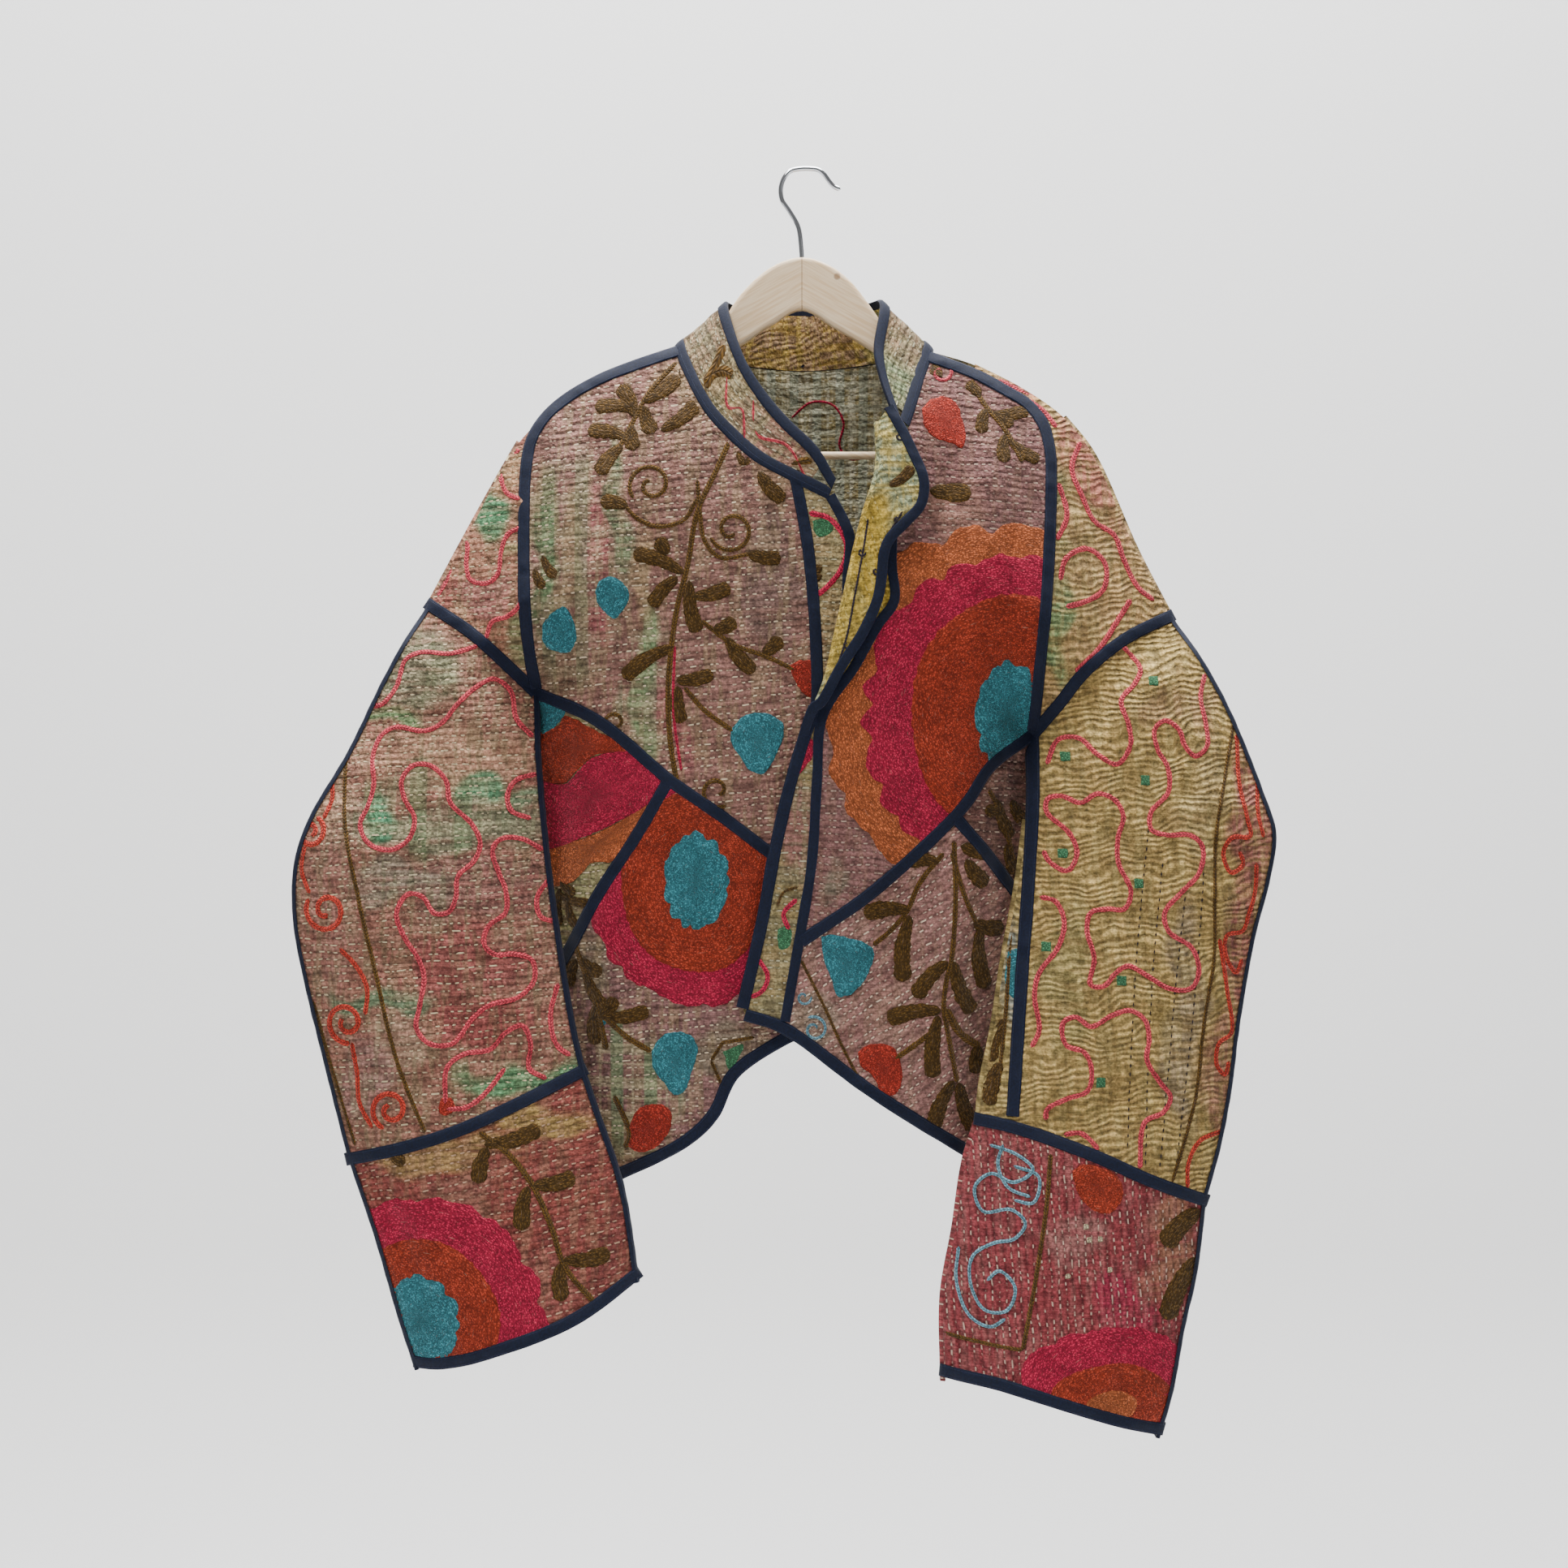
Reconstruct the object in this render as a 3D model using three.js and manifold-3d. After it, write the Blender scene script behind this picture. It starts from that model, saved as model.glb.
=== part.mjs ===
// Kantha jacket on its wooden hanger. Millimetres, +Z up, the front faces -Y, and the origin
// is the inside top of the hook. "r" is the wearer's right, at low X, and "l" the wearer's left.
//
// Each sheet of cloth is a wall that follows a surface y = f(x, z). A sheet is cut by an outline
// seen from the front, and the tape on its seams and edges has its own share of that outline, so
// pieces lie SEAM_GAP apart.
import * as THREE from "three";
import Module from "manifold-3d";

const wasm = await Module();
wasm.setup();
const { Manifold, CrossSection, Mesh } = wasm;

// Driving sizes
const CLOTH = 2.4; // thickness of the quilted cloth
const TAPE = 3.4; // thickness of a taped seam, the cloth in it included
const TAPE_WIDTH = 9.4; // tape on the seams and the open edges
const COLLAR_TAPE = 8; // tape on the collar's top edge
const EDGE_WIDTH = 2.8; // a taped seam on a sleeve's edge, seen edge on
const EDGE_HALF = 1.6; // half the space between a front and a back sheet at an edge
const EDGE_DEPTH = 11; // the same seam from front to back
const SEAM_GAP = 0.3;
const GRID = 29; // spacing of the points on a sheet
const BACK_GRID = 44; // the same on the plain back
const STEP = 27; // spacing of the points along a tape
const SNAP = 0.03; // points closer than this are merged
const FINE = 0.12; // detail smaller than this is merged

const BODY = { depth: 52, reach: 140 }; // half depth, and how far from an edge it is reached
const SLEEVE = { front: 33, back: 25, reach: 88 };
const SHOULDER_X = 212; // where body and dropped shoulder meet
const OVERLAP = 10; // the left front lies this far before the right front
const LAPEL = { lift: 4.2, thick: CLOTH }; // the turned-out band above the left front
const FORWARD = { step: 18, slope: 0.11, soft: 52 }; // how far the sleeves hang forward

const UNDERARM_GAP = 30; // the edge seams start this far below the underarm
const NOTCH = [[167, -430], [180, -430], [180, -474], [167, -474]]; // behind the sleeve's seam
const UNDERARM_CLEAR = 5; // the sleeve's top seam stops this far from the underarm
const RIDGE_CLEAR = 6; // the cloth stops this far from the neck points
const PRESS = { back: 10, width: 35, soft: 24 };

const WOOD_THICK = 12;
const BAR_RADIUS = 3.1;
const WIRE_RADIUS = 2;

// Outlines and seams from the front, in mm as [x, z]
const LINE = {
  outerR: [[-98, -136], [-148, -152], [-185, -174], [-222, -209], [-257, -271], [-291, -334],
    [-322, -393], [-348, -449], [-376, -499], [-386, -532], [-386, -574], [-376, -624],
    [-363, -674], [-343, -749], [-322, -809], [-304, -868], [-291, -906]],
  innerR: [[-209, -402], [-205, -462], [-198, -531], [-188, -599], [-178, -656], [-171, -686],
    [-160, -718], [-141, -774], [-129, -845]],
  sideR: [[-209, -402], [-209, -462], [-206, -556], [-200, -681], [-184, -797]],
  outerL: [[92, -138], [128, -149], [165, -168], [196, -190], [218, -218], [252, -293],
    [278, -343], [315, -409], [343, -481], [351, -509], [346, -543], [334, -587], [321, -656],
    [315, -699], [306, -743], [295, -781], [287, -837], [278, -874], [268, -924], [258, -956]],
  innerL: [[172, -434], [166, -499], [159, -549], [148, -606], [140, -656], [131, -699],
    [128, -724], [118, -756], [110, -806], [101, -856], [101, -918]],
  seamL: [[172, -434], [170, -493], [165, -562], [161, -606], [152, -720]],
  sideL: [[172, -434], [174, -493], [172, -587], [167, -681], [157, -783]],
  armholeR: [[-99, -139], [-129, -149], [-160, -161], [-185, -175], [-202, -190], [-212, -207],
    [-216, -231], [-216, -306], [-213, -368], [-209, -399]],
  armholeL: [[92, -144], [128, -158], [152, -171], [168, -181], [179, -196], [184, -218],
    [184, -249], [181, -306], [176, -368], [172, -431]],
  armholeBackR: [[-206, -196], [-214, -240], [-216, -306], [-213, -368], [-209, -399]],
  armholeBackL: [[186, -184], [188, -230], [184, -306], [177, -368], [172, -431]],
  dropR: [[-293, -333], [-254, -359], [-229, -382], [-209, -402]],
  dropL: [[280, -342], [240, -362], [209, -387], [190, -412], [172, -434]],
  diagonalR: [[-209, -402], [-160, -424], [-105, -469], [-66, -496], [-26, -526], [14, -552]],
  branchR: [[-107, -471], [-129, -509], [-160, -556], [-185, -601], [-202, -626]],
  diagonalL: [[-6, -590], [49, -552], [106, -501], [121, -484], [138, -459], [172, -434]],
  branchL: [[112, -498], [134, -523], [156, -551], [174, -574]],
  hemR: [[-184, -789], [-140, -767], [-91, -740], [-72, -721], [-57, -691], [-22, -666],
    [8, -652]],
  hemL: [[-48, -645], [-19, -655], [40, -698], [78, -724], [118, -750], [157, -776]],
  hemBack: [[-184, -789], [-120, -752], [-66, -700], [-30, -660], [0, -648], [40, -688],
    [78, -714], [118, -742], [157, -776]],
  bandL: [[4, -414], [-13, -468], [-26, -524], [-35, -574], [-50, -640]],
  bandSeamL: [[72, -206], [65, -256], [62, -306], [64, -334], [52, -352], [34, -384],
    [10, -421], [6, -468], [2, -531], [-7, -587], [-18, -650]],
  rollL: [[52, -200], [52, -237], [43, -268], [35, -299], [31, -318], [21, -362], [14, -393],
    [5, -416]],
  lapelL: [[71, -208], [79, -225], [86, -243], [84, -262], [72, -276], [60, -289],
    [56, -299], [54, -318], [51, -334], [40, -359], [24, -384], [8, -412]],
  placketR: [[-10, -243], [-4, -274], [-1, -292], [4, -343], [6, -406], [2, -468], [-4, -543],
    [-7, -650]],
  edgeR: [[16, -255], [27, -276], [31, -289], [29, -318], [28, -368], [26, -431], [21, -493],
    [15, -556], [7, -648]],
  cuffR: [[-345, -752], [-298, -740], [-260, -728], [-216, -709], [-169, -687]],
  wristR: [[-293, -900], [-272, -899], [-222, -885], [-172, -866], [-128, -838]],
  cuffL: [[126, -724], [152, -728], [209, -746], [252, -765], [297, -783]],
  wristL: [[99, -910], [140, -915], [190, -928], [228, -940], [262, -950]],
};

// The hanger from the front, in mm as [x, z]
const HANGER = {
  woodTop: [[-213, -219], [-198, -204], [-166, -182], [-129, -163], [-94, -149], [-78, -132],
    [-64, -113], [-54, -98], [-41, -84], [-24, -72], [-5, -67], [14, -72], [31, -84], [42, -97],
    [52, -111], [65, -129], [84, -149], [121, -164], [159, -186], [190, -211], [206, -228]],
  woodLow: [[201, -243], [178, -226], [152, -209], [109, -179], [71, -152], [50, -139],
    [19, -120], [-5, -107], [-29, -119], [-54, -136], [-72, -148], [-110, -174], [-160, -206],
    [-185, -222], [-210, -237]],
  wire: [[-5, -66.6], [-5.5, -59], [-7, -46], [-9, -40], [-15, -30], [-20, -22.5],
    [-21.3, -15.7], [-20.6, -10], [-18, -4], [-14, 0], [-8, 1.6], [0, 2], [7.5, 1],
    [12, -2.2], [16.3, -8], [20, -12], [25, -14]],
  bar: { from: -184, to: 172, z: -219 },
};

// The collar from its right front end, round the back, to its left front end. "low" is the seam
// tape's lower edge and "top" the collar's top edge; lean moves the top toward the neck.
const COLLAR = [
  { low: [14, -258], top: [20, -243], side: "front", lean: 0 },
  { low: [-14, -244], top: [6, -219], side: "front", lean: 1 },
  { low: [-41, -229], top: [-15, -198], side: "front", lean: 3 },
  { low: [-61, -211], top: [-33, -176], side: "front", lean: 4 },
  { low: [-77, -193], top: [-47, -153], side: "front", lean: 5 },
  { low: [-91, -168], top: [-56, -129], side: "front", lean: 4 },
  { low: [-101, -137], top: [-62, -103], side: "ridge", lean: 0 },
  { low: [-84, -141], top: [-56, -101], side: "back", lean: -6 },
  { low: [-48, -146], top: [-36, -99], side: "back", lean: 0 },
  { low: [-4, -148], top: [-5, -98], side: "back", lean: 4 },
  { low: [40, -146], top: [28, -99], side: "back", lean: 0 },
  { low: [76, -142], top: [46, -99], side: "back", lean: -6 },
  { low: [94, -139], top: [55, -102], side: "ridge", lean: 0 },
  { low: [87, -167], top: [50, -141], side: "front", lean: 3 },
  { low: [82, -184], top: [54, -164], side: "front", lean: 3 },
  { low: [76, -202], top: [62, -190], side: "front", lean: 0 },
];

// Main folds as soft ridges (positive) and troughs (negative) along a line
const FOLDS = {
  bodyFront: [
    { from: [-175, -230], to: [-150, -420], width: 30, lift: 5 },
    { from: [-120, -200], to: [-90, -440], width: 26, lift: -4 },
    { from: [-60, -270], to: [-50, -470], width: 24, lift: 3 },
    { from: [-170, -560], to: [-120, -740], width: 34, lift: 5 },
    { from: [-100, -520], to: [-70, -700], width: 28, lift: -5 },
    { from: [140, -240], to: [120, -470], width: 30, lift: 5 },
    { from: [100, -240], to: [80, -420], width: 26, lift: -4 },
    { from: [120, -540], to: [90, -700], width: 30, lift: 5 },
    { from: [70, -560], to: [40, -680], width: 26, lift: -5 },
  ],
  bodyBack: [
    { from: [-150, -230], to: [-120, -700], width: 36, lift: 6 },
    { from: [-60, -200], to: [-50, -640], width: 36, lift: -6 },
    { from: [30, -220], to: [20, -640], width: 34, lift: 5 },
    { from: [110, -230], to: [95, -690], width: 36, lift: -5 },
  ],
  sleeveR: [
    { from: [-335, -420], to: [-345, -640], width: 26, lift: 5 },
    { from: [-285, -400], to: [-300, -600], width: 24, lift: -5 },
    { from: [-245, -430], to: [-235, -640], width: 24, lift: 4 },
    { from: [-270, -640], to: [-200, -690], width: 22, lift: -4 },
    { from: [-300, -760], to: [-250, -880], width: 26, lift: 4 },
  ],
  sleeveL: [
    { from: [300, -430], to: [310, -640], width: 26, lift: 5 },
    { from: [262, -420], to: [262, -640], width: 24, lift: -5 },
    { from: [215, -460], to: [205, -690], width: 24, lift: 4 },
    { from: [250, -700], to: [180, -730], width: 22, lift: -4 },
    { from: [235, -780], to: [215, -900], width: 26, lift: 4 },
  ],
};

const COLOUR = {
  mauve: 0xa07a74, rust: 0xa63a24, crimson: 0xb51f3f, sand: 0xb59a72, sage: 0x8f8f6c,
  khaki: 0xb39a63, navy: 0x10182e, wood: 0xc79f73, steel: 0xc9ccd0,
};

// Small helpers
const clamp = (v, a, b) => Math.min(b, Math.max(a, v));
const smooth = (t) => { const u = clamp(t, 0, 1); return u * u * (3 - 2 * u); };

function distanceToSegment(x, z, a, b) {
  const dx = b[0] - a[0], dz = b[1] - a[1];
  const t = clamp(((x - a[0]) * dx + (z - a[1]) * dz) / (dx * dx + dz * dz), 0, 1);
  return Math.hypot(x - a[0] - t * dx, z - a[1] - t * dz);
}

function distanceTo(line, x, z) {
  let best = Infinity;
  for (let i = 1; i < line.length; i++) {
    best = Math.min(best, distanceToSegment(x, z, line[i - 1], line[i]));
  }
  return best;
}

// Distance to a closed edge, negative on its far side. turn is 1 where the cloth lies to the left
// of the line's direction as seen from the front, and -1 where it lies to the right.
function inside(line, turn, x, z) {
  let best = Infinity, sign = 1;
  for (let i = 1; i < line.length; i++) {
    const [a, b] = [line[i - 1], line[i]];
    const dx = b[0] - a[0], dz = b[1] - a[1];
    const t = ((x - a[0]) * dx + (z - a[1]) * dz) / (dx * dx + dz * dz);
    const u = clamp(t, 0, 1);
    const d = Math.hypot(x - a[0] - u * dx, z - a[1] - u * dz);
    if (d >= best) continue;
    best = d;
    const open = (i === 1 && t < 0) || (i === line.length - 1 && t > 1);
    sign = open ? 1 : Math.sign(turn * (dx * (z - a[1]) - dz * (x - a[0]))) || 1;
  }
  return best * sign;
}

function foldLift(folds, x, z) {
  let y = 0;
  for (const f of folds) {
    const d = distanceToSegment(x, z, f.from, f.to) / f.width;
    y += f.lift * Math.exp(-d * d * 2);
  }
  return y;
}

// Share of the full depth reached at a distance from the nearest closed edge
function rise(distance, reach) {
  const t = clamp(Math.abs(distance) / reach, 0, distance < 0 ? 0.12 : 1);
  return Math.sign(distance) * Math.pow(1 - (1 - t) * (1 - t), 0.9);
}

function seamHeight(seam, x) {
  const a = seam[0], b = seam[seam.length - 1];
  return a[1] + (b[1] - a[1]) * (x - a[0]) / (b[0] - a[0]);
}

// Surfaces. Each returns the y of a sheet's inner face at [x, z].
const bodyEdges = [[LINE.outerR, 1], [LINE.outerL, -1], [LINE.sideR, 1], [LINE.sideL, -1]];
const nearestEdge = (edges, x, z) => Math.min(
  ...edges.map(([line, turn]) => inside(line, turn, x, z)));
const lean = (z) => 0.03 * Math.max(0, -420 - z);

// Below the underarm the sleeve presses the side of the body back
function pressed(x, z) {
  const side = x < 0 ? LINE.sideR : LINE.sideL;
  const near = distanceTo(side, x, z) / PRESS.width;
  return PRESS.back * smooth((side[0][1] - z) / PRESS.soft) * Math.exp(-near * near);
}

function bodyDepth(x, z) {
  const d = nearestEdge(bodyEdges, x, z);
  return { d, depth: EDGE_HALF + BODY.depth * rise(d, BODY.reach) };
}

function bodyFront(x, z) {
  const { d, depth } = bodyDepth(x, z);
  return lean(z) + pressed(x, z) - depth - foldLift(FOLDS.bodyFront, x, z) * smooth(d / 40);
}

function bodyBack(x, z) {
  const { d, depth } = bodyDepth(x, z);
  return lean(z) + pressed(x, z) + depth + foldLift(FOLDS.bodyBack, x, z) * smooth(d / 40);
}

const leftFront = (x, z) => bodyFront(x, z) - OVERLAP * smooth((96 - x) / 66);
const lapel = (x, z) => leftFront(x, z) - CLOTH - LAPEL.lift;

function sleeveSide(side) {
  const outer = side === "R" ? LINE.outerR : LINE.outerL;
  const inner = side === "R" ? LINE.innerR : LINE.innerL;
  const seam = side === "R" ? LINE.dropR : LINE.dropL;
  const folds = side === "R" ? FOLDS.sleeveR : FOLDS.sleeveL;
  const armholeX = side === "R" ? SHOULDER_X : 176;
  const edges = side === "R" ? [[outer, 1], [inner, -1]] : [[outer, -1], [inner, 1]];
  return (x, z, back) => {
    const below = Math.max(0, seamHeight(seam, x) - z);
    const body = (1 - smooth(below / 120)) * (1 - smooth((Math.abs(x) - armholeX) / 90));
    const depth = back ? SLEEVE.back : SLEEVE.front;
    const full = depth + (BODY.depth - depth) * body;
    const reach = SLEEVE.reach + (BODY.reach - SLEEVE.reach) * body;
    const d = nearestEdge(edges, x, z);
    const forward = FORWARD.step * smooth(below / FORWARD.soft) + FORWARD.slope * below;
    const half = EDGE_HALF + full * rise(d, reach)
      + foldLift(folds, x, z) * smooth(d / 40) * (back ? -0.7 : 1);
    return lean(z) * (1 - smooth(below / 200)) - forward + (back ? half : -half);
  };
}
const sleeveR = sleeveSide("R");
const sleeveL = sleeveSide("L");
const SURFACE = {
  bodyFront: { y: bodyFront, out: -1 },
  bodyBack: { y: bodyBack, out: 1, grid: BACK_GRID },
  leftFront: { y: leftFront, out: -1 },
  lapel: { y: lapel, out: -1 },
  sleeveFrontR: { y: (x, z) => sleeveR(x, z, false), out: -1 },
  sleeveBackR: { y: (x, z) => sleeveR(x, z, true), out: 1 },
  sleeveFrontL: { y: (x, z) => sleeveL(x, z, false), out: -1 },
  sleeveBackL: { y: (x, z) => sleeveL(x, z, true), out: 1 },
};

// How much longer a wall's thickness is along y than square to the wall
function slant(surface, x, z) {
  const e = 3;
  const sx = (surface.y(x + e, z) - surface.y(x - e, z)) / (2 * e);
  const sz = (surface.y(x, z + e) - surface.y(x, z - e)) / (2 * e);
  return Math.min(1.6, Math.hypot(1, sx, sz));
}

function solid(points, faces) {
  const mesh = new Mesh({
    numProp: 3,
    vertProperties: new Float32Array(points.flat()),
    triVerts: new Uint32Array(faces.flat()),
  });
  mesh.merge();
  const body = new Manifold(mesh);
  return body.volume() < 0 ? new Manifold(mesh).mirror([0, 0, 0]) : body;
}

// A closed body from rings of equal length, capped flat at both ends
function loft(rings) {
  const n = rings[0].length;
  const points = rings.flat();
  const faces = [];
  for (let i = 0; i + 1 < rings.length; i++) {
    for (let j = 0; j < n; j++) {
      const a = i * n + j, b = i * n + (j + 1) % n;
      faces.push([a, b, b + n], [a, b + n, a + n]);
    }
  }
  const last = (rings.length - 1) * n;
  for (let j = 1; j + 1 < n; j++) {
    faces.push([0, j + 1, j], [last, last + j, last + j + 1]);
  }
  let volume = 0;
  for (const [a, b, c] of faces) {
    const p = points[a], q = points[b], r = points[c];
    volume += p[0] * (q[1] * r[2] - q[2] * r[1]) - p[1] * (q[0] * r[2] - q[2] * r[0])
      + p[2] * (q[0] * r[1] - q[1] * r[0]);
  }
  return solid(points, volume < 0 ? faces.map(([a, b, c]) => [a, c, b]) : faces);
}

// Evenly spaced points on a soft curve through a line's points
function along(line, step = STEP) {
  const curve = new THREE.CatmullRomCurve3(
    line.map(([x, z]) => new THREE.Vector3(x, 0, z)), false, "centripetal");
  const count = Math.max(2, Math.round(curve.getLength() / step));
  return curve.getSpacedPoints(count).map((p, i, all) => {
    const q = all[Math.min(i + 1, all.length - 1)], o = all[Math.max(i - 1, 0)];
    const dx = q.x - o.x, dz = q.z - o.z, l = Math.hypot(dx, dz);
    return { x: p.x, z: p.z, nx: -dz / l, nz: dx / l };
  });
}

// The outline that a tape takes up, as a cross-section in [x, z]
function band(line, width, step = STEP) {
  const pts = along(line, step);
  const left = pts.map((p) => [p.x + p.nx * width / 2, p.z + p.nz * width / 2]);
  const right = pts.map((p) => [p.x - p.nx * width / 2, p.z - p.nz * width / 2]).reverse();
  return new CrossSection([[...left, ...right]], "NonZero");
}

const outline = (...lines) => {
  const pts = lines.flat();
  return new CrossSection([pts], "NonZero");
};
const back = (line) => [...line].reverse();
const prism = (section) => section.extrude(700).rotate([90, 0, 0]).translate([0, 350, 0]);

// The whole wall of one surface over a box, from one offset to another
function wall(surface, box, from, to) {
  const grid = surface.grid ?? GRID;
  const nx = Math.ceil((box[2] - box[0]) / grid), nz = Math.ceil((box[3] - box[1]) / grid);
  const points = [[], []];
  for (let k = 0; k <= nz; k++) {
    for (let i = 0; i <= nx; i++) {
      const x = box[0] + (box[2] - box[0]) * i / nx, z = box[1] + (box[3] - box[1]) * k / nz;
      const y = surface.y(x, z), s = slant(surface, x, z) * surface.out;
      points[0].push([x, y + from * s, z]);
      points[1].push([x, y + to * s, z]);
    }
  }
  const layer = points[0].length;
  const at = (i, k, l) => l * layer + k * (nx + 1) + i;
  const faces = [];
  const flip = surface.out < 0;
  const add = (a, b, c) => faces.push(flip ? [a, b, c] : [a, c, b]);
  for (let k = 0; k < nz; k++) {
    for (let i = 0; i < nx; i++) {
      for (const l of [0, 1]) {
        const [a, b, c, d] = [at(i, k, l), at(i + 1, k, l), at(i + 1, k + 1, l), at(i, k + 1, l)];
        if (l === 1) { add(a, b, c); add(a, c, d); } else { add(a, c, b); add(a, d, c); }
      }
    }
  }
  for (let i = 0; i < nx; i++) {
    add(at(i, 0, 0), at(i + 1, 0, 0), at(i + 1, 0, 1));
    add(at(i, 0, 0), at(i + 1, 0, 1), at(i, 0, 1));
    add(at(i + 1, nz, 0), at(i, nz, 0), at(i, nz, 1));
    add(at(i + 1, nz, 0), at(i, nz, 1), at(i + 1, nz, 1));
  }
  for (let k = 0; k < nz; k++) {
    add(at(0, k + 1, 0), at(0, k, 0), at(0, k, 1));
    add(at(0, k + 1, 0), at(0, k, 1), at(0, k + 1, 1));
    add(at(nx, k, 0), at(nx, k + 1, 0), at(nx, k + 1, 1));
    add(at(nx, k, 0), at(nx, k + 1, 1), at(nx, k, 1));
  }
  return new Manifold(new Mesh({
    numProp: 3,
    vertProperties: new Float32Array(points.flat(2)),
    triVerts: new Uint32Array(faces.flat()),
  }));
}

// A sheet of cloth inside an outline, kept clear of the tapes
function sheet(surface, section, tapes = [], thick = CLOTH) {
  let cut = section;
  for (const tape of tapes) cut = cut.subtract(tape.offset(SEAM_GAP, "Miter", 2));
  cut = cut.simplify(FINE);
  const { min, max } = cut.bounds();
  const box = [min[0] - 4, min[1] - 4, max[0] + 4, max[1] + 4];
  return wall(surface, box, 0, thick).intersect(prism(cut));
}

// A tape along a line on a surface, a little thicker than the cloth beside it
function tape(surface, line, width = TAPE_WIDTH, from = 0, to = TAPE) {
  return loft(along(line).map((p) => {
    const place = (across, offset) => {
      const x = p.x + p.nx * across, z = p.z + p.nz * across;
      return [x, surface.y(x, z) + offset * surface.out * slant(surface, x, z), z];
    };
    return [place(-width / 2, from), place(width / 2, from), place(width / 2, to * 0.75),
      place(0, to), place(-width / 2, to * 0.75)];
  }));
}

// A taped seam that joins a front and a back sheet at an edge
function edge(front, rear, line, width = EDGE_WIDTH, depth = EDGE_DEPTH) {
  return loft(along(line, 30).map((p) => {
    const y = (front.y(p.x, p.z) + rear.y(p.x, p.z)) / 2;
    const at = (across, dy) => [p.x + p.nx * across, y + dy, p.z + p.nz * across];
    const w = width / 2, d = depth / 2;
    return [at(-w, -d), at(w, -d), at(w, d), at(-w, d)];
  }));
}

const without = (body, ...sections) => sections.reduce(
  (left, s) => left.subtract(prism(s.offset(SEAM_GAP, "Miter", 2))), body);
const joined = (...bodies) => Manifold.union(bodies);
// A body cut back until it lies SEAM_GAP from another one
const clearOf = (body, other) => [0, 1, 2].flatMap((k) => [-1, 1].map((d) => {
  const step = [0, 0, 0];
  step[k] = d * SEAM_GAP * 1.2;
  return step;
})).reduce((left, step) => left.subtract(other.translate(step)), body);
// Merges the slivers that cuts leave: points are rounded, and points that meet become one
const tidy = (body) => largest(largest(body.simplify(FINE)).warp((p) => {
  for (let k = 0; k < 3; k++) p[k] = Math.round(p[k] / SNAP) * SNAP;
}).simplify(SNAP));
const largest = (body) => body.decompose().sort((a, b) => b.volume() - a.volume())[0];

// Outlines of the tapes, seen from the front
const T = {
  armholeR: band(LINE.armholeR, TAPE_WIDTH),
  armholeL: band(LINE.armholeL, TAPE_WIDTH),
  armholeBackR: band(LINE.armholeBackR, TAPE_WIDTH),
  armholeBackL: band(LINE.armholeBackL, TAPE_WIDTH),
  seamL: band(LINE.seamL, TAPE_WIDTH),
  dropR: band(LINE.dropR, TAPE_WIDTH),
  dropL: band(LINE.dropL, TAPE_WIDTH),
  diagonalR: band(LINE.diagonalR, TAPE_WIDTH),
  diagonalL: band(LINE.diagonalL, TAPE_WIDTH),
  branchR: band(LINE.branchR, TAPE_WIDTH),
  branchL: band(LINE.branchL, TAPE_WIDTH),
  hemR: band(LINE.hemR, TAPE_WIDTH),
  hemL: band(LINE.hemL, TAPE_WIDTH),
  hemBack: band(LINE.hemBack, TAPE_WIDTH),
  bandL: band(LINE.bandL, TAPE_WIDTH),
  bandSeamL: band(LINE.bandSeamL, TAPE_WIDTH * 0.8),
  lapelL: band(LINE.lapelL, COLLAR_TAPE),
  placketR: band(LINE.placketR, TAPE_WIDTH),
  edgeR: band(LINE.edgeR, COLLAR_TAPE),
  cuffR: band(LINE.cuffR, TAPE_WIDTH),
  cuffL: band(LINE.cuffL, TAPE_WIDTH),
  wristR: band(LINE.wristR, TAPE_WIDTH),
  wristL: band(LINE.wristL, TAPE_WIDTH),
};
// Runs of the taped seams on the edges, and the outlines that they take up
const below = (line) => [[line[0][0], line[0][1] - UNDERARM_GAP], ...line.slice(1)];
const RUN = {
  outerR: LINE.outerR.slice(5, 14), outerCuffR: LINE.outerR.slice(13),
  innerR: below(LINE.innerR.slice(0, 6)), innerCuffR: LINE.innerR.slice(5),
  outerL: LINE.outerL.slice(6, 16), outerCuffL: LINE.outerL.slice(15),
  sideR: below(LINE.sideR), sideL: below(LINE.sideL),
};
const runs = (...lines) => lines.map((line) => band(line, EDGE_WIDTH, 30))
  .reduce((all, next) => all.add(next));
Object.assign(T, {
  outerR: runs(RUN.outerR, RUN.outerCuffR),
  outerL: runs(RUN.outerL, RUN.outerCuffL),
  innerR: runs(LINE.innerR.slice(0, 2), RUN.innerR, RUN.innerCuffR),
  sideR: runs(LINE.sideR.slice(0, 2), RUN.sideR),
  sideL: runs(LINE.sideL.slice(0, 2), RUN.sideL),
});

// The collar's lower and top edges, from its right front end to its left front end
const COLLAR_STEPS = 3; // points for each row of the table
function collarBase(s) {
  const [x, z] = s.low;
  if (s.side === "ridge") return new THREE.Vector3(x, 0, z);
  const y = s.side === "back" ? bodyBack(x, z) : (x > 30 ? leftFront : bodyFront)(x, z);
  return new THREE.Vector3(x, y, z);
}
const collarCurve = (pick) => new THREE.CatmullRomCurve3(COLLAR.map(pick), false, "centripetal");
const collarLow = collarCurve(collarBase);
const collarTop = collarCurve((s) => new THREE.Vector3(
  s.top[0], collarBase(s).y + (s.side === "back" ? -s.lean : s.lean), s.top[1]));
const lows = (from, to) => Array.from({ length: (to - from) * COLLAR_STEPS + 1 }, (_, i) => {
  const p = collarLow.getPoint((from + i / COLLAR_STEPS) / (COLLAR.length - 1));
  return [p.x, p.z];
});
const LAST = COLLAR.length - 1, [RIDGE_R, RIDGE_L] = [6, 12];
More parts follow.
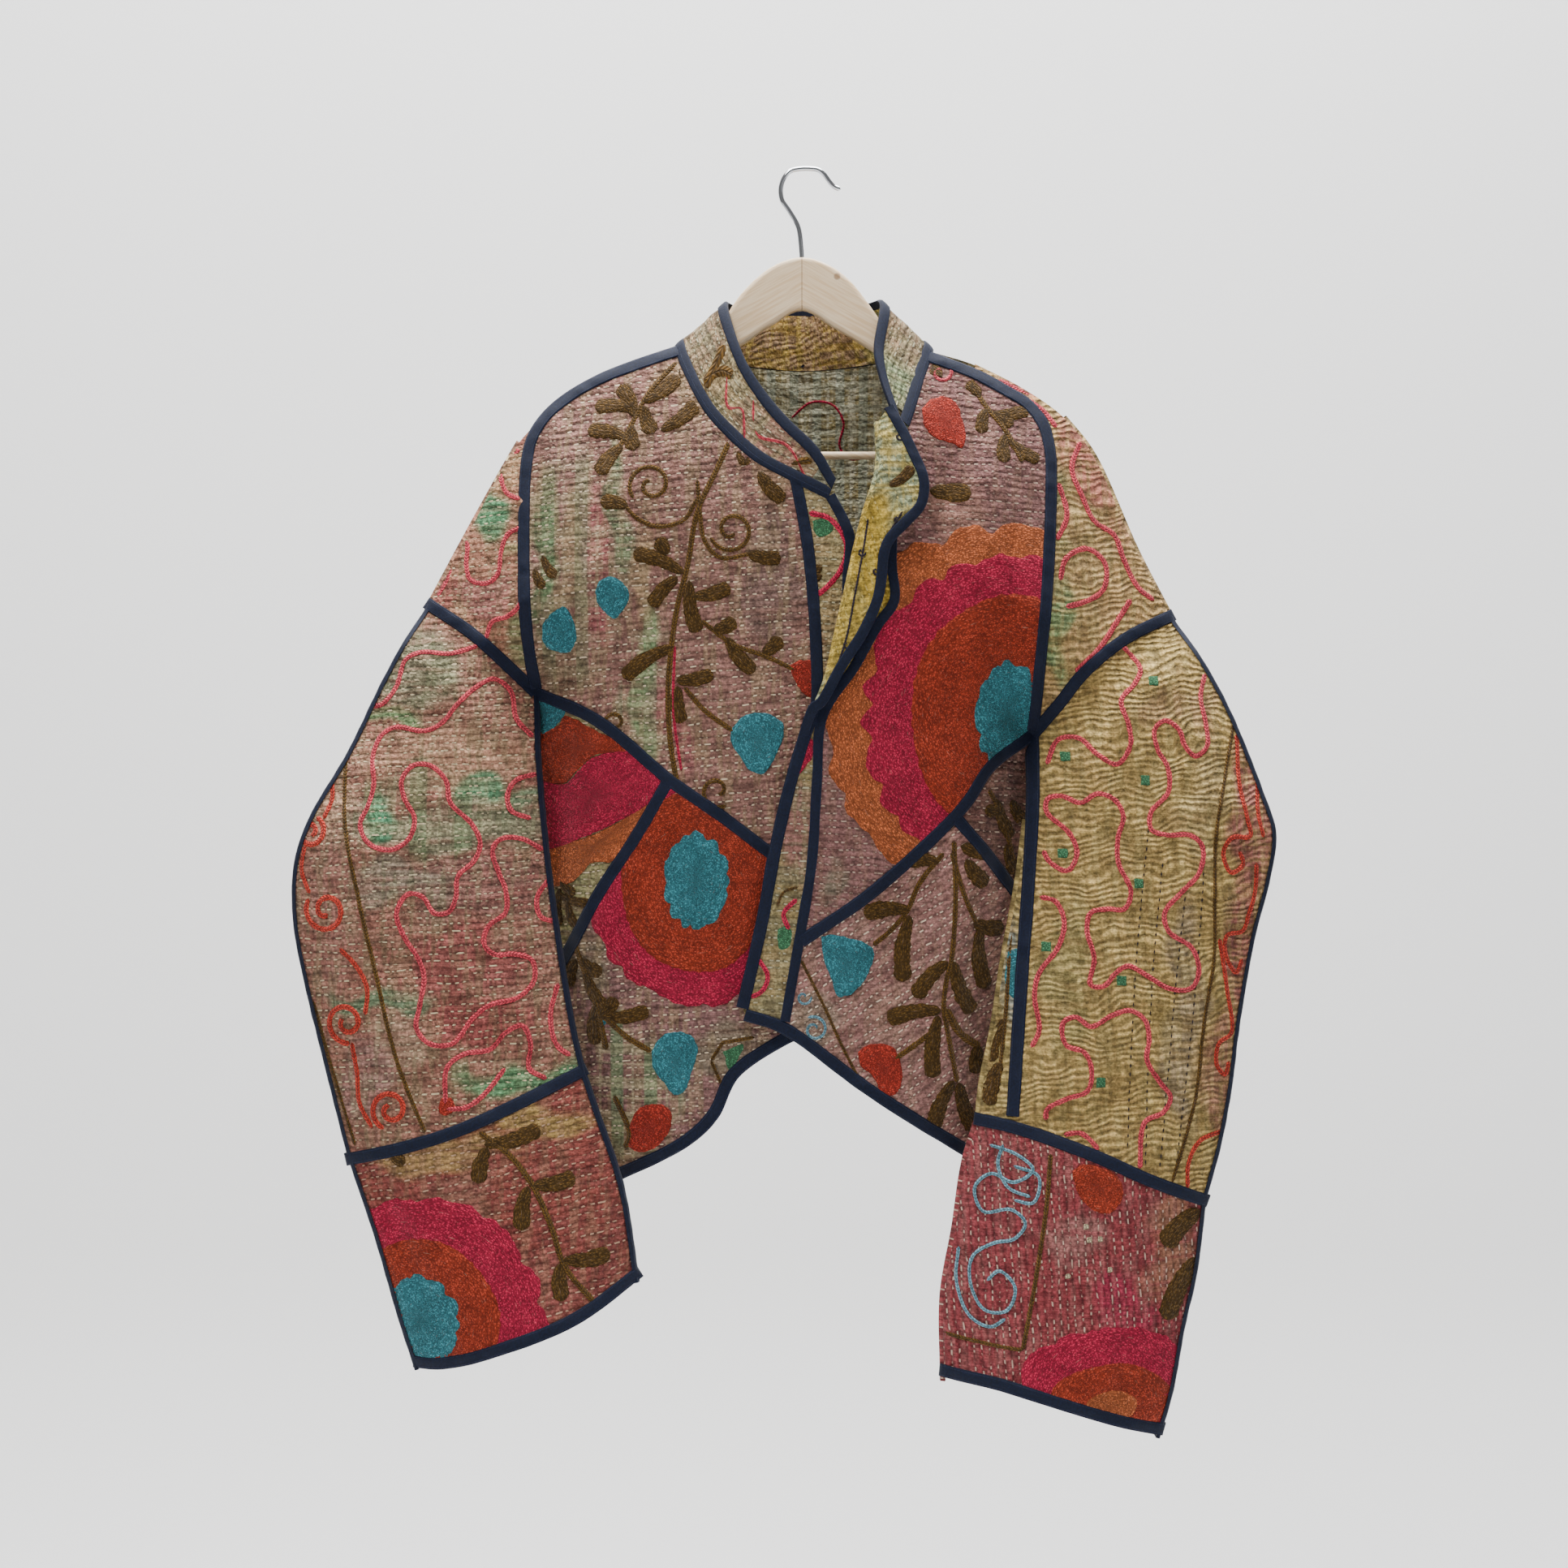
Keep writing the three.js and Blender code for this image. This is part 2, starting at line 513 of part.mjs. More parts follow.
const lowsR = lows(0, RIDGE_R), lowsBack = lows(RIDGE_R, RIDGE_L), lowsL = lows(RIDGE_L, LAST);
const neckFrontR = outline(lowsR, [[-101, -60], [60, -60], [60, -262]]);
const neckFrontL = outline(lowsL, [[50, -198], [-20, -60], [94, -60]]);
const neckBack = outline(lowsBack, [[94, -60], [-101, -60]]);

// The collar's wall between two heights, each a function of the collar's height there
function collarPart(from, to, thick, flat = false, first = 0, last = LAST) {
  const rings = [];
  const steps = Math.round((last - first) * COLLAR_STEPS);
  for (let i = 0; i <= steps; i++) {
    const u = (first + (last - first) * i / steps) / LAST;
    const a = collarLow.getPoint(u), b = collarTop.getPoint(u);
    const up = b.clone().sub(a), height = up.length();
    const tangent = collarLow.getPoint(Math.min(1, u + 0.01))
      .sub(collarLow.getPoint(Math.max(0, u - 0.01)));
    const out = tangent.cross(up).normalize();
    if (out.x * (a.x + 4) / 90 + out.y * a.y / 45 < 0) out.negate();
    if (flat) out.multiply({ x: clamp(1 - Math.abs(a.y) / 8, 0, 1), y: 1,
      z: clamp(1 - Math.abs(a.y) / 8, 0, 1) }).normalize();
    const place = (v, w) => a.clone().addScaledVector(up, v / height)
      .addScaledVector(out, w).toArray();
    const [v0, v1] = [from(height), to(height)];
    rings.push([place(v0, 0), place(v1, 0), place(v1, thick), place(v0, thick)]);
  }
  return loft(rings);
}

// Cloth and tape of the right front
const { bodyFront: BF, bodyBack: BB, leftFront: LF, lapel: LP } = SURFACE;
const { sleeveFrontR: SFR, sleeveBackR: SBR, sleeveFrontL: SFL, sleeveBackL: SBL } = SURFACE;
const frontRTapes = [T.armholeR, T.diagonalR, T.branchR, T.placketR, T.edgeR, T.hemR, T.sideR,
  neckFrontR];
const parts = {
  front_r_upper: [sheet(BF, outline(back(LINE.armholeR), back(lowsR),
    LINE.placketR.slice(0, 7), back(LINE.diagonalR.slice(0, 5))), frontRTapes), COLOUR.mauve],
  front_r_side: [sheet(BF, outline(LINE.diagonalR.slice(0, 3), LINE.branchR,
    back(LINE.sideR.slice(1, 3))), frontRTapes), COLOUR.rust],
  front_r_lower: [sheet(BF, outline(LINE.diagonalR.slice(2, 5), LINE.placketR.slice(6),
    back(LINE.hemR).slice(1), [LINE.sideR[3]], back(LINE.branchR)), frontRTapes), COLOUR.mauve],
  placket_r: [sheet(BF, outline(LINE.placketR, back(LINE.edgeR)), frontRTapes), COLOUR.sand],
};
const add = (name, body, colour, ...look) => { parts[name] = [body, colour, ...look]; };
add("bind_edge_r", without(tape(BF, LINE.edgeR, COLLAR_TAPE), neckFrontR), COLOUR.navy);
add("bind_placket_r", without(tape(BF, LINE.placketR), T.edgeR, neckFrontR), COLOUR.navy);
add("bind_armhole_r", without(tape(BF, LINE.armholeR), neckFrontR), COLOUR.navy);
add("bind_diagonal_r", without(tape(BF, LINE.diagonalR), T.armholeR, T.placketR, T.edgeR,
  T.sideR, T.dropR), COLOUR.navy);
add("bind_branch_r", without(tape(BF, LINE.branchR), T.diagonalR, T.sideR), COLOUR.navy);
add("bind_hem_r", without(tape(BF, LINE.hemR), T.sideR, T.placketR, T.edgeR), COLOUR.navy);
add("bind_side_r", edge(BF, BB, RUN.sideR), COLOUR.navy);

// Cloth and tape of the left front, with the band that is turned out as a lapel
const frontLTapes = [T.armholeL, T.diagonalL, T.branchL, T.bandSeamL, T.bandL, T.hemL, T.sideL,
  neckFrontL];
add("front_l_upper", sheet(LF, outline(lowsL, LINE.bandSeamL.slice(0, 10),
  LINE.diagonalL, back(LINE.armholeL)), frontLTapes), COLOUR.rust);
add("front_l_side", sheet(LF, outline(LINE.diagonalL.slice(3), [LINE.sideL[1]],
  back(LINE.branchL)), frontLTapes), COLOUR.mauve);
add("front_l_lower", sheet(LF, outline(LINE.diagonalL.slice(0, 3), LINE.branchL,
  LINE.sideL.slice(3), back(LINE.hemL).slice(1, 5), LINE.bandSeamL.slice(10, 9)),
  frontLTapes), COLOUR.mauve);
const flatSeam = LINE.bandSeamL.slice(6), underSeam = LINE.bandSeamL.slice(0, 7);
const twist = [[7, -406], [1, -424]]; // where the edge tape passes from the band to the lapel
add("placket_l", sheet(LF, outline(LINE.bandL, LINE.hemL.slice(0, 2), back(flatSeam)),
  [...frontLTapes, band(twist, TAPE_WIDTH * 2)]), COLOUR.sand);
const turn = { y: (x, z) => lapel(x, z) - CLOTH, out: -1 };
const roll = loft(along(LINE.rollL).map((p) => {
  const [near, far] = [leftFront(p.x, p.z), turn.y(p.x, p.z)];
  const at = (across, y) => [p.x + p.nx * across, y, p.z + p.nz * across];
  return [at(-1.6, near), at(1.2, near), at(1.2, far), at(-1.6, far), at(-3, (near + far) / 2)];
}));
add("lapel_l", without(joined(
  sheet(LF, outline(back(LINE.rollL), underSeam), [T.bandSeamL, T.bandL, neckFrontL]),
  without(joined(roll, sheet(LP, outline(LINE.rollL, back(LINE.lapelL)))), T.lapelL)),
T.bandL, band(twist, TAPE_WIDTH)), COLOUR.sage);
add("bind_edge_l", joined(tape(LF, LINE.bandL), tape(LP, LINE.lapelL, COLLAR_TAPE),
  tape(LF, twist, TAPE_WIDTH, 0, CLOTH + LAPEL.lift + TAPE)), COLOUR.navy);
add("bind_placket_l", without(tape(LF, LINE.bandSeamL, TAPE_WIDTH * 0.8), T.bandL, neckFrontL,
  band(twist, TAPE_WIDTH)), COLOUR.navy);
add("bind_armhole_l", without(tape(LF, LINE.armholeL), neckFrontL), COLOUR.navy);
add("bind_diagonal_l", without(tape(LF, LINE.diagonalL), T.armholeL, T.bandSeamL, T.sideL,
  T.dropL, T.seamL), COLOUR.navy);
add("bind_branch_l", without(tape(LF, LINE.branchL), T.diagonalL, T.sideL), COLOUR.navy);
add("bind_hem_l", without(tape(LF, LINE.hemL), T.sideL, T.bandL, T.bandSeamL), COLOUR.navy);
add("bind_side_l", edge(BF, BB, RUN.sideL), COLOUR.navy);

// Back
const backTapes = [T.armholeBackR, T.armholeBackL, T.hemBack, T.sideR, T.sideL, neckBack];
add("back_panel", sheet(BB, outline(lowsBack, LINE.outerL.slice(1, 3), LINE.armholeBackL,
  LINE.sideL.slice(1), back(LINE.hemBack), back(LINE.sideR).slice(1), back(LINE.armholeBackR),
  [LINE.outerR[2], LINE.outerR[1]]), backTapes), COLOUR.sage);
add("bind_armhole_back_r", tape(BB, LINE.armholeBackR), COLOUR.navy);
add("bind_armhole_back_l", tape(BB, LINE.armholeBackL), COLOUR.navy);
add("bind_hem_back", without(tape(BB, LINE.hemBack), T.sideR, T.sideL), COLOUR.navy);

// A tape round a tube: its front and back runs, joined at the ends given
function ring(front, rear, line, ends, ...clear) {
  const joints = ends.map(([a, b]) => edge(front, rear, [a, b], TAPE_WIDTH, EDGE_DEPTH + 2));
  return without(joined(tape(front, line), tape(rear, line), ...joints), ...clear);
}
const inward = (line, end, length = 7) => {
  const [a, b] = end ? line.slice(-2).reverse() : line;
  const l = Math.hypot(b[0] - a[0], b[1] - a[1]);
  return [a, [a[0] + (b[0] - a[0]) * length / l, a[1] + (b[1] - a[1]) * length / l]];
};
// A folded edge of cloth that joins a front and a back sheet
const folded = (front, rear, line) => edge(front, rear, line, EDGE_WIDTH - 0.4, 7.4);

// Right sleeve
const armRTapes = [T.armholeR, T.dropR, T.cuffR, T.wristR, T.innerR];
const capR = LINE.outerR.slice(2, 6);
add("cap_r", without(joined(
  sheet(SFR, outline(capR, LINE.dropR.slice(1), back(LINE.armholeR.slice(3))), armRTapes),
  sheet(SBR, outline(capR.slice(1), LINE.dropR.slice(1), back(LINE.armholeBackR)),
    [T.armholeBackR, T.dropR]),
  folded(SFR, SBR, capR.slice(1))), T.dropR, T.armholeR, T.armholeBackR), COLOUR.sand);
const sleeveOutlineR = outline(LINE.dropR, LINE.innerR.slice(1, 6), back(LINE.cuffR),
  back(LINE.outerR.slice(6, 13)));
const cuffOutlineR = outline(LINE.cuffR, LINE.innerR.slice(6, 8), back(LINE.wristR),
  back(LINE.outerR.slice(14, 16)));
for (const [place, surface] of [["front", SFR], ["back", SBR]]) {
  const clear = [...armRTapes, T.outerR];
  add(`sleeve_${place}_r`, sheet(surface, sleeveOutlineR, clear), COLOUR.sand);
  add(`cuff_${place}_r`, sheet(surface, cuffOutlineR, clear), COLOUR.crimson);
}
const crotch = (line) => CrossSection.circle(UNDERARM_CLEAR, 10).translate(line.at(-1));
add("bind_drop_r", ring(SFR, SBR, LINE.dropR, [inward(LINE.dropR)], T.armholeR,
  T.armholeBackR, crotch(LINE.dropR)), COLOUR.navy);
const bothEnds = (line) => [inward(line), inward(line, true)];
add("bind_cuff_r", ring(SFR, SBR, LINE.cuffR, bothEnds(LINE.cuffR)), COLOUR.navy);
add("bind_wrist_r", ring(SFR, SBR, LINE.wristR, bothEnds(LINE.wristR)), COLOUR.navy);
add("bind_outer_r", without(edge(SFR, SBR, RUN.outerR), T.dropR, T.cuffR),
  COLOUR.navy);
add("bind_outer_cuff_r", without(edge(SFR, SBR, RUN.outerCuffR), T.cuffR, T.wristR),
  COLOUR.navy);
add("bind_inner_r", without(edge(SFR, SBR, RUN.innerR), T.cuffR),
  COLOUR.navy);
add("bind_inner_cuff_r", without(edge(SFR, SBR, RUN.innerCuffR), T.cuffR, T.wristR),
  COLOUR.navy);

// Left sleeve
const armLTapes = [T.armholeL, T.dropL, T.cuffL, T.wristL, T.seamL];
const capL = LINE.outerL.slice(1, 7);
add("cap_l", without(joined(
  sheet(SFL, outline(capL, LINE.dropL.slice(1), back(LINE.armholeL).slice(0, 9)), armLTapes),
  sheet(SBL, outline(capL.slice(2), LINE.dropL.slice(1), back(LINE.armholeBackL)),
    [T.armholeBackL, T.dropL]),
  folded(SFL, SBL, capL.slice(2))), T.dropL, T.armholeL, T.armholeBackL), COLOUR.khaki);
const innerL = LINE.innerL.slice(0, 7);
add("sleeve_front_l", sheet(SFL, outline(LINE.dropL, LINE.seamL.slice(1), LINE.cuffL.slice(2),
  back(LINE.outerL.slice(7, 15))), [...armLTapes, T.outerL]), COLOUR.khaki);
add("sleeve_back_l", without(joined(
  sheet(SFL, outline(innerL, back(LINE.seamL)), armLTapes),
  sheet(SBL, outline(LINE.dropL, innerL.slice(1), LINE.cuffL.slice(1),
    back(LINE.outerL.slice(7, 15))), [T.dropL, T.cuffL, T.outerL]),
  without(folded(SFL, SBL, innerL), T.seamL)), T.dropL, T.cuffL, outline(NOTCH)), COLOUR.khaki);
const cuffOutlineL = outline(LINE.cuffL.slice(1), LINE.outerL.slice(16, 19),
  back(LINE.wristL).slice(1), LINE.innerL.slice(6, 10).reverse());
const cuffTapesL = [T.cuffL, T.wristL, T.outerL];
add("cuff_l", without(joined(sheet(SFL, cuffOutlineL, cuffTapesL),
  sheet(SBL, cuffOutlineL, cuffTapesL), folded(SFL, SBL, LINE.innerL.slice(6))),
  T.cuffL, T.wristL), COLOUR.crimson);
add("bind_drop_l", ring(SFL, SBL, LINE.dropL, [inward(LINE.dropL)], T.armholeL,
  T.armholeBackL, crotch(LINE.dropL)), COLOUR.navy);
add("bind_cuff_l", ring(SFL, SBL, LINE.cuffL, bothEnds(LINE.cuffL)), COLOUR.navy);
add("bind_wrist_l", ring(SFL, SBL, LINE.wristL, bothEnds(LINE.wristL)), COLOUR.navy);
add("bind_outer_l", without(edge(SFL, SBL, RUN.outerL), T.dropL, T.cuffL),
  COLOUR.navy);
add("bind_outer_cuff_l", without(edge(SFL, SBL, RUN.outerCuffL), T.cuffL, T.wristL),
  COLOUR.navy);
add("bind_inner_l", without(tape(SFL, LINE.seamL), T.dropL, T.armholeL, T.cuffL,
  crotch(LINE.dropL)), COLOUR.navy);

// Collar
const bend = 1; // room for the collar's turn at the shoulders
add("collar", collarPart(() => TAPE_WIDTH + bend,
  (h) => Math.max(TAPE_WIDTH + 2, h - COLLAR_TAPE - bend), CLOTH, false, 0.7, 14.6),
COLOUR.sage);
add("bind_neck", collarPart(() => 0, (h) => Math.min(TAPE_WIDTH, h * 0.5), TAPE, true),
  COLOUR.navy);
add("bind_collar_top", collarPart((h) => Math.max(h * 0.5 + SEAM_GAP, h - COLLAR_TAPE),
  (h) => h, TAPE), COLOUR.navy);

// The tapes' ends stop at the collar's seam tape, and the cloth there just short of it
const ridges = COLLAR.filter((c) => c.side === "ridge")
  .map((c) => CrossSection.circle(RIDGE_CLEAR, 10).translate(c.low));
for (const name of ["front_r_upper", "front_l_upper", "back_panel"]) {
  parts[name][0] = without(parts[name][0], ...ridges);
}
for (const name of ["bind_armhole_r", "bind_armhole_l"]) {
  parts[name][0] = clearOf(parts[name][0], parts.bind_neck[0]);
}
parts.front_l_side[0] = without(parts.front_l_side[0], outline(NOTCH));

// Hanger
function slab(points, thick) {
  return new CrossSection([points], "NonZero").extrude(thick).rotate([90, 0, 0])
    .translate([0, thick / 2, 0]);
}
function rod(points, radius, sides = 10) {
  return loft(points.map((p) => Array.from({ length: sides }, (_, j) => {
    const a = 2 * Math.PI * j / sides;
    return [p.x + p.nx * radius * Math.cos(a), radius * Math.sin(a),
      p.z + p.nz * radius * Math.cos(a)];
  })));
}
const woodOutline = [...HANGER.woodTop, ...HANGER.woodLow];
add("hanger_wood", slab(woodOutline, WOOD_THICK), COLOUR.wood, 0.5);
const { bar } = HANGER;
const woodPrism = new CrossSection([woodOutline], "NonZero");
add("hanger_bar", without(rod([{ x: bar.from, z: bar.z, nx: 0, nz: 1 },
  { x: bar.to, z: bar.z, nx: 0, nz: 1 }], BAR_RADIUS), woodPrism), COLOUR.wood, 0.5);
add("hanger_hook", rod(along(HANGER.wire, 5), WIRE_RADIUS, 9), COLOUR.steel, 0.2, 1);

const group = new THREE.Group();
function addMesh(name, body, colour, roughness = 0.9, metalness = 0) {
  const out = tidy(body).getMesh();
  const geometry = new THREE.BufferGeometry();
  geometry.setAttribute("position", new THREE.BufferAttribute(
    Float32Array.from(out.vertProperties), 3));
  geometry.setIndex(new THREE.BufferAttribute(Uint32Array.from(out.triVerts), 1));
  geometry.computeVertexNormals();
  const mesh = new THREE.Mesh(geometry, new THREE.MeshStandardMaterial({
    color: colour, roughness, metalness }));
  mesh.name = name;
  group.add(mesh);
}
for (const [name, [body, ...look]] of Object.entries(parts)) addMesh(name, body, ...look);

export default group;
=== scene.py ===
"""A quilted kantha jacket on its wooden hanger.

Sizes are in millimetres and points on the cloth are [x, z] as seen from the front, with the origin
at the inside top of the hook, +Z up and the front facing -Y. "r" is the wearer's right, at low X.
Every sheet of cloth follows a surface y = f(x, z). Tapes, embroidery and creases lie on it.
"""
import logging
import math
from collections.abc import Callable, Sequence
from dataclasses import dataclass, field
from enum import Enum

import bpy
import numpy as np
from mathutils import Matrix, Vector
from mathutils.geometry import delaunay_2d_cdt


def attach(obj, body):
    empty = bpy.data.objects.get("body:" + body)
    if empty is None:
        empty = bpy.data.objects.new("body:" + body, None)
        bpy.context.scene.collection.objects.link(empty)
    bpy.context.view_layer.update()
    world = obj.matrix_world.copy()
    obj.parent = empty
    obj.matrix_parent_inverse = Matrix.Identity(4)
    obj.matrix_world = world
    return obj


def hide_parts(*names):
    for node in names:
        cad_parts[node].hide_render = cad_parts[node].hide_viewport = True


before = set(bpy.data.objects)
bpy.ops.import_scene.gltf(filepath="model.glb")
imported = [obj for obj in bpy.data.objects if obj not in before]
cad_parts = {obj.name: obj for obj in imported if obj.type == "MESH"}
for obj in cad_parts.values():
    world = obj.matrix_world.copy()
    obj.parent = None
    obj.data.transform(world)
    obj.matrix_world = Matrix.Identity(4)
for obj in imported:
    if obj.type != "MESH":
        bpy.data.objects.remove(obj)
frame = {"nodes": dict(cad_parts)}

LOG = logging.getLogger("jacket")
MM = 0.001
Line = Sequence[tuple[float, float]]
Array = np.ndarray
Colour = tuple[float, float, float]


@dataclass(frozen=True)
class Sizes:
    """The garment's driving sizes in millimetres."""

    cloth: float = 2.4
    tape: float = 3.5
    tape_width: float = 9.4
    collar_tape: float = 8.0
    edge_half: float = 1.6
    depth: float = 52.0
    reach: float = 140.0
    sleeve_front: float = 33.0
    sleeve_back: float = 25.0
    sleeve_reach: float = 88.0
    overlap: float = 10.0
    lapel_lift: float = 4.2
    forward_step: float = 18.0
    forward_slope: float = 0.11
    mesh: float = 3.3
    back_mesh: float = 4.4
    field: float = 2.5
    along: float = 3.0
    arc: float = 2.0
    wood: float = 12.0
    bar: float = 3.1
    wire: float = 2.0


S = Sizes()


class Side(Enum):
    """Which sleeve, with the sign of its x."""

    R = -1
    L = 1


class Face(Enum):
    """Which way a sheet's outer face looks along y."""

    FRONT = -1
    BACK = 1


LINE: dict[str, Line] = {
    "outerR": (
        (-98, -136), (-148, -152), (-185, -174), (-222, -209), (-257, -271), (-291, -334), (-322, -393),
        (-348, -449), (-376, -499), (-386, -532), (-386, -574), (-376, -624), (-363, -674), (-343, -749),
        (-322, -809), (-304, -868), (-291, -906),
    ),
    "innerR": (
        (-209, -402), (-205, -462), (-198, -531), (-188, -599), (-178, -656), (-171, -686), (-160, -718),
        (-141, -774), (-129, -845),
    ),
    "sideR": (
        (-209, -402), (-209, -462), (-206, -556), (-200, -681), (-184, -797),
    ),
    "outerL": (
        (92, -138), (128, -149), (165, -168), (196, -190), (218, -218), (252, -293), (278, -343), (315, -409),
        (343, -481), (351, -509), (346, -543), (334, -587), (321, -656), (315, -699), (306, -743), (295, -781),
        (287, -837), (278, -874), (268, -924), (258, -956),
    ),
    "innerL": (
        (172, -434), (166, -499), (159, -549), (148, -606), (140, -656), (131, -699), (128, -724), (118, -756),
        (110, -806), (101, -856), (101, -918),
    ),
    "seamL": (
        (172, -434), (170, -493), (165, -562), (161, -606), (152, -720),
    ),
    "sideL": (
        (172, -434), (174, -493), (172, -587), (167, -681), (157, -783),
    ),
    "armholeR": (
        (-99, -139), (-129, -149), (-160, -161), (-185, -175), (-202, -190), (-212, -207), (-216, -231),
        (-216, -306), (-213, -368), (-209, -399),
    ),
    "armholeL": (
        (92, -144), (128, -158), (152, -171), (168, -181), (179, -196), (184, -218), (184, -249), (181, -306),
        (176, -368), (172, -431),
    ),
    "armholeBackR": (
        (-206, -196), (-214, -240), (-216, -306), (-213, -368), (-209, -399),
    ),
    "armholeBackL": (
        (186, -184), (188, -230), (184, -306), (177, -368), (172, -431),
    ),
    "dropR": (
        (-293, -333), (-254, -359), (-229, -382), (-209, -402),
    ),
    "dropL": (
        (280, -342), (240, -362), (209, -387), (190, -412), (172, -434),
    ),
    "diagonalR": (
        (-209, -402), (-160, -424), (-105, -469), (-66, -496), (-26, -526), (14, -552),
    ),
    "branchR": (
        (-107, -471), (-129, -509), (-160, -556), (-185, -601), (-202, -626),
    ),
    "diagonalL": (
        (-6, -590), (49, -552), (106, -501), (121, -484), (138, -459), (172, -434),
    ),
    "branchL": (
        (112, -498), (134, -523), (156, -551), (174, -574),
    ),
    "hemR": (
        (-184, -789), (-140, -767), (-91, -740), (-72, -721), (-57, -691), (-22, -666), (8, -652),
    ),
    "hemL": (
        (-48, -645), (-19, -655), (40, -698), (78, -724), (118, -750), (157, -776),
    ),
    "hemBack": (
        (-184, -789), (-120, -752), (-66, -700), (-30, -660), (0, -648), (40, -688), (78, -714), (118, -742),
        (157, -776),
    ),
    "bandL": (
        (4, -414), (-13, -468), (-26, -524), (-35, -574), (-50, -640),
    ),
    "bandSeamL": (
        (72, -206), (65, -256), (62, -306), (64, -334), (52, -352), (34, -384), (10, -421), (6, -468), (2, -531),
        (-7, -587), (-18, -650),
    ),
    "rollL": (
        (52, -200), (52, -237), (43, -268), (35, -299), (31, -318), (21, -362), (14, -393), (5, -416),
    ),
    "lapelL": (
        (71, -208), (79, -225), (86, -243), (84, -262), (72, -276), (60, -289), (56, -299), (54, -318), (51, -334),
        (40, -359), (24, -384), (8, -412),
    ),
    "placketR": (
        (-10, -243), (-4, -274), (-1, -292), (4, -343), (6, -406), (2, -468), (-4, -543), (-7, -650),
    ),
    "edgeR": (
        (16, -255), (27, -276), (31, -289), (29, -318), (28, -368), (26, -431), (21, -493), (15, -556), (7, -648),
    ),
    "cuffR": (
        (-345, -752), (-298, -740), (-260, -728), (-216, -709), (-169, -687),
    ),
    "wristR": (
        (-293, -900), (-272, -899), (-222, -885), (-172, -866), (-128, -838),
    ),
    "cuffL": (
        (126, -724), (152, -728), (209, -746), (252, -765), (297, -783),
    ),
    "wristL": (
        (99, -910), (140, -915), (190, -928), (228, -940), (262, -950),
    ),
}

WOOD_TOP: Line = (
    (-213, -219), (-198, -204), (-166, -182), (-129, -163), (-94, -149), (-78, -132), (-64, -113), (-54, -98),
    (-41, -84), (-24, -72), (-5, -67), (14, -72), (31, -84), (42, -97), (52, -111), (65, -129), (84, -149),
    (121, -164), (159, -186), (190, -211), (206, -228),
)
WOOD_LOW: Line = (
    (201, -243), (178, -226), (152, -209), (109, -179), (71, -152), (50, -139), (19, -120), (-5, -107), (-29, -119),
    (-54, -136), (-72, -148), (-110, -174), (-160, -206), (-185, -222), (-210, -237),
)
WIRE: Line = (
    (-5, -66.6), (-5.5, -59), (-7, -46), (-9, -40), (-15, -30), (-20, -22.5), (-21.3, -15.7), (-20.6, -10),
    (-18, -4), (-14, 0), (-8, 1.6), (0, 2), (7.5, 1), (12, -2.2), (16.3, -8), (20, -12), (25, -14),
)
BAR_FROM, BAR_TO, BAR_Z = -184, 172, -219

# The collar's rows: low point, top point, where the low point lies, lean of the top to the neck
COLLAR = (
    ((14, -258), (20, -243), "front", 0),
    ((-14, -244), (6, -219), "front", 1),
    ((-41, -229), (-15, -198), "front", 3),
    ((-61, -211), (-33, -176), "front", 4),
    ((-77, -193), (-47, -153), "front", 5),
    ((-91, -168), (-56, -129), "front", 4),
    ((-101, -137), (-62, -103), "ridge", 0),
    ((-84, -141), (-56, -101), "back", -6),
    ((-48, -146), (-36, -99), "back", 0),
    ((-4, -148), (-5, -98), "back", 4),
    ((40, -146), (28, -99), "back", 0),
    ((76, -142), (46, -99), "back", -6),
    ((94, -139), (55, -102), "ridge", 0),
    ((87, -167), (50, -141), "front", 3),
    ((82, -184), (54, -164), "front", 3),
    ((76, -202), (62, -190), "front", 0),
)

# Folds and creases: from, to, width, lift (a ridge is positive and a trough negative)
Fold = tuple[tuple[float, float], tuple[float, float], float, float]
MAIN_FOLDS: dict[str, tuple[Fold, ...]] = {
    "bodyFront": (
        ((-175, -230), (-150, -420), 30, 5),
        ((-120, -200), (-90, -440), 26, -4),
        ((-60, -270), (-50, -470), 24, 3),
        ((-170, -560), (-120, -740), 34, 5),
        ((-100, -520), (-70, -700), 28, -5),
        ((140, -240), (120, -470), 30, 5),
        ((100, -240), (80, -420), 26, -4),
        ((120, -540), (90, -700), 30, 5),
        ((70, -560), (40, -680), 26, -5),
    ),
    "bodyBack": (
        ((-150, -230), (-120, -700), 36, 6),
        ((-60, -200), (-50, -640), 36, -6),
        ((30, -220), (20, -640), 34, 5),
        ((110, -230), (95, -690), 36, -5),
    ),
    "sleeveR": (
        ((-335, -420), (-345, -640), 26, 5),
        ((-285, -400), (-300, -600), 24, -5),
        ((-245, -430), (-235, -640), 24, 4),
        ((-270, -640), (-200, -690), 22, -4),
        ((-300, -760), (-250, -880), 26, 4),
    ),
    "sleeveL": (
        ((300, -430), (310, -640), 26, 5),
        ((262, -420), (262, -640), 24, -5),
        ((215, -460), (205, -690), 24, 4),
        ((250, -700), (180, -730), 22, -4),
        ((235, -780), (215, -900), 26, 4),
    ),
}
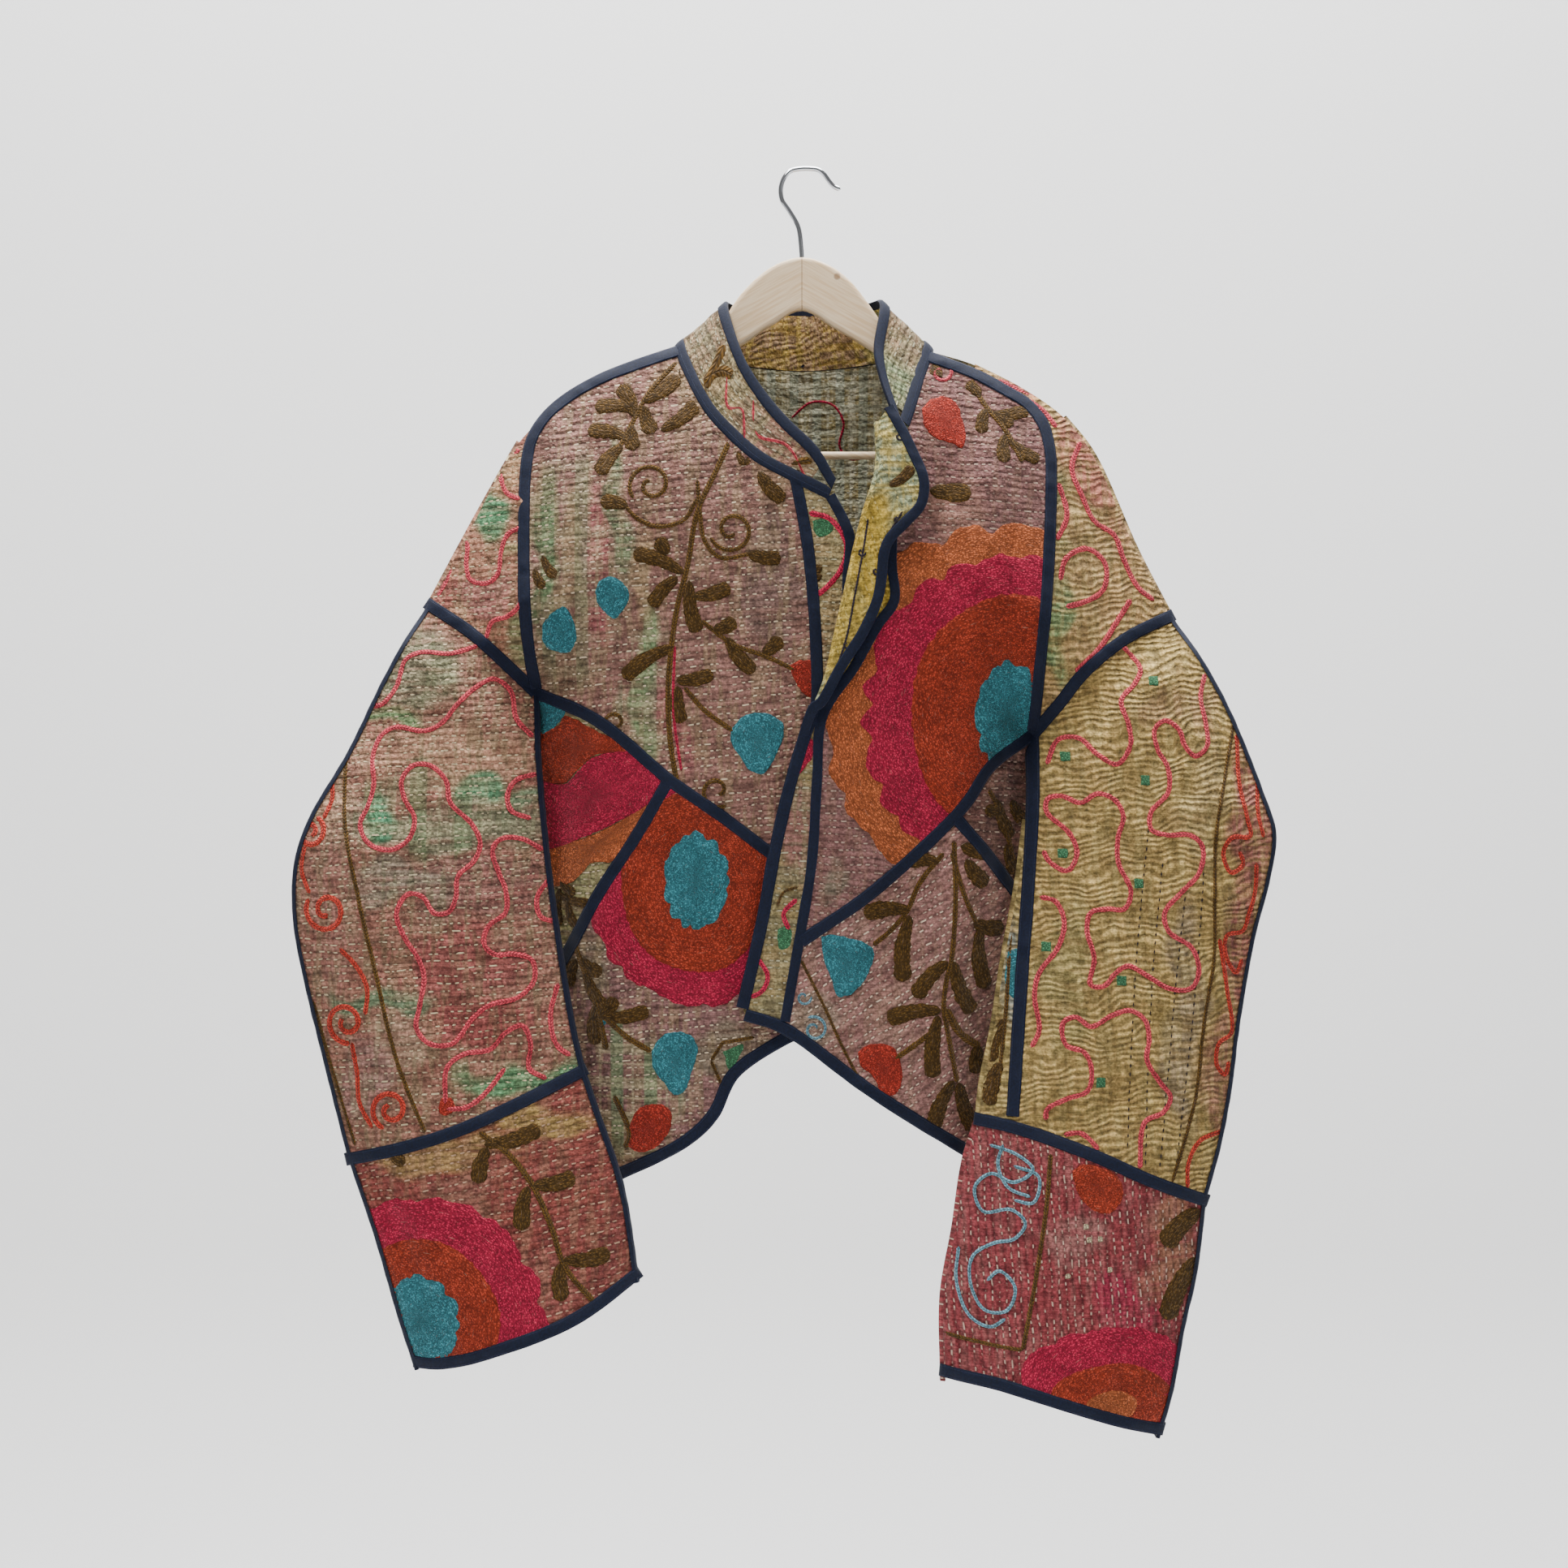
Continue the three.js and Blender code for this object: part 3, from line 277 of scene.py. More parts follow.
CREASES: dict[str, tuple[Fold, ...]] = {
    "bodyFront": (
        ((-202, -218), (-205, -306), 12, -2.6), ((-191, -193), (-185, -268), 14, 2.0),
        ((-163, -218), (-171, -306), 11, -2.2), ((-148, -243), (-141, -318), 12, 1.6),
        ((-122, -162), (-148, -218), 12, -1.8), ((-185, -306), (-148, -399), 12, -1.9),
        ((-160, -306), (-122, -418), 10, 1.6), ((-129, -268), (-113, -343), 10, -1.4),
        ((-60, -218), (-66, -306), 12, -1.4), ((-35, -243), (-29, -343), 11, 1.5),
        ((-22, -306), (-35, -381), 10, -1.2), ((-79, -431), (-41, -481), 12, -1.5),
        ((-185, -443), (-191, -531), 12, -2.4), ((-160, -431), (-141, -493), 10, 1.2),
        ((-135, -531), (-160, -587), 12, 1.4), ((-60, -493), (-57, -587), 16, -1.8),
        ((-41, -543), (-48, -618), 10, 1.6), ((-172, -618), (-148, -743), 12, -2.4),
        ((-148, -606), (-129, -699), 11, 1.6), ((-104, -643), (-91, -706), 12, -1.5),
        ((-79, -637), (-60, -674), 9, 1.2),
        ((115, -168), (109, -256), 12, -1.6), ((134, -218), (128, -306), 12, 1.6),
        ((159, -243), (152, -343), 12, -2.2), ((171, -306), (170, -406), 10, 1.8),
        ((84, -306), (59, -406), 14, -1.6), ((102, -343), (96, -468), 12, 1.3),
        ((28, -431), (40, -518), 10, -1.3), ((65, -468), (78, -518), 10, 1.2),
        ((146, -493), (140, -543), 10, -1.8), ((128, -556), (121, -681), 12, -2.2),
        ((115, -606), (102, -699), 10, 1.5), ((40, -606), (52, -668), 12, -1.3),
        ((65, -643), (90, -718), 10, 1.2), ((9, -612), (15, -656), 8, 1.0),
        ((-7, -587), (-7, -656), 8, -1.2),
    ),
    "bodyBack": (
        ((-180, -260), (-150, -420), 16, -2.4), ((-130, -230), (-110, -380), 14, 2.0),
        ((-70, -250), (-72, -430), 15, -1.8), ((-20, -210), (-24, -360), 13, 1.6),
        ((50, -230), (46, -400), 15, -2.0), ((120, -240), (104, -420), 14, 2.1),
        ((150, -330), (140, -520), 13, -2.2), ((-170, -520), (-150, -740), 15, 2.3),
        ((-90, -480), (-84, -690), 14, -2.1), ((-30, -450), (-26, -620), 13, 1.7),
        ((60, -480), (56, -660), 15, 2.0), ((126, -560), (112, -720), 13, -2.0),
    ),
    "sleeveR": (
        ((-248, -218), (-272, -306), 12, -2.0), ((-222, -256), (-241, -343), 11, 1.7),
        ((-272, -331), (-222, -368), 10, -1.5), ((-329, -387), (-272, -368), 11, 1.4),
        ((-341, -431), (-272, -418), 10, -1.7), ((-360, -456), (-298, -468), 10, 1.8),
        ((-376, -484), (-322, -478), 9, -2.2), ((-382, -512), (-329, -524), 10, 1.8),
        ((-384, -540), (-338, -556), 9, -1.9), ((-379, -568), (-341, -587), 9, 1.4),
        ((-272, -431), (-216, -456), 11, -1.6), ((-298, -481), (-222, -493), 11, 1.5),
        ((-310, -531), (-235, -521), 10, -1.4), ((-260, -562), (-198, -549), 10, 1.4),
        ((-329, -599), (-272, -618), 12, -1.6), ((-248, -606), (-191, -593), 10, -1.6),
        ((-354, -631), (-298, -656), 11, 1.5), ((-285, -662), (-216, -643), 11, 1.6),
        ((-335, -687), (-260, -699), 10, -1.4), ((-248, -693), (-185, -668), 9, -1.5),
        ((-322, -768), (-285, -843), 13, -2.0), ((-248, -743), (-235, -843), 13, 1.8),
        ((-198, -737), (-185, -831), 12, -1.8), ((-160, -718), (-148, -818), 11, 1.4),
    ),
    "sleeveL": (
        ((215, -218), (234, -306), 12, -2.0), ((196, -268), (209, -343), 11, 1.6),
        ((252, -293), (215, -362), 10, -1.4), ((252, -387), (302, -418), 11, 1.5),
        ((265, -449), (328, -462), 10, -1.7), ((278, -493), (340, -487), 10, 2.0),
        ((290, -518), (343, -524), 9, -2.2), ((284, -549), (337, -562), 10, 1.8),
        ((278, -587), (328, -593), 9, -1.6), ((190, -418), (240, -468), 12, -1.4),
        ((209, -468), (265, -531), 10, 1.3), ((190, -506), (246, -574), 10, -1.3),
        ((202, -574), (252, -637), 11, 1.4), ((178, -606), (221, -668), 10, -1.4),
        ((252, -631), (302, -662), 10, 1.5), ((240, -674), (284, -724), 10, -1.5),
        ((184, -674), (209, -724), 9, 1.3), ((271, -556), (252, -743), 16, 1.8),
        ((140, -756), (128, -893), 12, -1.6), ((190, -756), (190, -881), 13, 1.6),
        ((240, -774), (228, -918), 12, -1.8), ((265, -787), (259, -868), 10, 1.3),
    ),
}


def smooth(t: Array) -> Array:
    """Soft step from 0 to 1.

    Args:
        t: where to evaluate it.

    Returns:
        The step's value at each t.
    """
    u = np.clip(t, 0.0, 1.0)
    return u * u * (3 - 2 * u)


def wave(x: Array, z: Array, size: float, seed: int) -> Array:
    """A soft uneven pattern of crossing waves, the same each time.

    Args:
        x, z: places on the cloth.
        size: rough length of a wave.
        seed: picks the pattern.

    Returns:
        Values from about -1 to 1.
    """
    rng = np.random.default_rng(seed)
    total = np.zeros_like(x, dtype=float)
    for _ in range(7):
        turn, phase, scale = rng.uniform(0, math.tau), rng.uniform(0, math.tau), rng.uniform(0.6, 1.7)
        k = math.tau / (size * scale)
        total += np.sin(k * (x * math.cos(turn) + z * math.sin(turn)) + phase)
    return total / 3.5


def to_line(line: Line, x: Array, z: Array) -> tuple[Array, Array]:
    """Distance from points to a line, and on which side of it they lie.

    Args:
        line: the line's points.
        x, z: the points.

    Returns:
        Distances and signs. The sign is 1 left of the line's direction and past its ends.
    """
    best, sign = np.full(np.shape(x), np.inf), np.ones(np.shape(x))
    last = len(line) - 2
    for i, (a, b) in enumerate(zip(line[:-1], line[1:])):
        dx, dz = b[0] - a[0], b[1] - a[1]
        t = ((x - a[0]) * dx + (z - a[1]) * dz) / (dx * dx + dz * dz)
        u = np.clip(t, 0, 1)
        d = np.hypot(x - a[0] - u * dx, z - a[1] - u * dz)
        side = np.where(dx * (z - a[1]) - dz * (x - a[0]) >= 0, 1.0, -1.0)
        beyond = ((i == 0) & (t < 0)) | ((i == last) & (t > 1))
        side = np.where(beyond, 0.0, side)
        near = d < best
        best, sign = np.where(near, d, best), np.where(near, side, sign)
    return best, sign


def inside(line: Line, turn: int, x: Array, z: Array) -> Array:
    """Signed distance to a closed edge, negative on its far side."""
    d, sign = to_line(line, x, z)
    return d * np.where(sign == 0, 1.0, sign * turn)


def rise(d: Array, reach: float | Array) -> Array:
    """Share of the full depth reached at a distance from a closed edge."""
    t = np.clip(np.abs(d) / reach, 0, np.where(d < 0, 0.12, 1.0))
    return np.sign(d) * (1 - (1 - t) ** 2) ** 0.9


def curve(points: Sequence[Sequence[float]], per: int = 10) -> Array:
    """Points on a centripetal curve through the given ones, in two or three dimensions."""
    p = np.array(points, float)
    p = np.vstack([2 * p[0] - p[1], p, 2 * p[-1] - p[-2]])
    out = []
    for i in range(1, len(p) - 2):
        p0, p1, p2, p3 = p[i - 1 : i + 3]
        d0, d1, d2 = (max(np.linalg.norm(b - a) ** 0.5, 1e-3) for a, b in ((p0, p1), (p1, p2), (p2, p3)))
        t1 = ((p1 - p0) / d0 - (p2 - p0) / (d0 + d1) + (p2 - p1) / d1) * d1
        t2 = ((p2 - p1) / d1 - (p3 - p1) / (d1 + d2) + (p3 - p2) / d2) * d1
        t = np.linspace(0, 1, per, endpoint=False)[:, None]
        c2, c3 = -3 * p1 + 3 * p2 - 2 * t1 - t2, 2 * p1 - 2 * p2 + t1 + t2
        out.append(p1 + t1 * t + c2 * t * t + c3 * t**3)
    out.append(p[-2][None])
    return np.vstack(out)


def lengths(path: Array) -> Array:
    """How far along a path each of its points lies."""
    return np.concatenate([[0], np.cumsum(np.linalg.norm(np.diff(path, axis=0), axis=1))])

def beside(run: Array, across: float) -> Array:
    """The u and v of points along a strip, all at one place across it."""
    return np.stack([run, np.full(len(run), across)], axis=-1)

def spaced(points: Array, step: float, smooth_it: bool = True) -> Array:
    """Evenly spaced points along a curve through the given ones."""
    p = curve(points) if smooth_it and len(points) > 2 else np.array(points, float)
    along = lengths(p)
    at = np.linspace(0, along[-1], max(2, round(along[-1] / step) + 1))
    return np.stack([np.interp(at, along, p[:, k]) for k in range(p.shape[1])], axis=1)


def normals(path: Array, closed: bool = False) -> Array:
    """Unit normals of a flat path, to the left of its direction."""
    if closed:
        d = np.roll(path, -1, 0) - np.roll(path, 1, 0)
    else:
        d = np.gradient(path, axis=0)
    d /= np.maximum(np.linalg.norm(d, axis=1, keepdims=True), 1e-9)
    return np.stack([-d[:, 1], d[:, 0]], axis=1)


def fold_lift(folds: Sequence[Fold], x: Array, z: Array) -> Array:
    """Height of all the folds in a table at points on the cloth."""
    y = np.zeros(np.shape(x))
    for start, end, width, lift in folds:
        d, _ = to_line((start, end), x, z)
        y += lift * np.exp(-2 * (d / width) ** 2)
    return y


def within(polygon: Array, x: Array, z: Array) -> Array:
    """True for points inside a closed polygon."""
    hit = np.zeros(np.shape(x), bool)
    for a, b in zip(polygon, np.roll(polygon, -1, 0)):
        cross = (a[1] > z) != (b[1] > z)
        if a[1] != b[1]:
            hit ^= cross & (x < (b[0] - a[0]) * (z - a[1]) / (b[1] - a[1]) + a[0])
    return hit


SOFT_EDGE: dict[str, Array] = {
    k: spaced(LINE[k], 14) for k in ("outerR", "outerL", "sideR", "sideL", "innerR", "innerL")
}


class Shape:
    """The garment's bare surfaces, before small creases."""

    @staticmethod
    def lean(z: Array) -> Array:
        """How far the cloth swings back below the underarms."""
        return 0.03 * np.maximum(0, -420 - z)

    @staticmethod
    def pressed(x: Array, z: Array) -> Array:
        """How far the sleeves press the body's sides back."""
        out = np.zeros(np.shape(x))
        for side, top in (("sideR", LINE["sideR"][0][1]), ("sideL", LINE["sideL"][0][1])):
            d, _ = to_line(SOFT_EDGE[side], x, z)
            mine = (x < 0) == (side == "sideR")
            out += np.where(mine, 10 * smooth((top - z) / 24) * np.exp(-((d / 35) ** 2)), 0)
        return out

    @classmethod
    def body(cls, x: Array, z: Array, face: Face) -> Array:
        """The body's front or back."""
        edges = (("outerR", 1), ("outerL", -1), ("sideR", 1), ("sideL", -1))
        d = np.min([inside(SOFT_EDGE[k], turn, x, z) for k, turn in edges], axis=0)
        key = "bodyFront" if face is Face.FRONT else "bodyBack"
        folds = fold_lift(MAIN_FOLDS[key], x, z) * smooth(d / 40)
        folds += fold_lift(CREASES[key], x, z) * smooth(d / 16)
        folds += 0.55 * wave(x, z * 1.8, 26, 3) * smooth(d / 12)
        depth = S.edge_half + S.depth * rise(d, S.reach)
        return cls.lean(z) + cls.pressed(x, z) + face.value * (depth + folds)

    @classmethod
    def sleeve(cls, x: Array, z: Array, side: Side, face: Face) -> Array:
        """A sleeve's front or back, with the dropped shoulder above it."""
        s = side.name
        seam, armhole = LINE[f"drop{s}"], 212 if side is Side.R else 176
        (ax, az), (bx, bz) = seam[0], seam[-1]
        below = np.maximum(0, az + (bz - az) * (x - ax) / (bx - ax) - z)
        body = (1 - smooth(below / 120)) * (1 - smooth((np.abs(x) - armhole) / 90))
        depth = S.sleeve_front if face is Face.FRONT else S.sleeve_back
        full, reach = depth + (S.depth - depth) * body, S.sleeve_reach + (S.reach - S.sleeve_reach) * body
        turn = 1 if side is Side.R else -1
        d = np.minimum(inside(SOFT_EDGE[f"outer{s}"], turn, x, z), inside(SOFT_EDGE[f"inner{s}"], -turn, x, z))
        share = 1.0 if face is Face.FRONT else -0.7
        folds = fold_lift(MAIN_FOLDS[f"sleeve{s}"], x, z) * smooth(d / 40) * share
        folds += fold_lift(CREASES[f"sleeve{s}"], x, z) * smooth(d / 14) * share
        folds += 0.6 * wave(x * 0.8, z * 2.0, 24, 5 + side.value + face.value * 3) * smooth(d / 10)
        forward = S.forward_step * smooth(below / 52) + S.forward_slope * below
        half = S.edge_half + full * rise(d, reach) + folds
        return cls.lean(z) * (1 - smooth(below / 200)) - forward + face.value * half


class Surface:
    """A sheet's inner face, sampled once on a grid and then looked up."""

    def __init__(self, function: Callable[[Array, Array], Array], face: Face, box: Sequence[float]) -> None:
        """Samples the function.

        Args:
            function: y at arrays of x and z.
            face: which way the outer face looks.
            box: x0, z0, x1, z1 that the samples cover.
        """
        x0, z0, x1, z1 = box
        self.x = np.arange(x0, x1 + S.field, S.field)
        self.z = np.arange(z0, z1 + S.field, S.field)
        self.face = face
        self.y = function(*np.meshgrid(self.x, self.z))
        gz, gx = np.gradient(self.y, S.field)
        self.slant = np.minimum(1.6, np.sqrt(1 + gx * gx + gz * gz))

    def _look(self, grid: Array, x: Array, z: Array) -> Array:
        """A grid's value between its samples."""
        fx = np.clip((x - self.x[0]) / S.field, 0, len(self.x) - 1.001)
        fz = np.clip((z - self.z[0]) / S.field, 0, len(self.z) - 1.001)
        i, k = fx.astype(int), fz.astype(int)
        u, v = fx - i, fz - k
        return (
            grid[k, i] * (1 - u) * (1 - v) + grid[k, i + 1] * u * (1 - v)
            + grid[k + 1, i] * (1 - u) * v + grid[k + 1, i + 1] * u * v
        )

    def value(self, x: Array, z: Array) -> Array:
        """The sampled function at points on the cloth."""
        return self._look(self.y, x, z)

    def place(self, x: Array, z: Array, lift: float | Array) -> Array:
        """Points at a height over the inner face.

        Args:
            x, z: places on the cloth.
            lift: height over the inner face, square to the cloth.

        Returns:
            One row of x, y, z for each point.
        """
        x, z = np.asarray(x, float), np.asarray(z, float)
        y = self._look(self.y, x, z) + self.face.value * lift * self._look(self.slant, x, z)
        return np.stack([x, y, z], axis=-1)


BODY_BOX, BOX_R, BOX_L = (-240, -830, 210, -110), (-400, -930, -110, -120), (80, -980, 365, -120)


def left_front(x: Array, z: Array) -> Array:
    """The left front's inner face, which laps over the right front."""
    return Shape.body(x, z, Face.FRONT) - S.overlap * smooth((96 - x) / 66)


def turned(x: Array, z: Array) -> Array:
    """The turned-out band's inner face, which meets the left front at its foot."""
    share = smooth((z + 440) / 44)
    return left_front(x, z) - share * (S.cloth + S.lapel_lift)


class Surfaces:
    """All the surfaces of the garment."""

    def __init__(self) -> None:
        self.bf = Surface(lambda x, z: Shape.body(x, z, Face.FRONT), Face.FRONT, BODY_BOX)
        self.bb = Surface(lambda x, z: Shape.body(x, z, Face.BACK), Face.BACK, BODY_BOX)
        self.lf = Surface(left_front, Face.FRONT, BODY_BOX)
        self.lp = Surface(turned, Face.FRONT, BODY_BOX)
        for side, box in ((Side.R, BOX_R), (Side.L, BOX_L)):
            for face in Face:
                name = f"s{face.name[0].lower()}{side.name.lower()}"
                setattr(self, name, Surface(
                    lambda x, z, s=side, f=face: Shape.sleeve(x, z, s, f), face, box))


@dataclass
class Body:
    """Points, faces and their attributes, gathered before a mesh is made."""

    points: list[Array] = field(default_factory=list)
    faces: list[tuple[int, ...]] = field(default_factory=list)
    uvs: list[Array] = field(default_factory=list)
    dyes: list[Array] = field(default_factory=list)
    slots: list[int] = field(default_factory=list)
    count: int = 0

    def add(self, points: Array, faces: Sequence[Sequence[int]], uv: Array, dye: Array, slot: int = 0) -> None:
        """Adds points and the faces between them.

        Args:
            points: one row of x, y, z for each point, in millimetres.
            faces: rows of point numbers.
            uv: one row of u, v for each point, in millimetres.
            dye: one row of red, green, blue and mask for each point, or one row for all.
            slot: the faces' material.
        """
        self.points.append(np.asarray(points, float))
        self.uvs.append(np.asarray(uv, float))
        self.dyes.append(np.broadcast_to(np.asarray(dye, float), (len(points), 4)))
        self.faces += [tuple(int(i) + self.count for i in f) for f in faces]
        self.slots += [slot] * len(faces)
        self.count += len(points)

    def grid(self, rows: Array, uv: Array, dye: Array, around: bool = False, caps: bool = False,
             keep: Array | None = None, flip: bool = False) -> None:
        """Adds a lattice of quads.

        Args:
            rows: points as rows by columns by three.
            uv: u and v as rows by columns by two.
            dye: colour and mask, for each point or for all.
            around: the columns close into a ring.
            caps: the first and last row are closed.
            keep: for each quad, whether it is made.
            flip: turns the faces round.
        """
        n, m = rows.shape[:2]
        faces = []
        for i in range(n - 1):
            for j in range(m if around else m - 1):
                if keep is None or keep[i, j % keep.shape[1]]:
                    k = (j + 1) % m
                    f = (i * m + j, i * m + k, (i + 1) * m + k, (i + 1) * m + j)
                    faces.append(f[::-1] if flip else f)
        if caps:
            ends = [tuple(range(m))[::-1], tuple(range((n - 1) * m, n * m))]
            faces += [e[::-1] if flip else e for e in ends]
        d = np.asarray(dye, float)
        self.add(rows.reshape(-1, 3), faces, uv.reshape(-1, 2), d.reshape(-1, 4) if d.ndim > 2 else d)

    def build(self, name: str, materials: Sequence[bpy.types.Material], crease: float = 50) -> bpy.types.Object:
        """Makes the object.

        Args:
            name: the piece's name.
            materials: one for each slot.
            crease: faces that meet at a sharper angle than this keep a hard edge.

        Returns:
            The new object, in the scene and in the row frame.
        """
        mesh = bpy.data.meshes.new(name)
        used = np.unique([i for face in self.faces for i in face])
        points, uvs, dyes = (np.vstack(rows)[used] for rows in (self.points, self.uvs, self.dyes))
        number = np.zeros(self.count, int)
        number[used] = np.arange(len(used))
        renumbered = number.tolist()
        mesh.from_pydata((points * MM).tolist(), [], [tuple(renumbered[i] for i in face) for face in self.faces])
        mesh.polygons.foreach_set("material_index", np.array(self.slots, np.int32))
        layer = mesh.uv_layers.new(name="UVMap")
        loops = np.zeros(len(mesh.loops), np.int32)
        mesh.loops.foreach_get("vertex_index", loops)
        layer.data.foreach_set("uv", (uvs[loops] * MM * 10).ravel().astype(np.float32))
        dye = mesh.attributes.new("dye", "FLOAT_COLOR", "POINT")
        dye.data.foreach_set("color", dyes.ravel().astype(np.float32))
        for material in materials:
            mesh.materials.append(material)
        mesh.shade_smooth()
        mesh.set_sharp_from_angle(angle=math.radians(crease))
        mesh.update()
        piece = bpy.data.objects.new(name, mesh)
        bpy.context.scene.collection.objects.link(piece)
        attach(piece, "root")
        return piece


def filled(polygon: Array, step: float) -> tuple[Array, list[tuple[int, int, int]]]:
    """Triangles of even size inside a closed outline.

    Args:
        polygon: the outline's points.
        step: the triangles' edge length.

    Returns:
        The points and the triangles.
    """
    keep = [polygon[0]]
    for p in polygon[1:]:
        if np.hypot(*(p - keep[-1])) > step * 0.4:
            keep.append(p)
    while np.hypot(*(keep[-1] - keep[0])) < step * 0.4:
        keep.pop()
    edge = np.array(keep)
    lo, hi = edge.min(0), edge.max(0)
    rows = np.arange(lo[1] + step / 2, hi[1], step * 0.87)
    cols = np.arange(lo[0], hi[0], step)
    x, z = np.meshgrid(cols, rows)
    x = x + (np.arange(len(rows)) % 2)[:, None] * step / 2
    x, z = x.ravel(), z.ravel()
    ok = within(edge, x, z)
    x, z = x[ok], z[ok]
    d, _ = to_line(np.vstack([edge, edge[:1]]), x, z)
    inner = np.stack([x[d > step * 0.45], z[d > step * 0.45]], axis=1)
    points = np.vstack([edge, inner])
    ring = [(i, (i + 1) % len(edge)) for i in range(len(edge))]
    found, _, faces, *_ = delaunay_2d_cdt([Vector(p) for p in points], ring, [], 1, 0.02, False)
    out = np.array([tuple(p) for p in found])
    good = []
    for f in faces:
        a, b, c = (out[i] for i in f)
        area = (b[0] - a[0]) * (c[1] - a[1]) - (b[1] - a[1]) * (c[0] - a[0])
        if abs(area) > 1e-4:
            good.append(tuple(f) if area > 0 else tuple(f)[::-1])
    mid = out[np.array(good)].mean(1)
    hit = within(edge, mid[:, 0], mid[:, 1])
    return out, [f for f, ok_face in zip(good, hit) if ok_face]


def sheet(body: Body, surface: Surface, polygon: Array, dye: Callable[[Array, Array], Array],
          step: float = S.mesh, base: float = 0.0, slots: tuple[int, int] = (0, 0)) -> float:
    """Adds a wall of cloth inside an outline.

    Args:
        body: takes the wall.
        surface: what it follows.
        polygon: the outline as seen from the front.
        dye: colour and mask at arrays of x and z.
        step: size of the triangles.
        base: height of the wall's inner face over the surface.
        slots: materials of the outer and inner face.

    Returns:
        The outer face's area in square metres.
    """
    flat, faces = filled(polygon, step)
    x, z = flat[:, 0], flat[:, 1]
    colour = dye(x, z)
    outer, inner = surface.place(x, z, base + S.cloth), surface.place(x, z, base)
    if surface.face is Face.BACK:
        faces = [f[::-1] for f in faces]
    body.add(outer, faces, flat, colour, slots[0])
    start = body.count
    body.add(inner, [f[::-1] for f in faces], flat, colour, slots[1])
    edges: dict[tuple[int, int], int] = {}
    for f in faces:
        for a, b in zip(f, f[1:] + f[:1]):
            edges[(a, b)] = edges.get((a, b), 0) + 1
    first = start - len(flat)
    for a, b in edges:
        if (b, a) not in edges:
            body.faces.append((first + b, first + a, start + a, start + b))
            body.slots.append(slots[0])
    a, b, c = (outer[column] for column in np.array(faces).T)
    return float(np.linalg.norm(np.cross(b - a, c - a), axis=1).sum() / 2 * MM * MM)


PROFILE = ((-1.0, 0.55), (-1.0, 0.8), (-0.9, 0.93), (-0.7, 1.0), (-0.35, 1.04), (0.0, 1.06),
           (0.35, 1.04), (0.7, 1.0), (0.9, 0.93), (1.0, 0.8), (1.0, 0.55))


def tape(body: Body, surface: Surface, line: Line, width: float = S.tape_width, top: float = S.tape,
         seed: int = 0, lift: Callable[[Array], Array] | None = None) -> None:
    """Adds a folded tape along a line on the cloth, with slight puckers.

    Args:
        body: takes the tape.
        surface: what it lies on.
        line: its middle.
        width: its width.
        top: height of its top over the surface.
        seed: picks the puckers.
        lift: more height, for each point along the line.
    """
    path = spaced(line, S.along)
    n = normals(path)
    run = lengths(path)
    pucker = wave(run, run * 0, 11, seed) * 0.10 + wave(run, run * 0, 37, seed + 9) * 0.08
    half = width / 2 * (1 + 0.03 * wave(run, run * 0, 30, seed + 4))
    more = 0 if lift is None else lift(path[:, 1])
    rows, uv = [], []
    for across, height in PROFILE:
        x, z = path[:, 0] + n[:, 0] * half * across, path[:, 1] + n[:, 1] * half * across
        puff = 1 + pucker * (1 - across * across) if abs(across) < 1 else 1
        rows.append(surface.place(x, z, top * height * puff + more))
        uv.append(beside(run, across * width / 2))
    low = [surface.place(path[:, 0] + n[:, 0] * half * s, path[:, 1] + n[:, 1] * half * s, 0.3 + more)
           for s in (1, -1)]
    rows += low
    uv += [uv[-1], uv[0]]
    body.grid(np.stack(rows, 1), np.stack(uv, 1), (0, 0, 0, 0), around=True, caps=True,
              flip=surface.face is Face.BACK)


def wrap(body: Body, front: Surface, rear: Surface, line: Line, outward: int, lap: float = 1.8,
         bulge: float = 2.2, over: float = 1.1, dye: Array | None = None) -> None:
    """Adds a rounded fold round an edge where a front and a back sheet meet.

    Args:
        body: takes the fold.
        front, rear: the two sheets.
        line: the edge.
        outward: 1 if the open air lies left of the line's direction, else -1.
        lap: how far it reaches over each sheet.
        bulge: how far it stands out past the edge.
        over: how far it lies over the cloth.
        dye: colour and mask, for cloth.
    """
    path = spaced(line, 3.2)
    out = normals(path) * outward
    run = lengths(path)
    puff = 1 + 0.08 * wave(run, run * 0, 13, 3)
    front_at = front.place(path[:, 0], path[:, 1], S.cloth + over)[:, 1]
    rear_at = rear.place(path[:, 0], path[:, 1], S.cloth + over)[:, 1]
    mid, half = (front_at + rear_at) / 2, (rear_at - front_at) / 2
    rows, uv = [], []
    for s, surf in ((-1, front), (1, rear)):
        x, z = path[:, 0] - out[:, 0] * lap, path[:, 1] - out[:, 1] * lap
        side = [surf.place(x, z, S.cloth * 0.6), surf.place(x, z, S.cloth + over * 0.9)]
        arc = []
        for a in (80, 55, 28, 0) if s < 0 else (28, 55, 80):
            c, h = math.cos(math.radians(a)), math.sin(math.radians(a)) * s
            arc.append(np.stack([path[:, 0] + out[:, 0] * c * bulge * puff, mid + half * h,
                                 path[:, 1] + out[:, 1] * c * bulge * puff], axis=-1))
        rows += side + arc if s < 0 else arc + side[::-1]
    for k in range(len(rows)):
        uv.append(beside(run, k * 1.1))
    body.grid(np.stack(rows, 1), np.stack(uv, 1), (0, 0, 0, 0) if dye is None else dye, around=True,
              caps=True, flip=outward > 0)


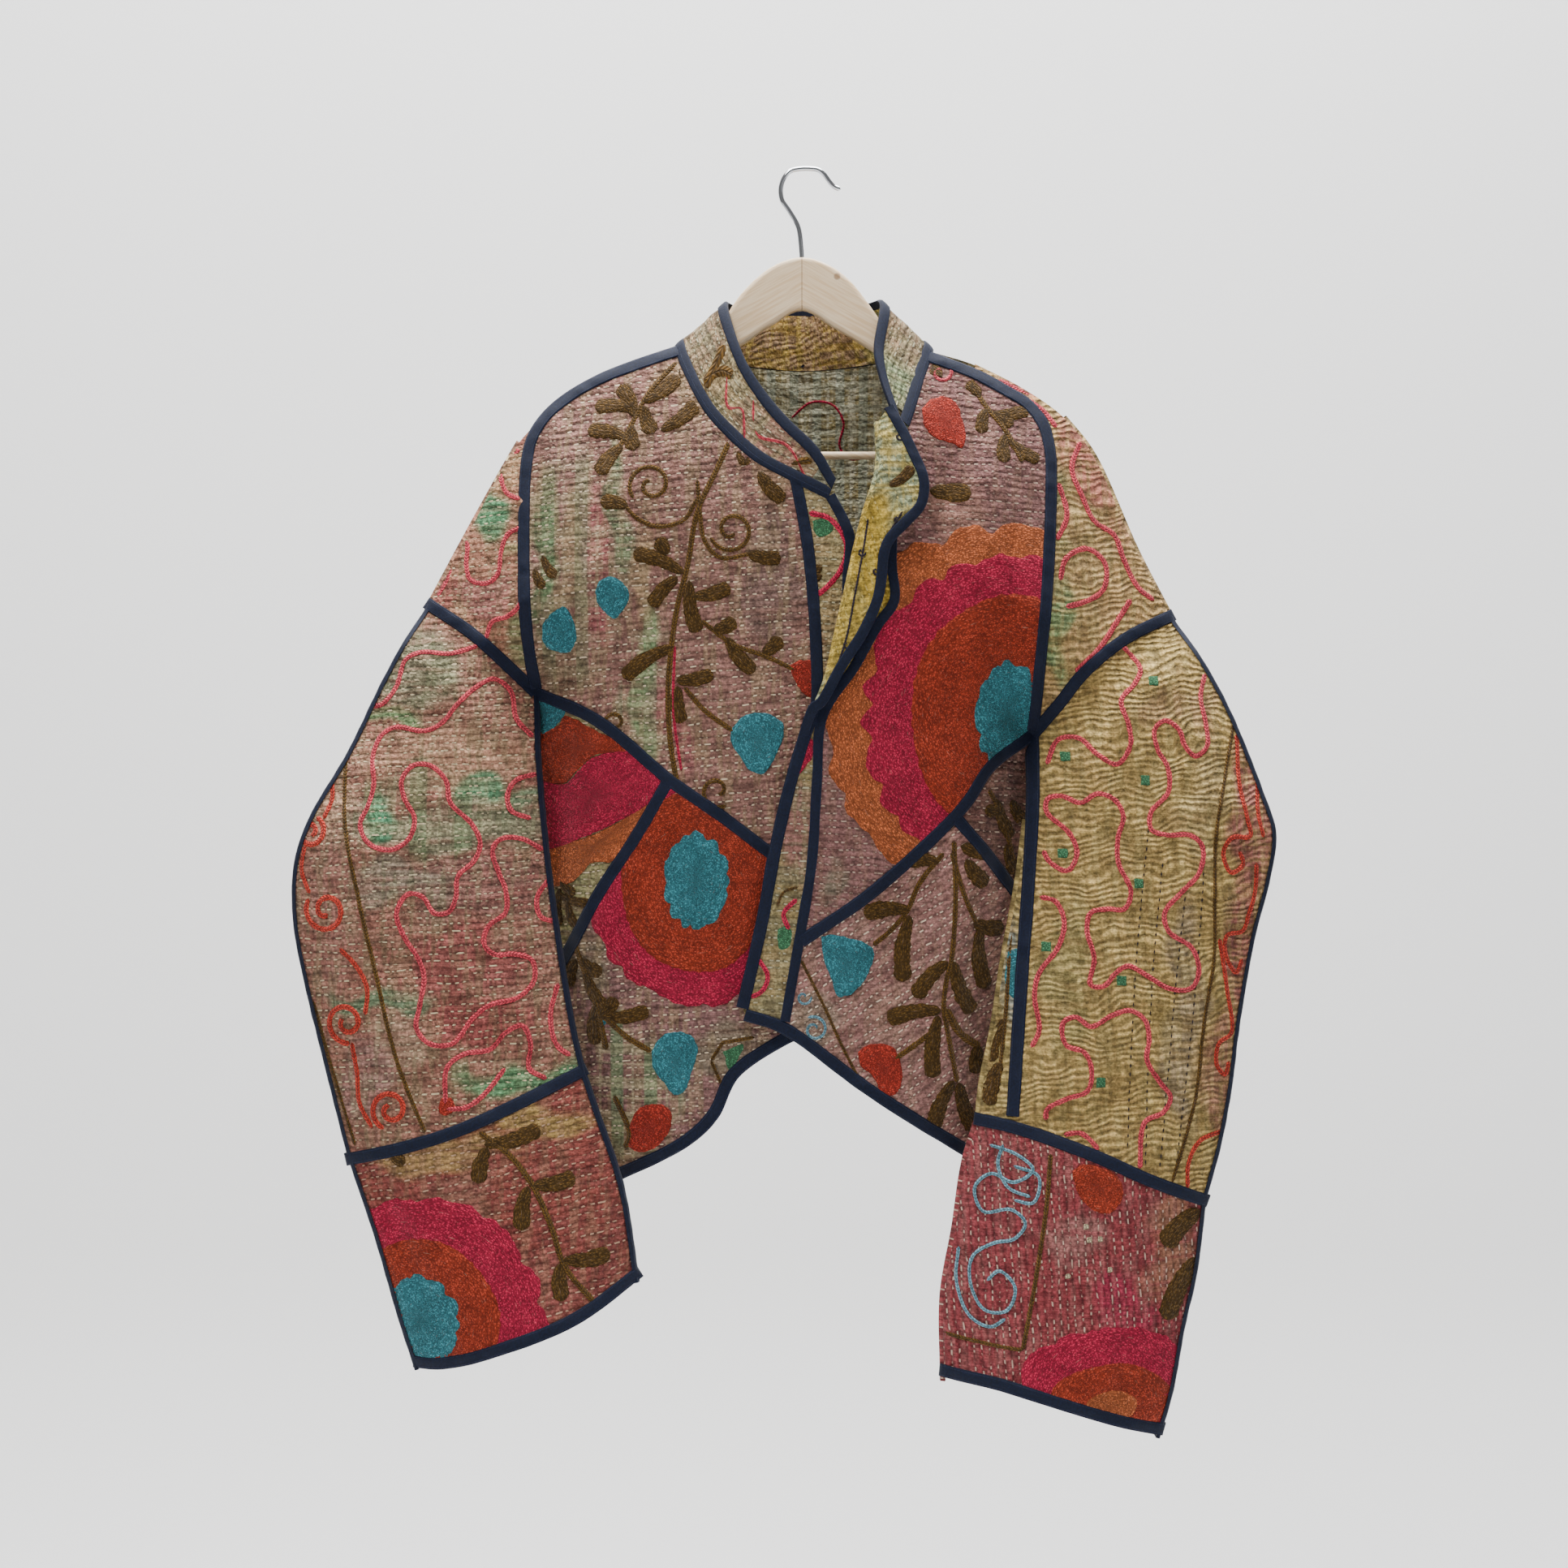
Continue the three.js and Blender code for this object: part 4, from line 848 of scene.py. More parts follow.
def ring(body: Body, front: Surface, rear: Surface, line: Line, width: float, seed: int,
         closed: bool = True) -> None:
    """Adds a tape round a sleeve, along the front and back and round its edges.

    Args:
        body: takes the tape.
        front, rear: the sleeve's two sheets.
        line: the tape's middle from the front.
        width: its width.
        seed: picks the puckers.
        closed: it runs right round, or else it is open at the line's last point.
    """
    path = spaced(line, S.along)
    n, t = normals(path), np.gradient(path, axis=0)
    t /= np.linalg.norm(t, axis=1, keepdims=True)
    count = len(path)
    rows, uv, run = [], [], 0.0

    def section(at: Callable[[float, float], Array], where: float) -> None:
        pucker = 1 + 0.08 * math.sin(where / 2.3 + seed) * math.sin(where / 7.1 + 2 * seed)
        ring_points = [at(a * width / 2, S.tape * h * (pucker if abs(a) < 0.9 else 1)) for a, h in PROFILE]
        ring_points += [at(width / 2, 0.3), at(-width / 2, 0.3)]
        rows.append(np.array(ring_points))
        across = [a * width / 2 for a, _ in PROFILE] + [width / 2, -width / 2]
        uv.append(np.stack([np.full(len(across), where), across], axis=-1))

    def flat(surface: Surface, i: int) -> Callable[[float, float], Array]:
        return lambda a, h: surface.place(path[i, 0] + n[i, 0] * a, path[i, 1] + n[i, 1] * a, h)

    def round_end(i: int, sign: int, angle: float) -> Callable[[float, float], Array]:
        def at(a: float, h: float) -> Array:
            f = front.place(path[i, 0] + n[i, 0] * a, path[i, 1] + n[i, 1] * a, h)[1]
            r = rear.place(path[i, 0] + n[i, 0] * a, path[i, 1] + n[i, 1] * a, h)[1]
            reach = min(h, 1.6) * math.cos(angle) * sign
            return np.array([path[i, 0] + n[i, 0] * a + t[i, 0] * reach,
                             (f + r) / 2 + (r - f) / 2 * math.sin(angle),
                             path[i, 1] + n[i, 1] * a + t[i, 1] * reach])
        return at

    for i in range(count):
        section(flat(front, i), run)
        run += S.along
    if closed:
        for angle in (-50, -20, 20, 50):
            section(round_end(-1, 1, math.radians(angle)), run)
            run += S.arc
    for i in reversed(range(count)):
        section(flat(rear, i), run)
        run += S.along
    for angle in (50, 20, -20, -50):
        section(round_end(0, -1, math.radians(angle)), run)
        run += S.arc
    if closed:
        rows.append(rows[0])
        uv.append(uv[0] + [run, 0])
    else:
        rows, uv = rows[count:] + rows[:count], uv[count:] + uv[:count]
    body.grid(np.stack(rows), np.stack(uv), (0, 0, 0, 0), around=True, caps=not closed, flip=True)

class Collar:
    """The stand collar's wall, from its right front end round the back to its left front end."""

    PER = 10

    def __init__(self, surfaces: Surfaces) -> None:
        """Lays the collar's low and top lines on the surfaces."""
        low, top = [], []
        for (x, z), (tx, tz), side, lean in COLLAR:
            surface = surfaces.bb if side == "back" else surfaces.lf if x > 30 else surfaces.bf
            y = 0.0 if side == "ridge" else float(surface.place(x, z, 0)[1])
            low.append((x, y, z))
            top.append((tx, y - lean if side == "back" else y + lean, tz))
        self.low, self.top = curve(low, self.PER), curve(top, self.PER)
        up = self.top - self.low
        self.height = np.linalg.norm(up, axis=1)
        self.up = up / self.height[:, None]
        tangent = np.gradient(self.low, axis=0)
        out = np.cross(tangent, self.up)
        out /= np.linalg.norm(out, axis=1, keepdims=True)
        facing = out[:, 0] * (self.low[:, 0] + 4) / 90 + out[:, 1] * self.low[:, 1] / 45
        self.out = out * np.where(facing < 0, -1, 1)[:, None]
        flat = np.clip(1 - np.abs(self.low[:, 1]) / 8, 0, 1)
        base = self.out * np.stack([flat, np.ones_like(flat), flat], axis=1)
        self.base_out = base / np.linalg.norm(base, axis=1, keepdims=True)
        self.run = lengths(self.low)

    def at(self, station: Array, share: Array, lift: float) -> Array:
        """Points on the collar.

        Args:
            station: rows of the collar's table.
            share: share of the height.
            lift: height over the inner face.

        Returns:
            One row of x, y, z for each point.
        """
        i = np.asarray(station, float) * self.PER

        def look(v: Array) -> Array:
            return np.stack([np.interp(i, np.arange(len(v)), v[:, k]) for k in range(3)], axis=-1)

        h = np.interp(i, np.arange(len(self.height)), self.height)
        crinkle = 0.5 * wave(i * 2.0, h * share, 21, 8)
        return look(self.low) + look(self.up) * (h * share)[:, None] + look(self.out) * (lift + crinkle)[:, None]

    def strip(self, body: Body, start: Array, end: Array, heights: Sequence[tuple[float, float]],
              flat: bool = False, first: int = 0, last: int | None = None, dye: Array | None = None,
              wrinkle: float = 0.0) -> None:
        """Adds a strip of the collar between two heights.

        Args:
            body: takes the strip.
            start, end: the heights in millimetres, one for each place along the collar.
            heights: the profile, as shares across the strip and heights over the inner face.
            flat: the strip lies flat on the body at the shoulders.
            first, last: where along the collar it runs.
            dye: colour and mask for each place along the collar, for cloth.
            wrinkle: height of the cloth's crinkles.
        """
        cut = slice(first, last)
        low, up, out = self.low[cut], self.up[cut], (self.base_out if flat else self.out)[cut]
        a, b, run = start[cut], end[cut], self.run[cut]
        rows, uv = [], []
        for share, lift in heights:
            v = a + (b - a) * share
            more = wrinkle * wave(run, v * 1.6, 21, 8)
            rows.append(low + up * v[:, None] + out * (lift + more)[:, None])
            uv.append(np.stack([run, v], axis=-1))
        colour = (0, 0, 0, 0) if dye is None else np.repeat(dye[cut][:, None], len(heights), axis=1)
        grid = np.stack(rows, 1)
        a0, b0 = grid[1, 0] - grid[0, 0], grid[0, 1] - grid[0, 0]
        inward = np.dot(np.cross(a0, b0), grid[0].mean(0) - grid[0, 0]) > 0
        body.grid(grid, np.stack(uv, 1), colour, around=True, caps=True, flip=bool(inward))


def rgb(code: str) -> Colour:
    """A linear colour from a six-digit sRGB code."""
    v = [int(code[i : i + 2], 16) / 255 for i in (0, 2, 4)]
    return tuple(c / 12.92 if c <= 0.04045 else ((c + 0.055) / 1.055) ** 2.4 for c in v)


class Thread(Enum):
    """Colours of the embroidery."""

    BROWN = "5a4016"
    TEAL = "3f8c98"
    CRIMSON = "bd2246"
    RUST = "ad3d26"
    ORANGE = "c4683c"
    RED = "b5382a"
    PINK = "c4434f"
    BLUE = "6e9dad"
    GREEN = "4f8c62"
    CREAM = "d9caa4"
    SAGE = "9a9a6e"
    DARK = "3a3038"


Patch = tuple[str, tuple[float, float], tuple[float, float], float]


@dataclass(frozen=True)
class Dye:
    """How a cloth is coloured: a base, soft patches on it, and where its checks show.

    Each patch has a colour code or "check", a centre, half sizes and a strength.
    """

    base: str
    patches: tuple[Patch, ...] = ()
    check: float = 0.0

    def __call__(self, x: Array, z: Array) -> Array:
        """Colour and check mask at points on the cloth."""
        out = np.empty((len(x), 4))
        out[:, :3], out[:, 3] = rgb(self.base), self.check
        wobble_x, wobble_z = 9 * wave(x, z, 60, 21), 9 * wave(x, z, 60, 22)
        for code, (cx, cz), (rx, rz), strength in self.patches:
            d = np.hypot((x + wobble_x - cx) / rx, (z + wobble_z - cz) / rz)
            share = (strength * smooth((1.25 - d) / 0.5))[:, None]
            if code == "check":
                out[:, 3:] = out[:, 3:] * (1 - share) + share
            else:
                out[:, :3] = out[:, :3] * (1 - share) + np.array(rgb(code)) * share
        return out


@dataclass
class Ground:
    """Cloth that embroidery lies on: its surface, its outline and what the stitches are added to."""

    surface: Surface
    outline: Array
    body: Body = field(default_factory=Body)
    base: float = S.cloth

    def __post_init__(self) -> None:
        """Samples how far inside the outline each place lies."""
        (x0, z0), (x1, z1) = self.outline.min(0) - 8, self.outline.max(0) + 8
        ring = np.vstack([self.outline, self.outline[:1]])
        self.room = Surface(lambda x, z: to_line(ring, x, z)[0] * np.where(within(self.outline, x, z), 1, -1),
                            Face.FRONT, (x0, z0, x1, z1))

    def _lay(self, x: Array, z: Array, lift: Array) -> Array:
        """Points over the cloth, which sink under the tapes at its seams."""
        return self.surface.place(x, z, self.base + lift * smooth((self.room.value(x, z) - 2.2) / 3.2))

    def _keep(self, x: Array, z: Array) -> Array:
        """True for quads whose middle lies clear of the seams."""
        mid = [(v[:-1, :-1] + v[1:, :-1] + v[1:, 1:] + v[:-1, 1:]) / 4 for v in (x, z)]
        return self.room.value(mid[0], mid[1]) > 1.6

    def cord(self, line: Line, thread: Thread, width: float = 2.6, tip: float = 0.0, height: float = 0.9,
             soft: bool = True) -> None:
        """Adds a stitched line or a club-shaped leaf.

        Args:
            line: its middle.
            thread: its colour.
            width: its width, or a leaf's width near its round end.
            tip: share of the width at a leaf's root, or 0 for an even line.
            height: how far it stands over the cloth.
            soft: the line is curved through its points.
        """
        path = spaced(line, 1.8 if width < 5 else 1.5, soft)
        run = lengths(path)
        n, length = normals(path), run[-1]
        half = np.full(len(run), width / 2 * (1.35 if tip else 1.5))
        if tip:
            s = run / length
            half *= tip + (1 - tip) * np.sqrt(np.clip(s * 1.6, 0, 1))
        end = width / 2
        for edge in (run, length - run):
            half *= np.sqrt(np.clip(1 - (1 - np.clip(edge / end, 0, 1)) ** 2, 0.02, 1))
        half *= 1 + 0.10 * wave(run, run * 0, 5, int(abs(path[0, 0])))
        across = np.array((-1.0, -0.85, -0.45, 0.0, 0.45, 0.85, 1.0))
        lift = np.array((-0.25, 0.55, 0.95, 1.0, 0.95, 0.55, -0.25)) * height
        x = path[:, :1] + n[:, :1] * half[:, None] * across
        z = path[:, 1:] + n[:, 1:] * half[:, None] * across
        rows = self._lay(x, z, lift)
        uv = np.stack([np.repeat(run[:, None], 7, 1), across * half[:, None]], axis=-1)
        self.body.grid(rows, uv, (*rgb(thread.value), 1.0 if width < 5 else 0.0), keep=self._keep(x, z))

    def blob(self, line: Line, thread: Thread, height: float = 0.8, inner: float = 0.0,
             wavy: float = 0.5, soft: bool = True) -> None:
        """Adds an area filled with stitches.

        Args:
            line: its outline, without the closing point.
            thread: its colour.
            height: how far it stands over the cloth.
            inner: share of the outline's size that is left open in the middle.
            wavy: how uneven its edge is.
            soft: the outline is curved through its points.
        """
        closed = np.array([*line, line[0]], float)
        edge = spaced(closed, 2.4, soft)[:-1]
        centre = edge.mean(0)
        size = np.linalg.norm(edge - centre, axis=1)
        size = size + wavy * wave(edge[:, 0], edge[:, 1], 6, 31)
        way = (edge - centre) / np.linalg.norm(edge - centre, axis=1, keepdims=True)
        widest = size.max()
        count = max(3, round(widest * (1 - inner) / 3.4))
        shares = [*np.linspace(inner, 1 - 1.2 / widest, count), 1 - 0.35 / widest, 1.0]
        lifts = [1.0] * count + [0.6, -0.2]
        rim = size[None] * np.array(shares)[:, None]
        x, z = centre[0] + rim * way[:, 0], centre[1] + rim * way[:, 1]
        x, z = np.hstack([x, x[:, :1]]), np.hstack([z, z[:, :1]])
        rows = self._lay(x, z, np.array(lifts)[:, None] * height)
        around = lengths(np.vstack([edge, edge[:1]]))
        uv = np.stack([np.repeat(around[None], len(shares), 0), np.hstack([rim, rim[:, :1]])], axis=-1)
        self.body.grid(rows, uv, (*rgb(thread.value), 0.0), keep=self._keep(x, z), flip=True)

    def flower(self, centre: tuple[float, float], rings: Sequence[tuple[Thread, float, float, int]]) -> None:
        """Adds rings of stitches with scalloped edges.

        Args:
            centre: the flower's middle.
            rings: colour, half width, half height and count of scallops, from the inside out.
        """
        inner = (0.0, 0.0)
        for i, (thread, rx, rz, scallops) in enumerate(rings):
            a = np.linspace(0, math.tau, 240, endpoint=False)
            swing = a + 0.09 * np.sin(3 * a + i) + 0.05 * np.sin(7 * a + 2 * i)
            depth = 0.11 if i == 0 else 0.06
            uneven = 1 + 0.5 * np.sin(2 * a + i)
            bump = 1 + depth * (np.abs(np.cos(swing * scallops / 2)) - 0.6) * uneven if scallops else 1.0
            bump = bump + 0.005 * np.sin(53 * a + i) + 0.005 * np.sin(37 * a + 2 * i) + 0.014 * np.sin(5 * a + i)
            line = np.stack([centre[0] + rx * bump * np.cos(a), centre[1] + rz * bump * np.sin(a)], axis=1)
            hole = 0.0 if not inner[0] else min(inner[0] / rx, inner[1] / rz) * 0.9
            self.blob(line, thread, 1.15 - 0.22 * i, hole, 0.35, False)
            inner = (rx, rz)

    def curl(self, centre: tuple[float, float], radius: float, thread: Thread, turns: float = 1.4,
             start: float = 0.0, width: float = 2.4, way: int = 1) -> None:
        """Adds a spiral that opens outward.

        Args:
            centre: its middle.
            radius: its size.
            thread: its colour.
            turns: how often it goes round.
            start: angle in degrees of its outer end.
            width: the line's width.
            way: 1 to wind anticlockwise as it opens, -1 for clockwise.
        """
        t = np.linspace(0.12, 1, max(8, round(turns * 16)))
        a = math.radians(start) - way * (1 - t) * turns * math.tau
        r = radius * t**0.8
        self.cord(np.stack([centre[0] + r * np.cos(a), centre[1] + r * np.sin(a)], axis=1), thread, width)

    def square(self, centre: tuple[float, float], half: float, thread: Thread, height: float,
            wavy: float = 0.5) -> None:
        """Adds a small square of stitches."""
        x, z = centre
        corners = ((x - half, z - half), (x + half, z - half), (x + half, z + half), (x - half, z + half))
        self.blob(corners, thread, height, wavy=wavy, soft=False)

    def leaves(self, rows: Sequence[tuple[tuple[float, float], tuple[float, float]]], width: float = 8.5) -> None:
        """Adds club-shaped leaves, each from its root to its round end."""
        for root, end in rows:
            mid = ((root[0] + end[0]) / 2 + (end[1] - root[1]) * 0.06,
                    (root[1] + end[1]) / 2 - (end[0] - root[0]) * 0.06)
            self.cord((root, mid, end), Thread.BROWN, width, 0.35)


class Tree:
    """A node tree that is easy to write."""

    def __init__(self, tree: bpy.types.NodeTree) -> None:
        """Takes the tree to add nodes to."""
        self.tree = tree

    def node(self, kind: str, inputs: dict[int | str, object] | None = None, **values: object) -> bpy.types.Node:
        """Adds a node.

        Args:
            kind: the node's type.
            inputs: sockets or values for its inputs.
            values: its settings.

        Returns:
            The node.
        """
        n = self.tree.nodes.new(kind)
        for k, v in values.items():
            setattr(n, k, v)
        self.fill(n, inputs or {})
        return n

    def fill(self, n: bpy.types.Node, inputs: dict[int | str, object]) -> None:
        """Links sockets to a node's inputs, or sets their values."""
        for k, v in inputs.items():
            if isinstance(v, bpy.types.NodeSocket):
                self.tree.links.new(v, n.inputs[k])
            else:
                n.inputs[k].default_value = v

    def math(self, operation: str, a: object, b: object = 0.0, c: object = 0.0) -> bpy.types.NodeSocket:
        """Adds a math node and returns its result."""
        return self.node("ShaderNodeMath", {0: a, 1: b, 2: c}, operation=operation).outputs[0]

    def mul(self, a: object, b: object) -> bpy.types.NodeSocket:
        """Multiplies two values."""
        return self.math("MULTIPLY", a, b)

    def mad(self, a: object, b: object, c: object) -> bpy.types.NodeSocket:
        """Multiplies two values and adds a third."""
        return self.math("MULTIPLY_ADD", a, b, c)

    def off_middle(self, value: object) -> bpy.types.NodeSocket:
        """Distance of a value's fraction from one half."""
        return self.math("ABSOLUTE", self.math("SUBTRACT", self.math("FRACT", value), 0.5))

    def scaled(self, vector: object, scale: tuple[float, float, float]) -> bpy.types.NodeSocket:
        """A vector scaled along each axis."""
        return self.node("ShaderNodeMapping", {0: vector, 3: scale}).outputs[0]

    def shaded(self, colour: object, shade: object) -> bpy.types.NodeSocket:
        """A colour times a shade of grey."""
        grey = self.node("ShaderNodeCombineColor", {0: shade, 1: shade, 2: shade}).outputs[0]
        return self.mix(1.0, colour, grey, "MULTIPLY")

    def shared(self, tree: bpy.types.NodeTree, vector: object) -> bpy.types.Node:
        """Adds a shared group that reads a vector."""
        return self.node("ShaderNodeGroup", {"Vector": vector}, node_tree=tree)

    def bump(self, shader: bpy.types.Node, height: object, distance: float, strength: float = 1.0) -> None:
        """Gives a shader relief from a height in millimetres."""
        relief = self.node("ShaderNodeBump", {"Strength": strength, "Distance": MM * distance, "Height": height})
        self.tree.links.new(relief.outputs[0], shader.inputs["Normal"])

    def step(self, value: object, low: float, high: float, a: float = 0.0, b: float = 1.0) -> bpy.types.NodeSocket:
        """A soft step from a to b while the value goes from low to high."""
        n = self.node("ShaderNodeMapRange", {0: value, 1: low, 2: high, 3: a, 4: b}, interpolation_type="SMOOTHSTEP")
        return n.outputs[0]

    def mix(self, share: object, a: object, b: object, blend: str = "MIX") -> bpy.types.NodeSocket:
        """Mixes two colours."""
        n = self.node("ShaderNodeMix", data_type="RGBA", blend_type=blend)
        for socket, v in ((n.inputs[0], share), (n.inputs[6], a), (n.inputs[7], b)):
            if isinstance(v, bpy.types.NodeSocket):
                self.tree.links.new(v, socket)
            else:
                socket.default_value = v if not isinstance(v, tuple) or len(v) == 4 else (*v, 1)
        return n.outputs[2]

    def noise(self, vector: object, scale: float, detail: float = 2.0) -> bpy.types.NodeSocket:
        """A noise pattern's value."""
        return self.node("ShaderNodeTexNoise", {"Vector": vector, "Scale": scale, "Detail": detail}).outputs[0]


def group(name: str, inputs: Sequence[tuple[str, str, float]], outputs: Sequence[str],
          write: Callable[[Tree, bpy.types.Node], dict[str, bpy.types.NodeSocket]]) -> bpy.types.NodeTree:
    """Makes a shared node group.

    Args:
        name: its name.
        inputs: name, kind and default of each input.
        outputs: names of its values.
        write: adds its nodes and returns the socket of each output.

    Returns:
        The group.
    """
    tree = bpy.data.node_groups.new(name, "ShaderNodeTree")
    for label, kind, value in inputs:
        socket = tree.interface.new_socket(label, in_out="INPUT", socket_type=f"NodeSocket{kind}")
        if kind == "Float":
            socket.default_value = value
    for label in outputs:
        tree.interface.new_socket(label, in_out="OUTPUT", socket_type="NodeSocketFloat")
    t = Tree(tree)
    source, end = t.node("NodeGroupInput"), t.node("NodeGroupOutput")
    for label, socket in write(t, source).items():
        tree.links.new(socket, end.inputs[label])
    return tree


def _rows(t: Tree, s: bpy.types.Node) -> dict[str, bpy.types.NodeSocket]:
    """Running stitches: dashes of thread along uneven rows, and cloth that puffs up between them."""
    v = s.outputs["Vector"]
    xyz = t.node("ShaderNodeSeparateXYZ", {0: v})
    wobble = t.mad(t.noise(v, 0.035, 1.0), 5.0, xyz.outputs[1])
    r = t.math("DIVIDE", wobble, s.outputs["Pitch"])
    row = t.math("FLOOR", r)
    f = t.off_middle(r)
    shift = t.node("ShaderNodeTexWhiteNoise", {"W": row}, noise_dimensions="1D").outputs[0]
    along = t.math("ADD", t.math("DIVIDE", xyz.outputs[0], s.outputs["Dash"]), t.mul(shift, 3.7))
    along = t.mad(t.noise(v, 0.11, 0.0), 1.4, along)
    dash = t.off_middle(along)
    on = t.step(dash, 0.30, 0.22)
    line = t.step(t.mul(f, s.outputs["Pitch"]), 0.75, 0.35)
    loss = t.step(t.noise(v, 0.10, 3.0), 0.44, 0.56)
    puff = t.math("POWER", t.mul(f, 2.0), 0.7)
    uneven = t.mad(t.noise(v, 0.13, 2.0), 2.2, -0.25)
    pinch = t.mad(on, -0.45, 1.0)
    drift = t.mad(t.noise(v, 0.026, 1.0), 26.0, t.mul(t.noise(v, 0.10, 2.0), 5.0))
    phase = t.math("DIVIDE", t.math("ADD", xyz.outputs[0], drift), 5.2)
    ripple = t.off_middle(phase)
    strength = t.step(t.noise(v, 0.05, 2.0), 0.34, 0.62, 0.25, 1.0)
    return {
        "Ripple": t.mul(t.step(ripple, 0.02, 0.48), strength),
        "Crumple": t.noise(t.scaled(v, (0.75, 1.2, 1.0)), 0.11, 3.0),
        "Thread": t.mul(t.mul(line, on), loss),
        "Puff": t.mul(t.mul(puff, uneven), pinch),
    }


def _weave(t: Tree, s: bpy.types.Node) -> dict[str, bpy.types.NodeSocket]:
    """A plain weave's height."""
    xyz = t.node("ShaderNodeSeparateXYZ", {0: s.outputs["Vector"]})
    a = t.math("SINE", t.mul(xyz.outputs[0], 7.4))
    b = t.math("SINE", t.mul(xyz.outputs[1], 7.9))
    return {"Height": t.mad(t.mul(a, b), 0.5, 0.5)}


def _plaid(t: Tree, s: bpy.types.Node) -> dict[str, bpy.types.NodeSocket]:
    """Checks: bands down and across, each of its own width, with thin lines beside them."""
    xyz = t.node("ShaderNodeSeparateXYZ", {0: s.outputs["Vector"]})
    out = {}
    for name, k, width, shift in (("Down", 0, 0.19, 0.1), ("Across", 1, 0.16, 0.37), ("Thin", 0, 0.035, 0.62),
            ("Cross", 1, 0.03, 0.8)):
        place = t.math("ADD", t.math("DIVIDE", xyz.outputs[k], s.outputs["Pitch"]), shift)
        out[name] = t.step(t.off_middle(place), width + 0.025, width - 0.025)
    return out


def _fill(t: Tree, s: bpy.types.Node) -> dict[str, bpy.types.NodeSocket]:
    """Chain stitches: small loops along the thread's way."""
    v = t.scaled(s.outputs["Vector"], (0.42, 0.85, 1.0))
    cell = t.node("ShaderNodeTexVoronoi", {"Vector": v, "Scale": 1.0, "Randomness": 0.8}, feature="F1")
    height = t.step(cell.outputs["Distance"], 0.65, 0.05)
    tone = t.node("ShaderNodeSeparateColor", {0: cell.outputs["Color"]}).outputs[0]
    return {"Height": height, "Tone": tone}


def _chain(t: Tree, s: bpy.types.Node) -> dict[str, bpy.types.NodeSocket]:
    """A single chain of stitches: slanting loops on both sides of a middle groove."""
    xyz = t.node("ShaderNodeSeparateXYZ", {0: s.outputs["Vector"]})
    side = t.math("ABSOLUTE", xyz.outputs[1])
    wave_ = t.math("SINE", t.mul(t.math("ADD", xyz.outputs[0], t.mul(side, 0.9)), 2.6))
    groove = t.step(side, 0.0, 0.5)
    return {"Height": t.mul(t.mad(wave_, 0.4, 0.6), groove)}


def _mottle(t: Tree, s: bpy.types.Node) -> dict[str, bpy.types.NodeSocket]:
    """Uneven wear of old cloth, coarse and fine."""
    v = s.outputs["Vector"]
    return {
        "Coarse": t.step(t.noise(v, 0.045, 3.0), 0.38, 0.64),
        "Warp": t.step(t.noise(t.scaled(v, (0.16, 0.022, 1.0)), 1.0, 3.0), 0.47, 0.60),
        "Weft": t.step(t.noise(t.scaled(v, (0.02, 0.15, 1.0)), 1.0, 3.0), 0.47, 0.60),
        "Fine": t.noise(v, 0.55, 3.0),
        "Slub": t.noise(t.scaled(v, (0.08, 1.4, 1.0)), 0.9, 2.0),
    }


def make_groups() -> dict[str, bpy.types.NodeTree]:
    """Makes the node groups that the materials share."""
    vec = ("Vector", "Vector", 0.0)
    return {
        "rows": group("StitchRows", [vec, ("Pitch", "Float", 5.5), ("Dash", "Float", 6.0)],
            ("Thread", "Puff", "Ripple", "Crumple"), _rows),
        "weave": group("PlainWeave", [vec], ("Height",), _weave),
        "plaid": group("Checks", [vec, ("Pitch", "Float", 30.0)], ("Down", "Across", "Thin", "Cross"), _plaid),
        "fill": group("StitchFill", [vec], ("Height", "Tone"), _fill),
        "chain": group("ChainStitch", [vec], ("Height",), _chain),
        "mottle": group("Wear", [vec], ("Coarse", "Warp", "Weft", "Fine", "Slub"), _mottle),
    }


@dataclass(frozen=True)
class Finish:
    """What all finishes share."""

    name: str
    roughness: float = 0.85

    def start(self) -> tuple[bpy.types.Material, Tree, bpy.types.Node, bpy.types.NodeSocket]:
        """Makes an empty material.

        Returns:
            The material, its tree, its shader and the mesh's UV in millimetres.
        """
        material = bpy.data.materials.new(self.name)
        material.use_nodes = True
        material.node_tree.nodes.clear()
        t = Tree(material.node_tree)
        shader = t.node("ShaderNodeBsdfPrincipled")
        t.fill(shader, {"Roughness": self.roughness})
        t.node("ShaderNodeOutputMaterial", {0: shader.outputs[0]})
        uv = t.node("ShaderNodeUVMap", uv_map="UVMap").outputs[0]
        return material, t, shader, t.scaled(uv, (100.0, 100.0, 1.0))


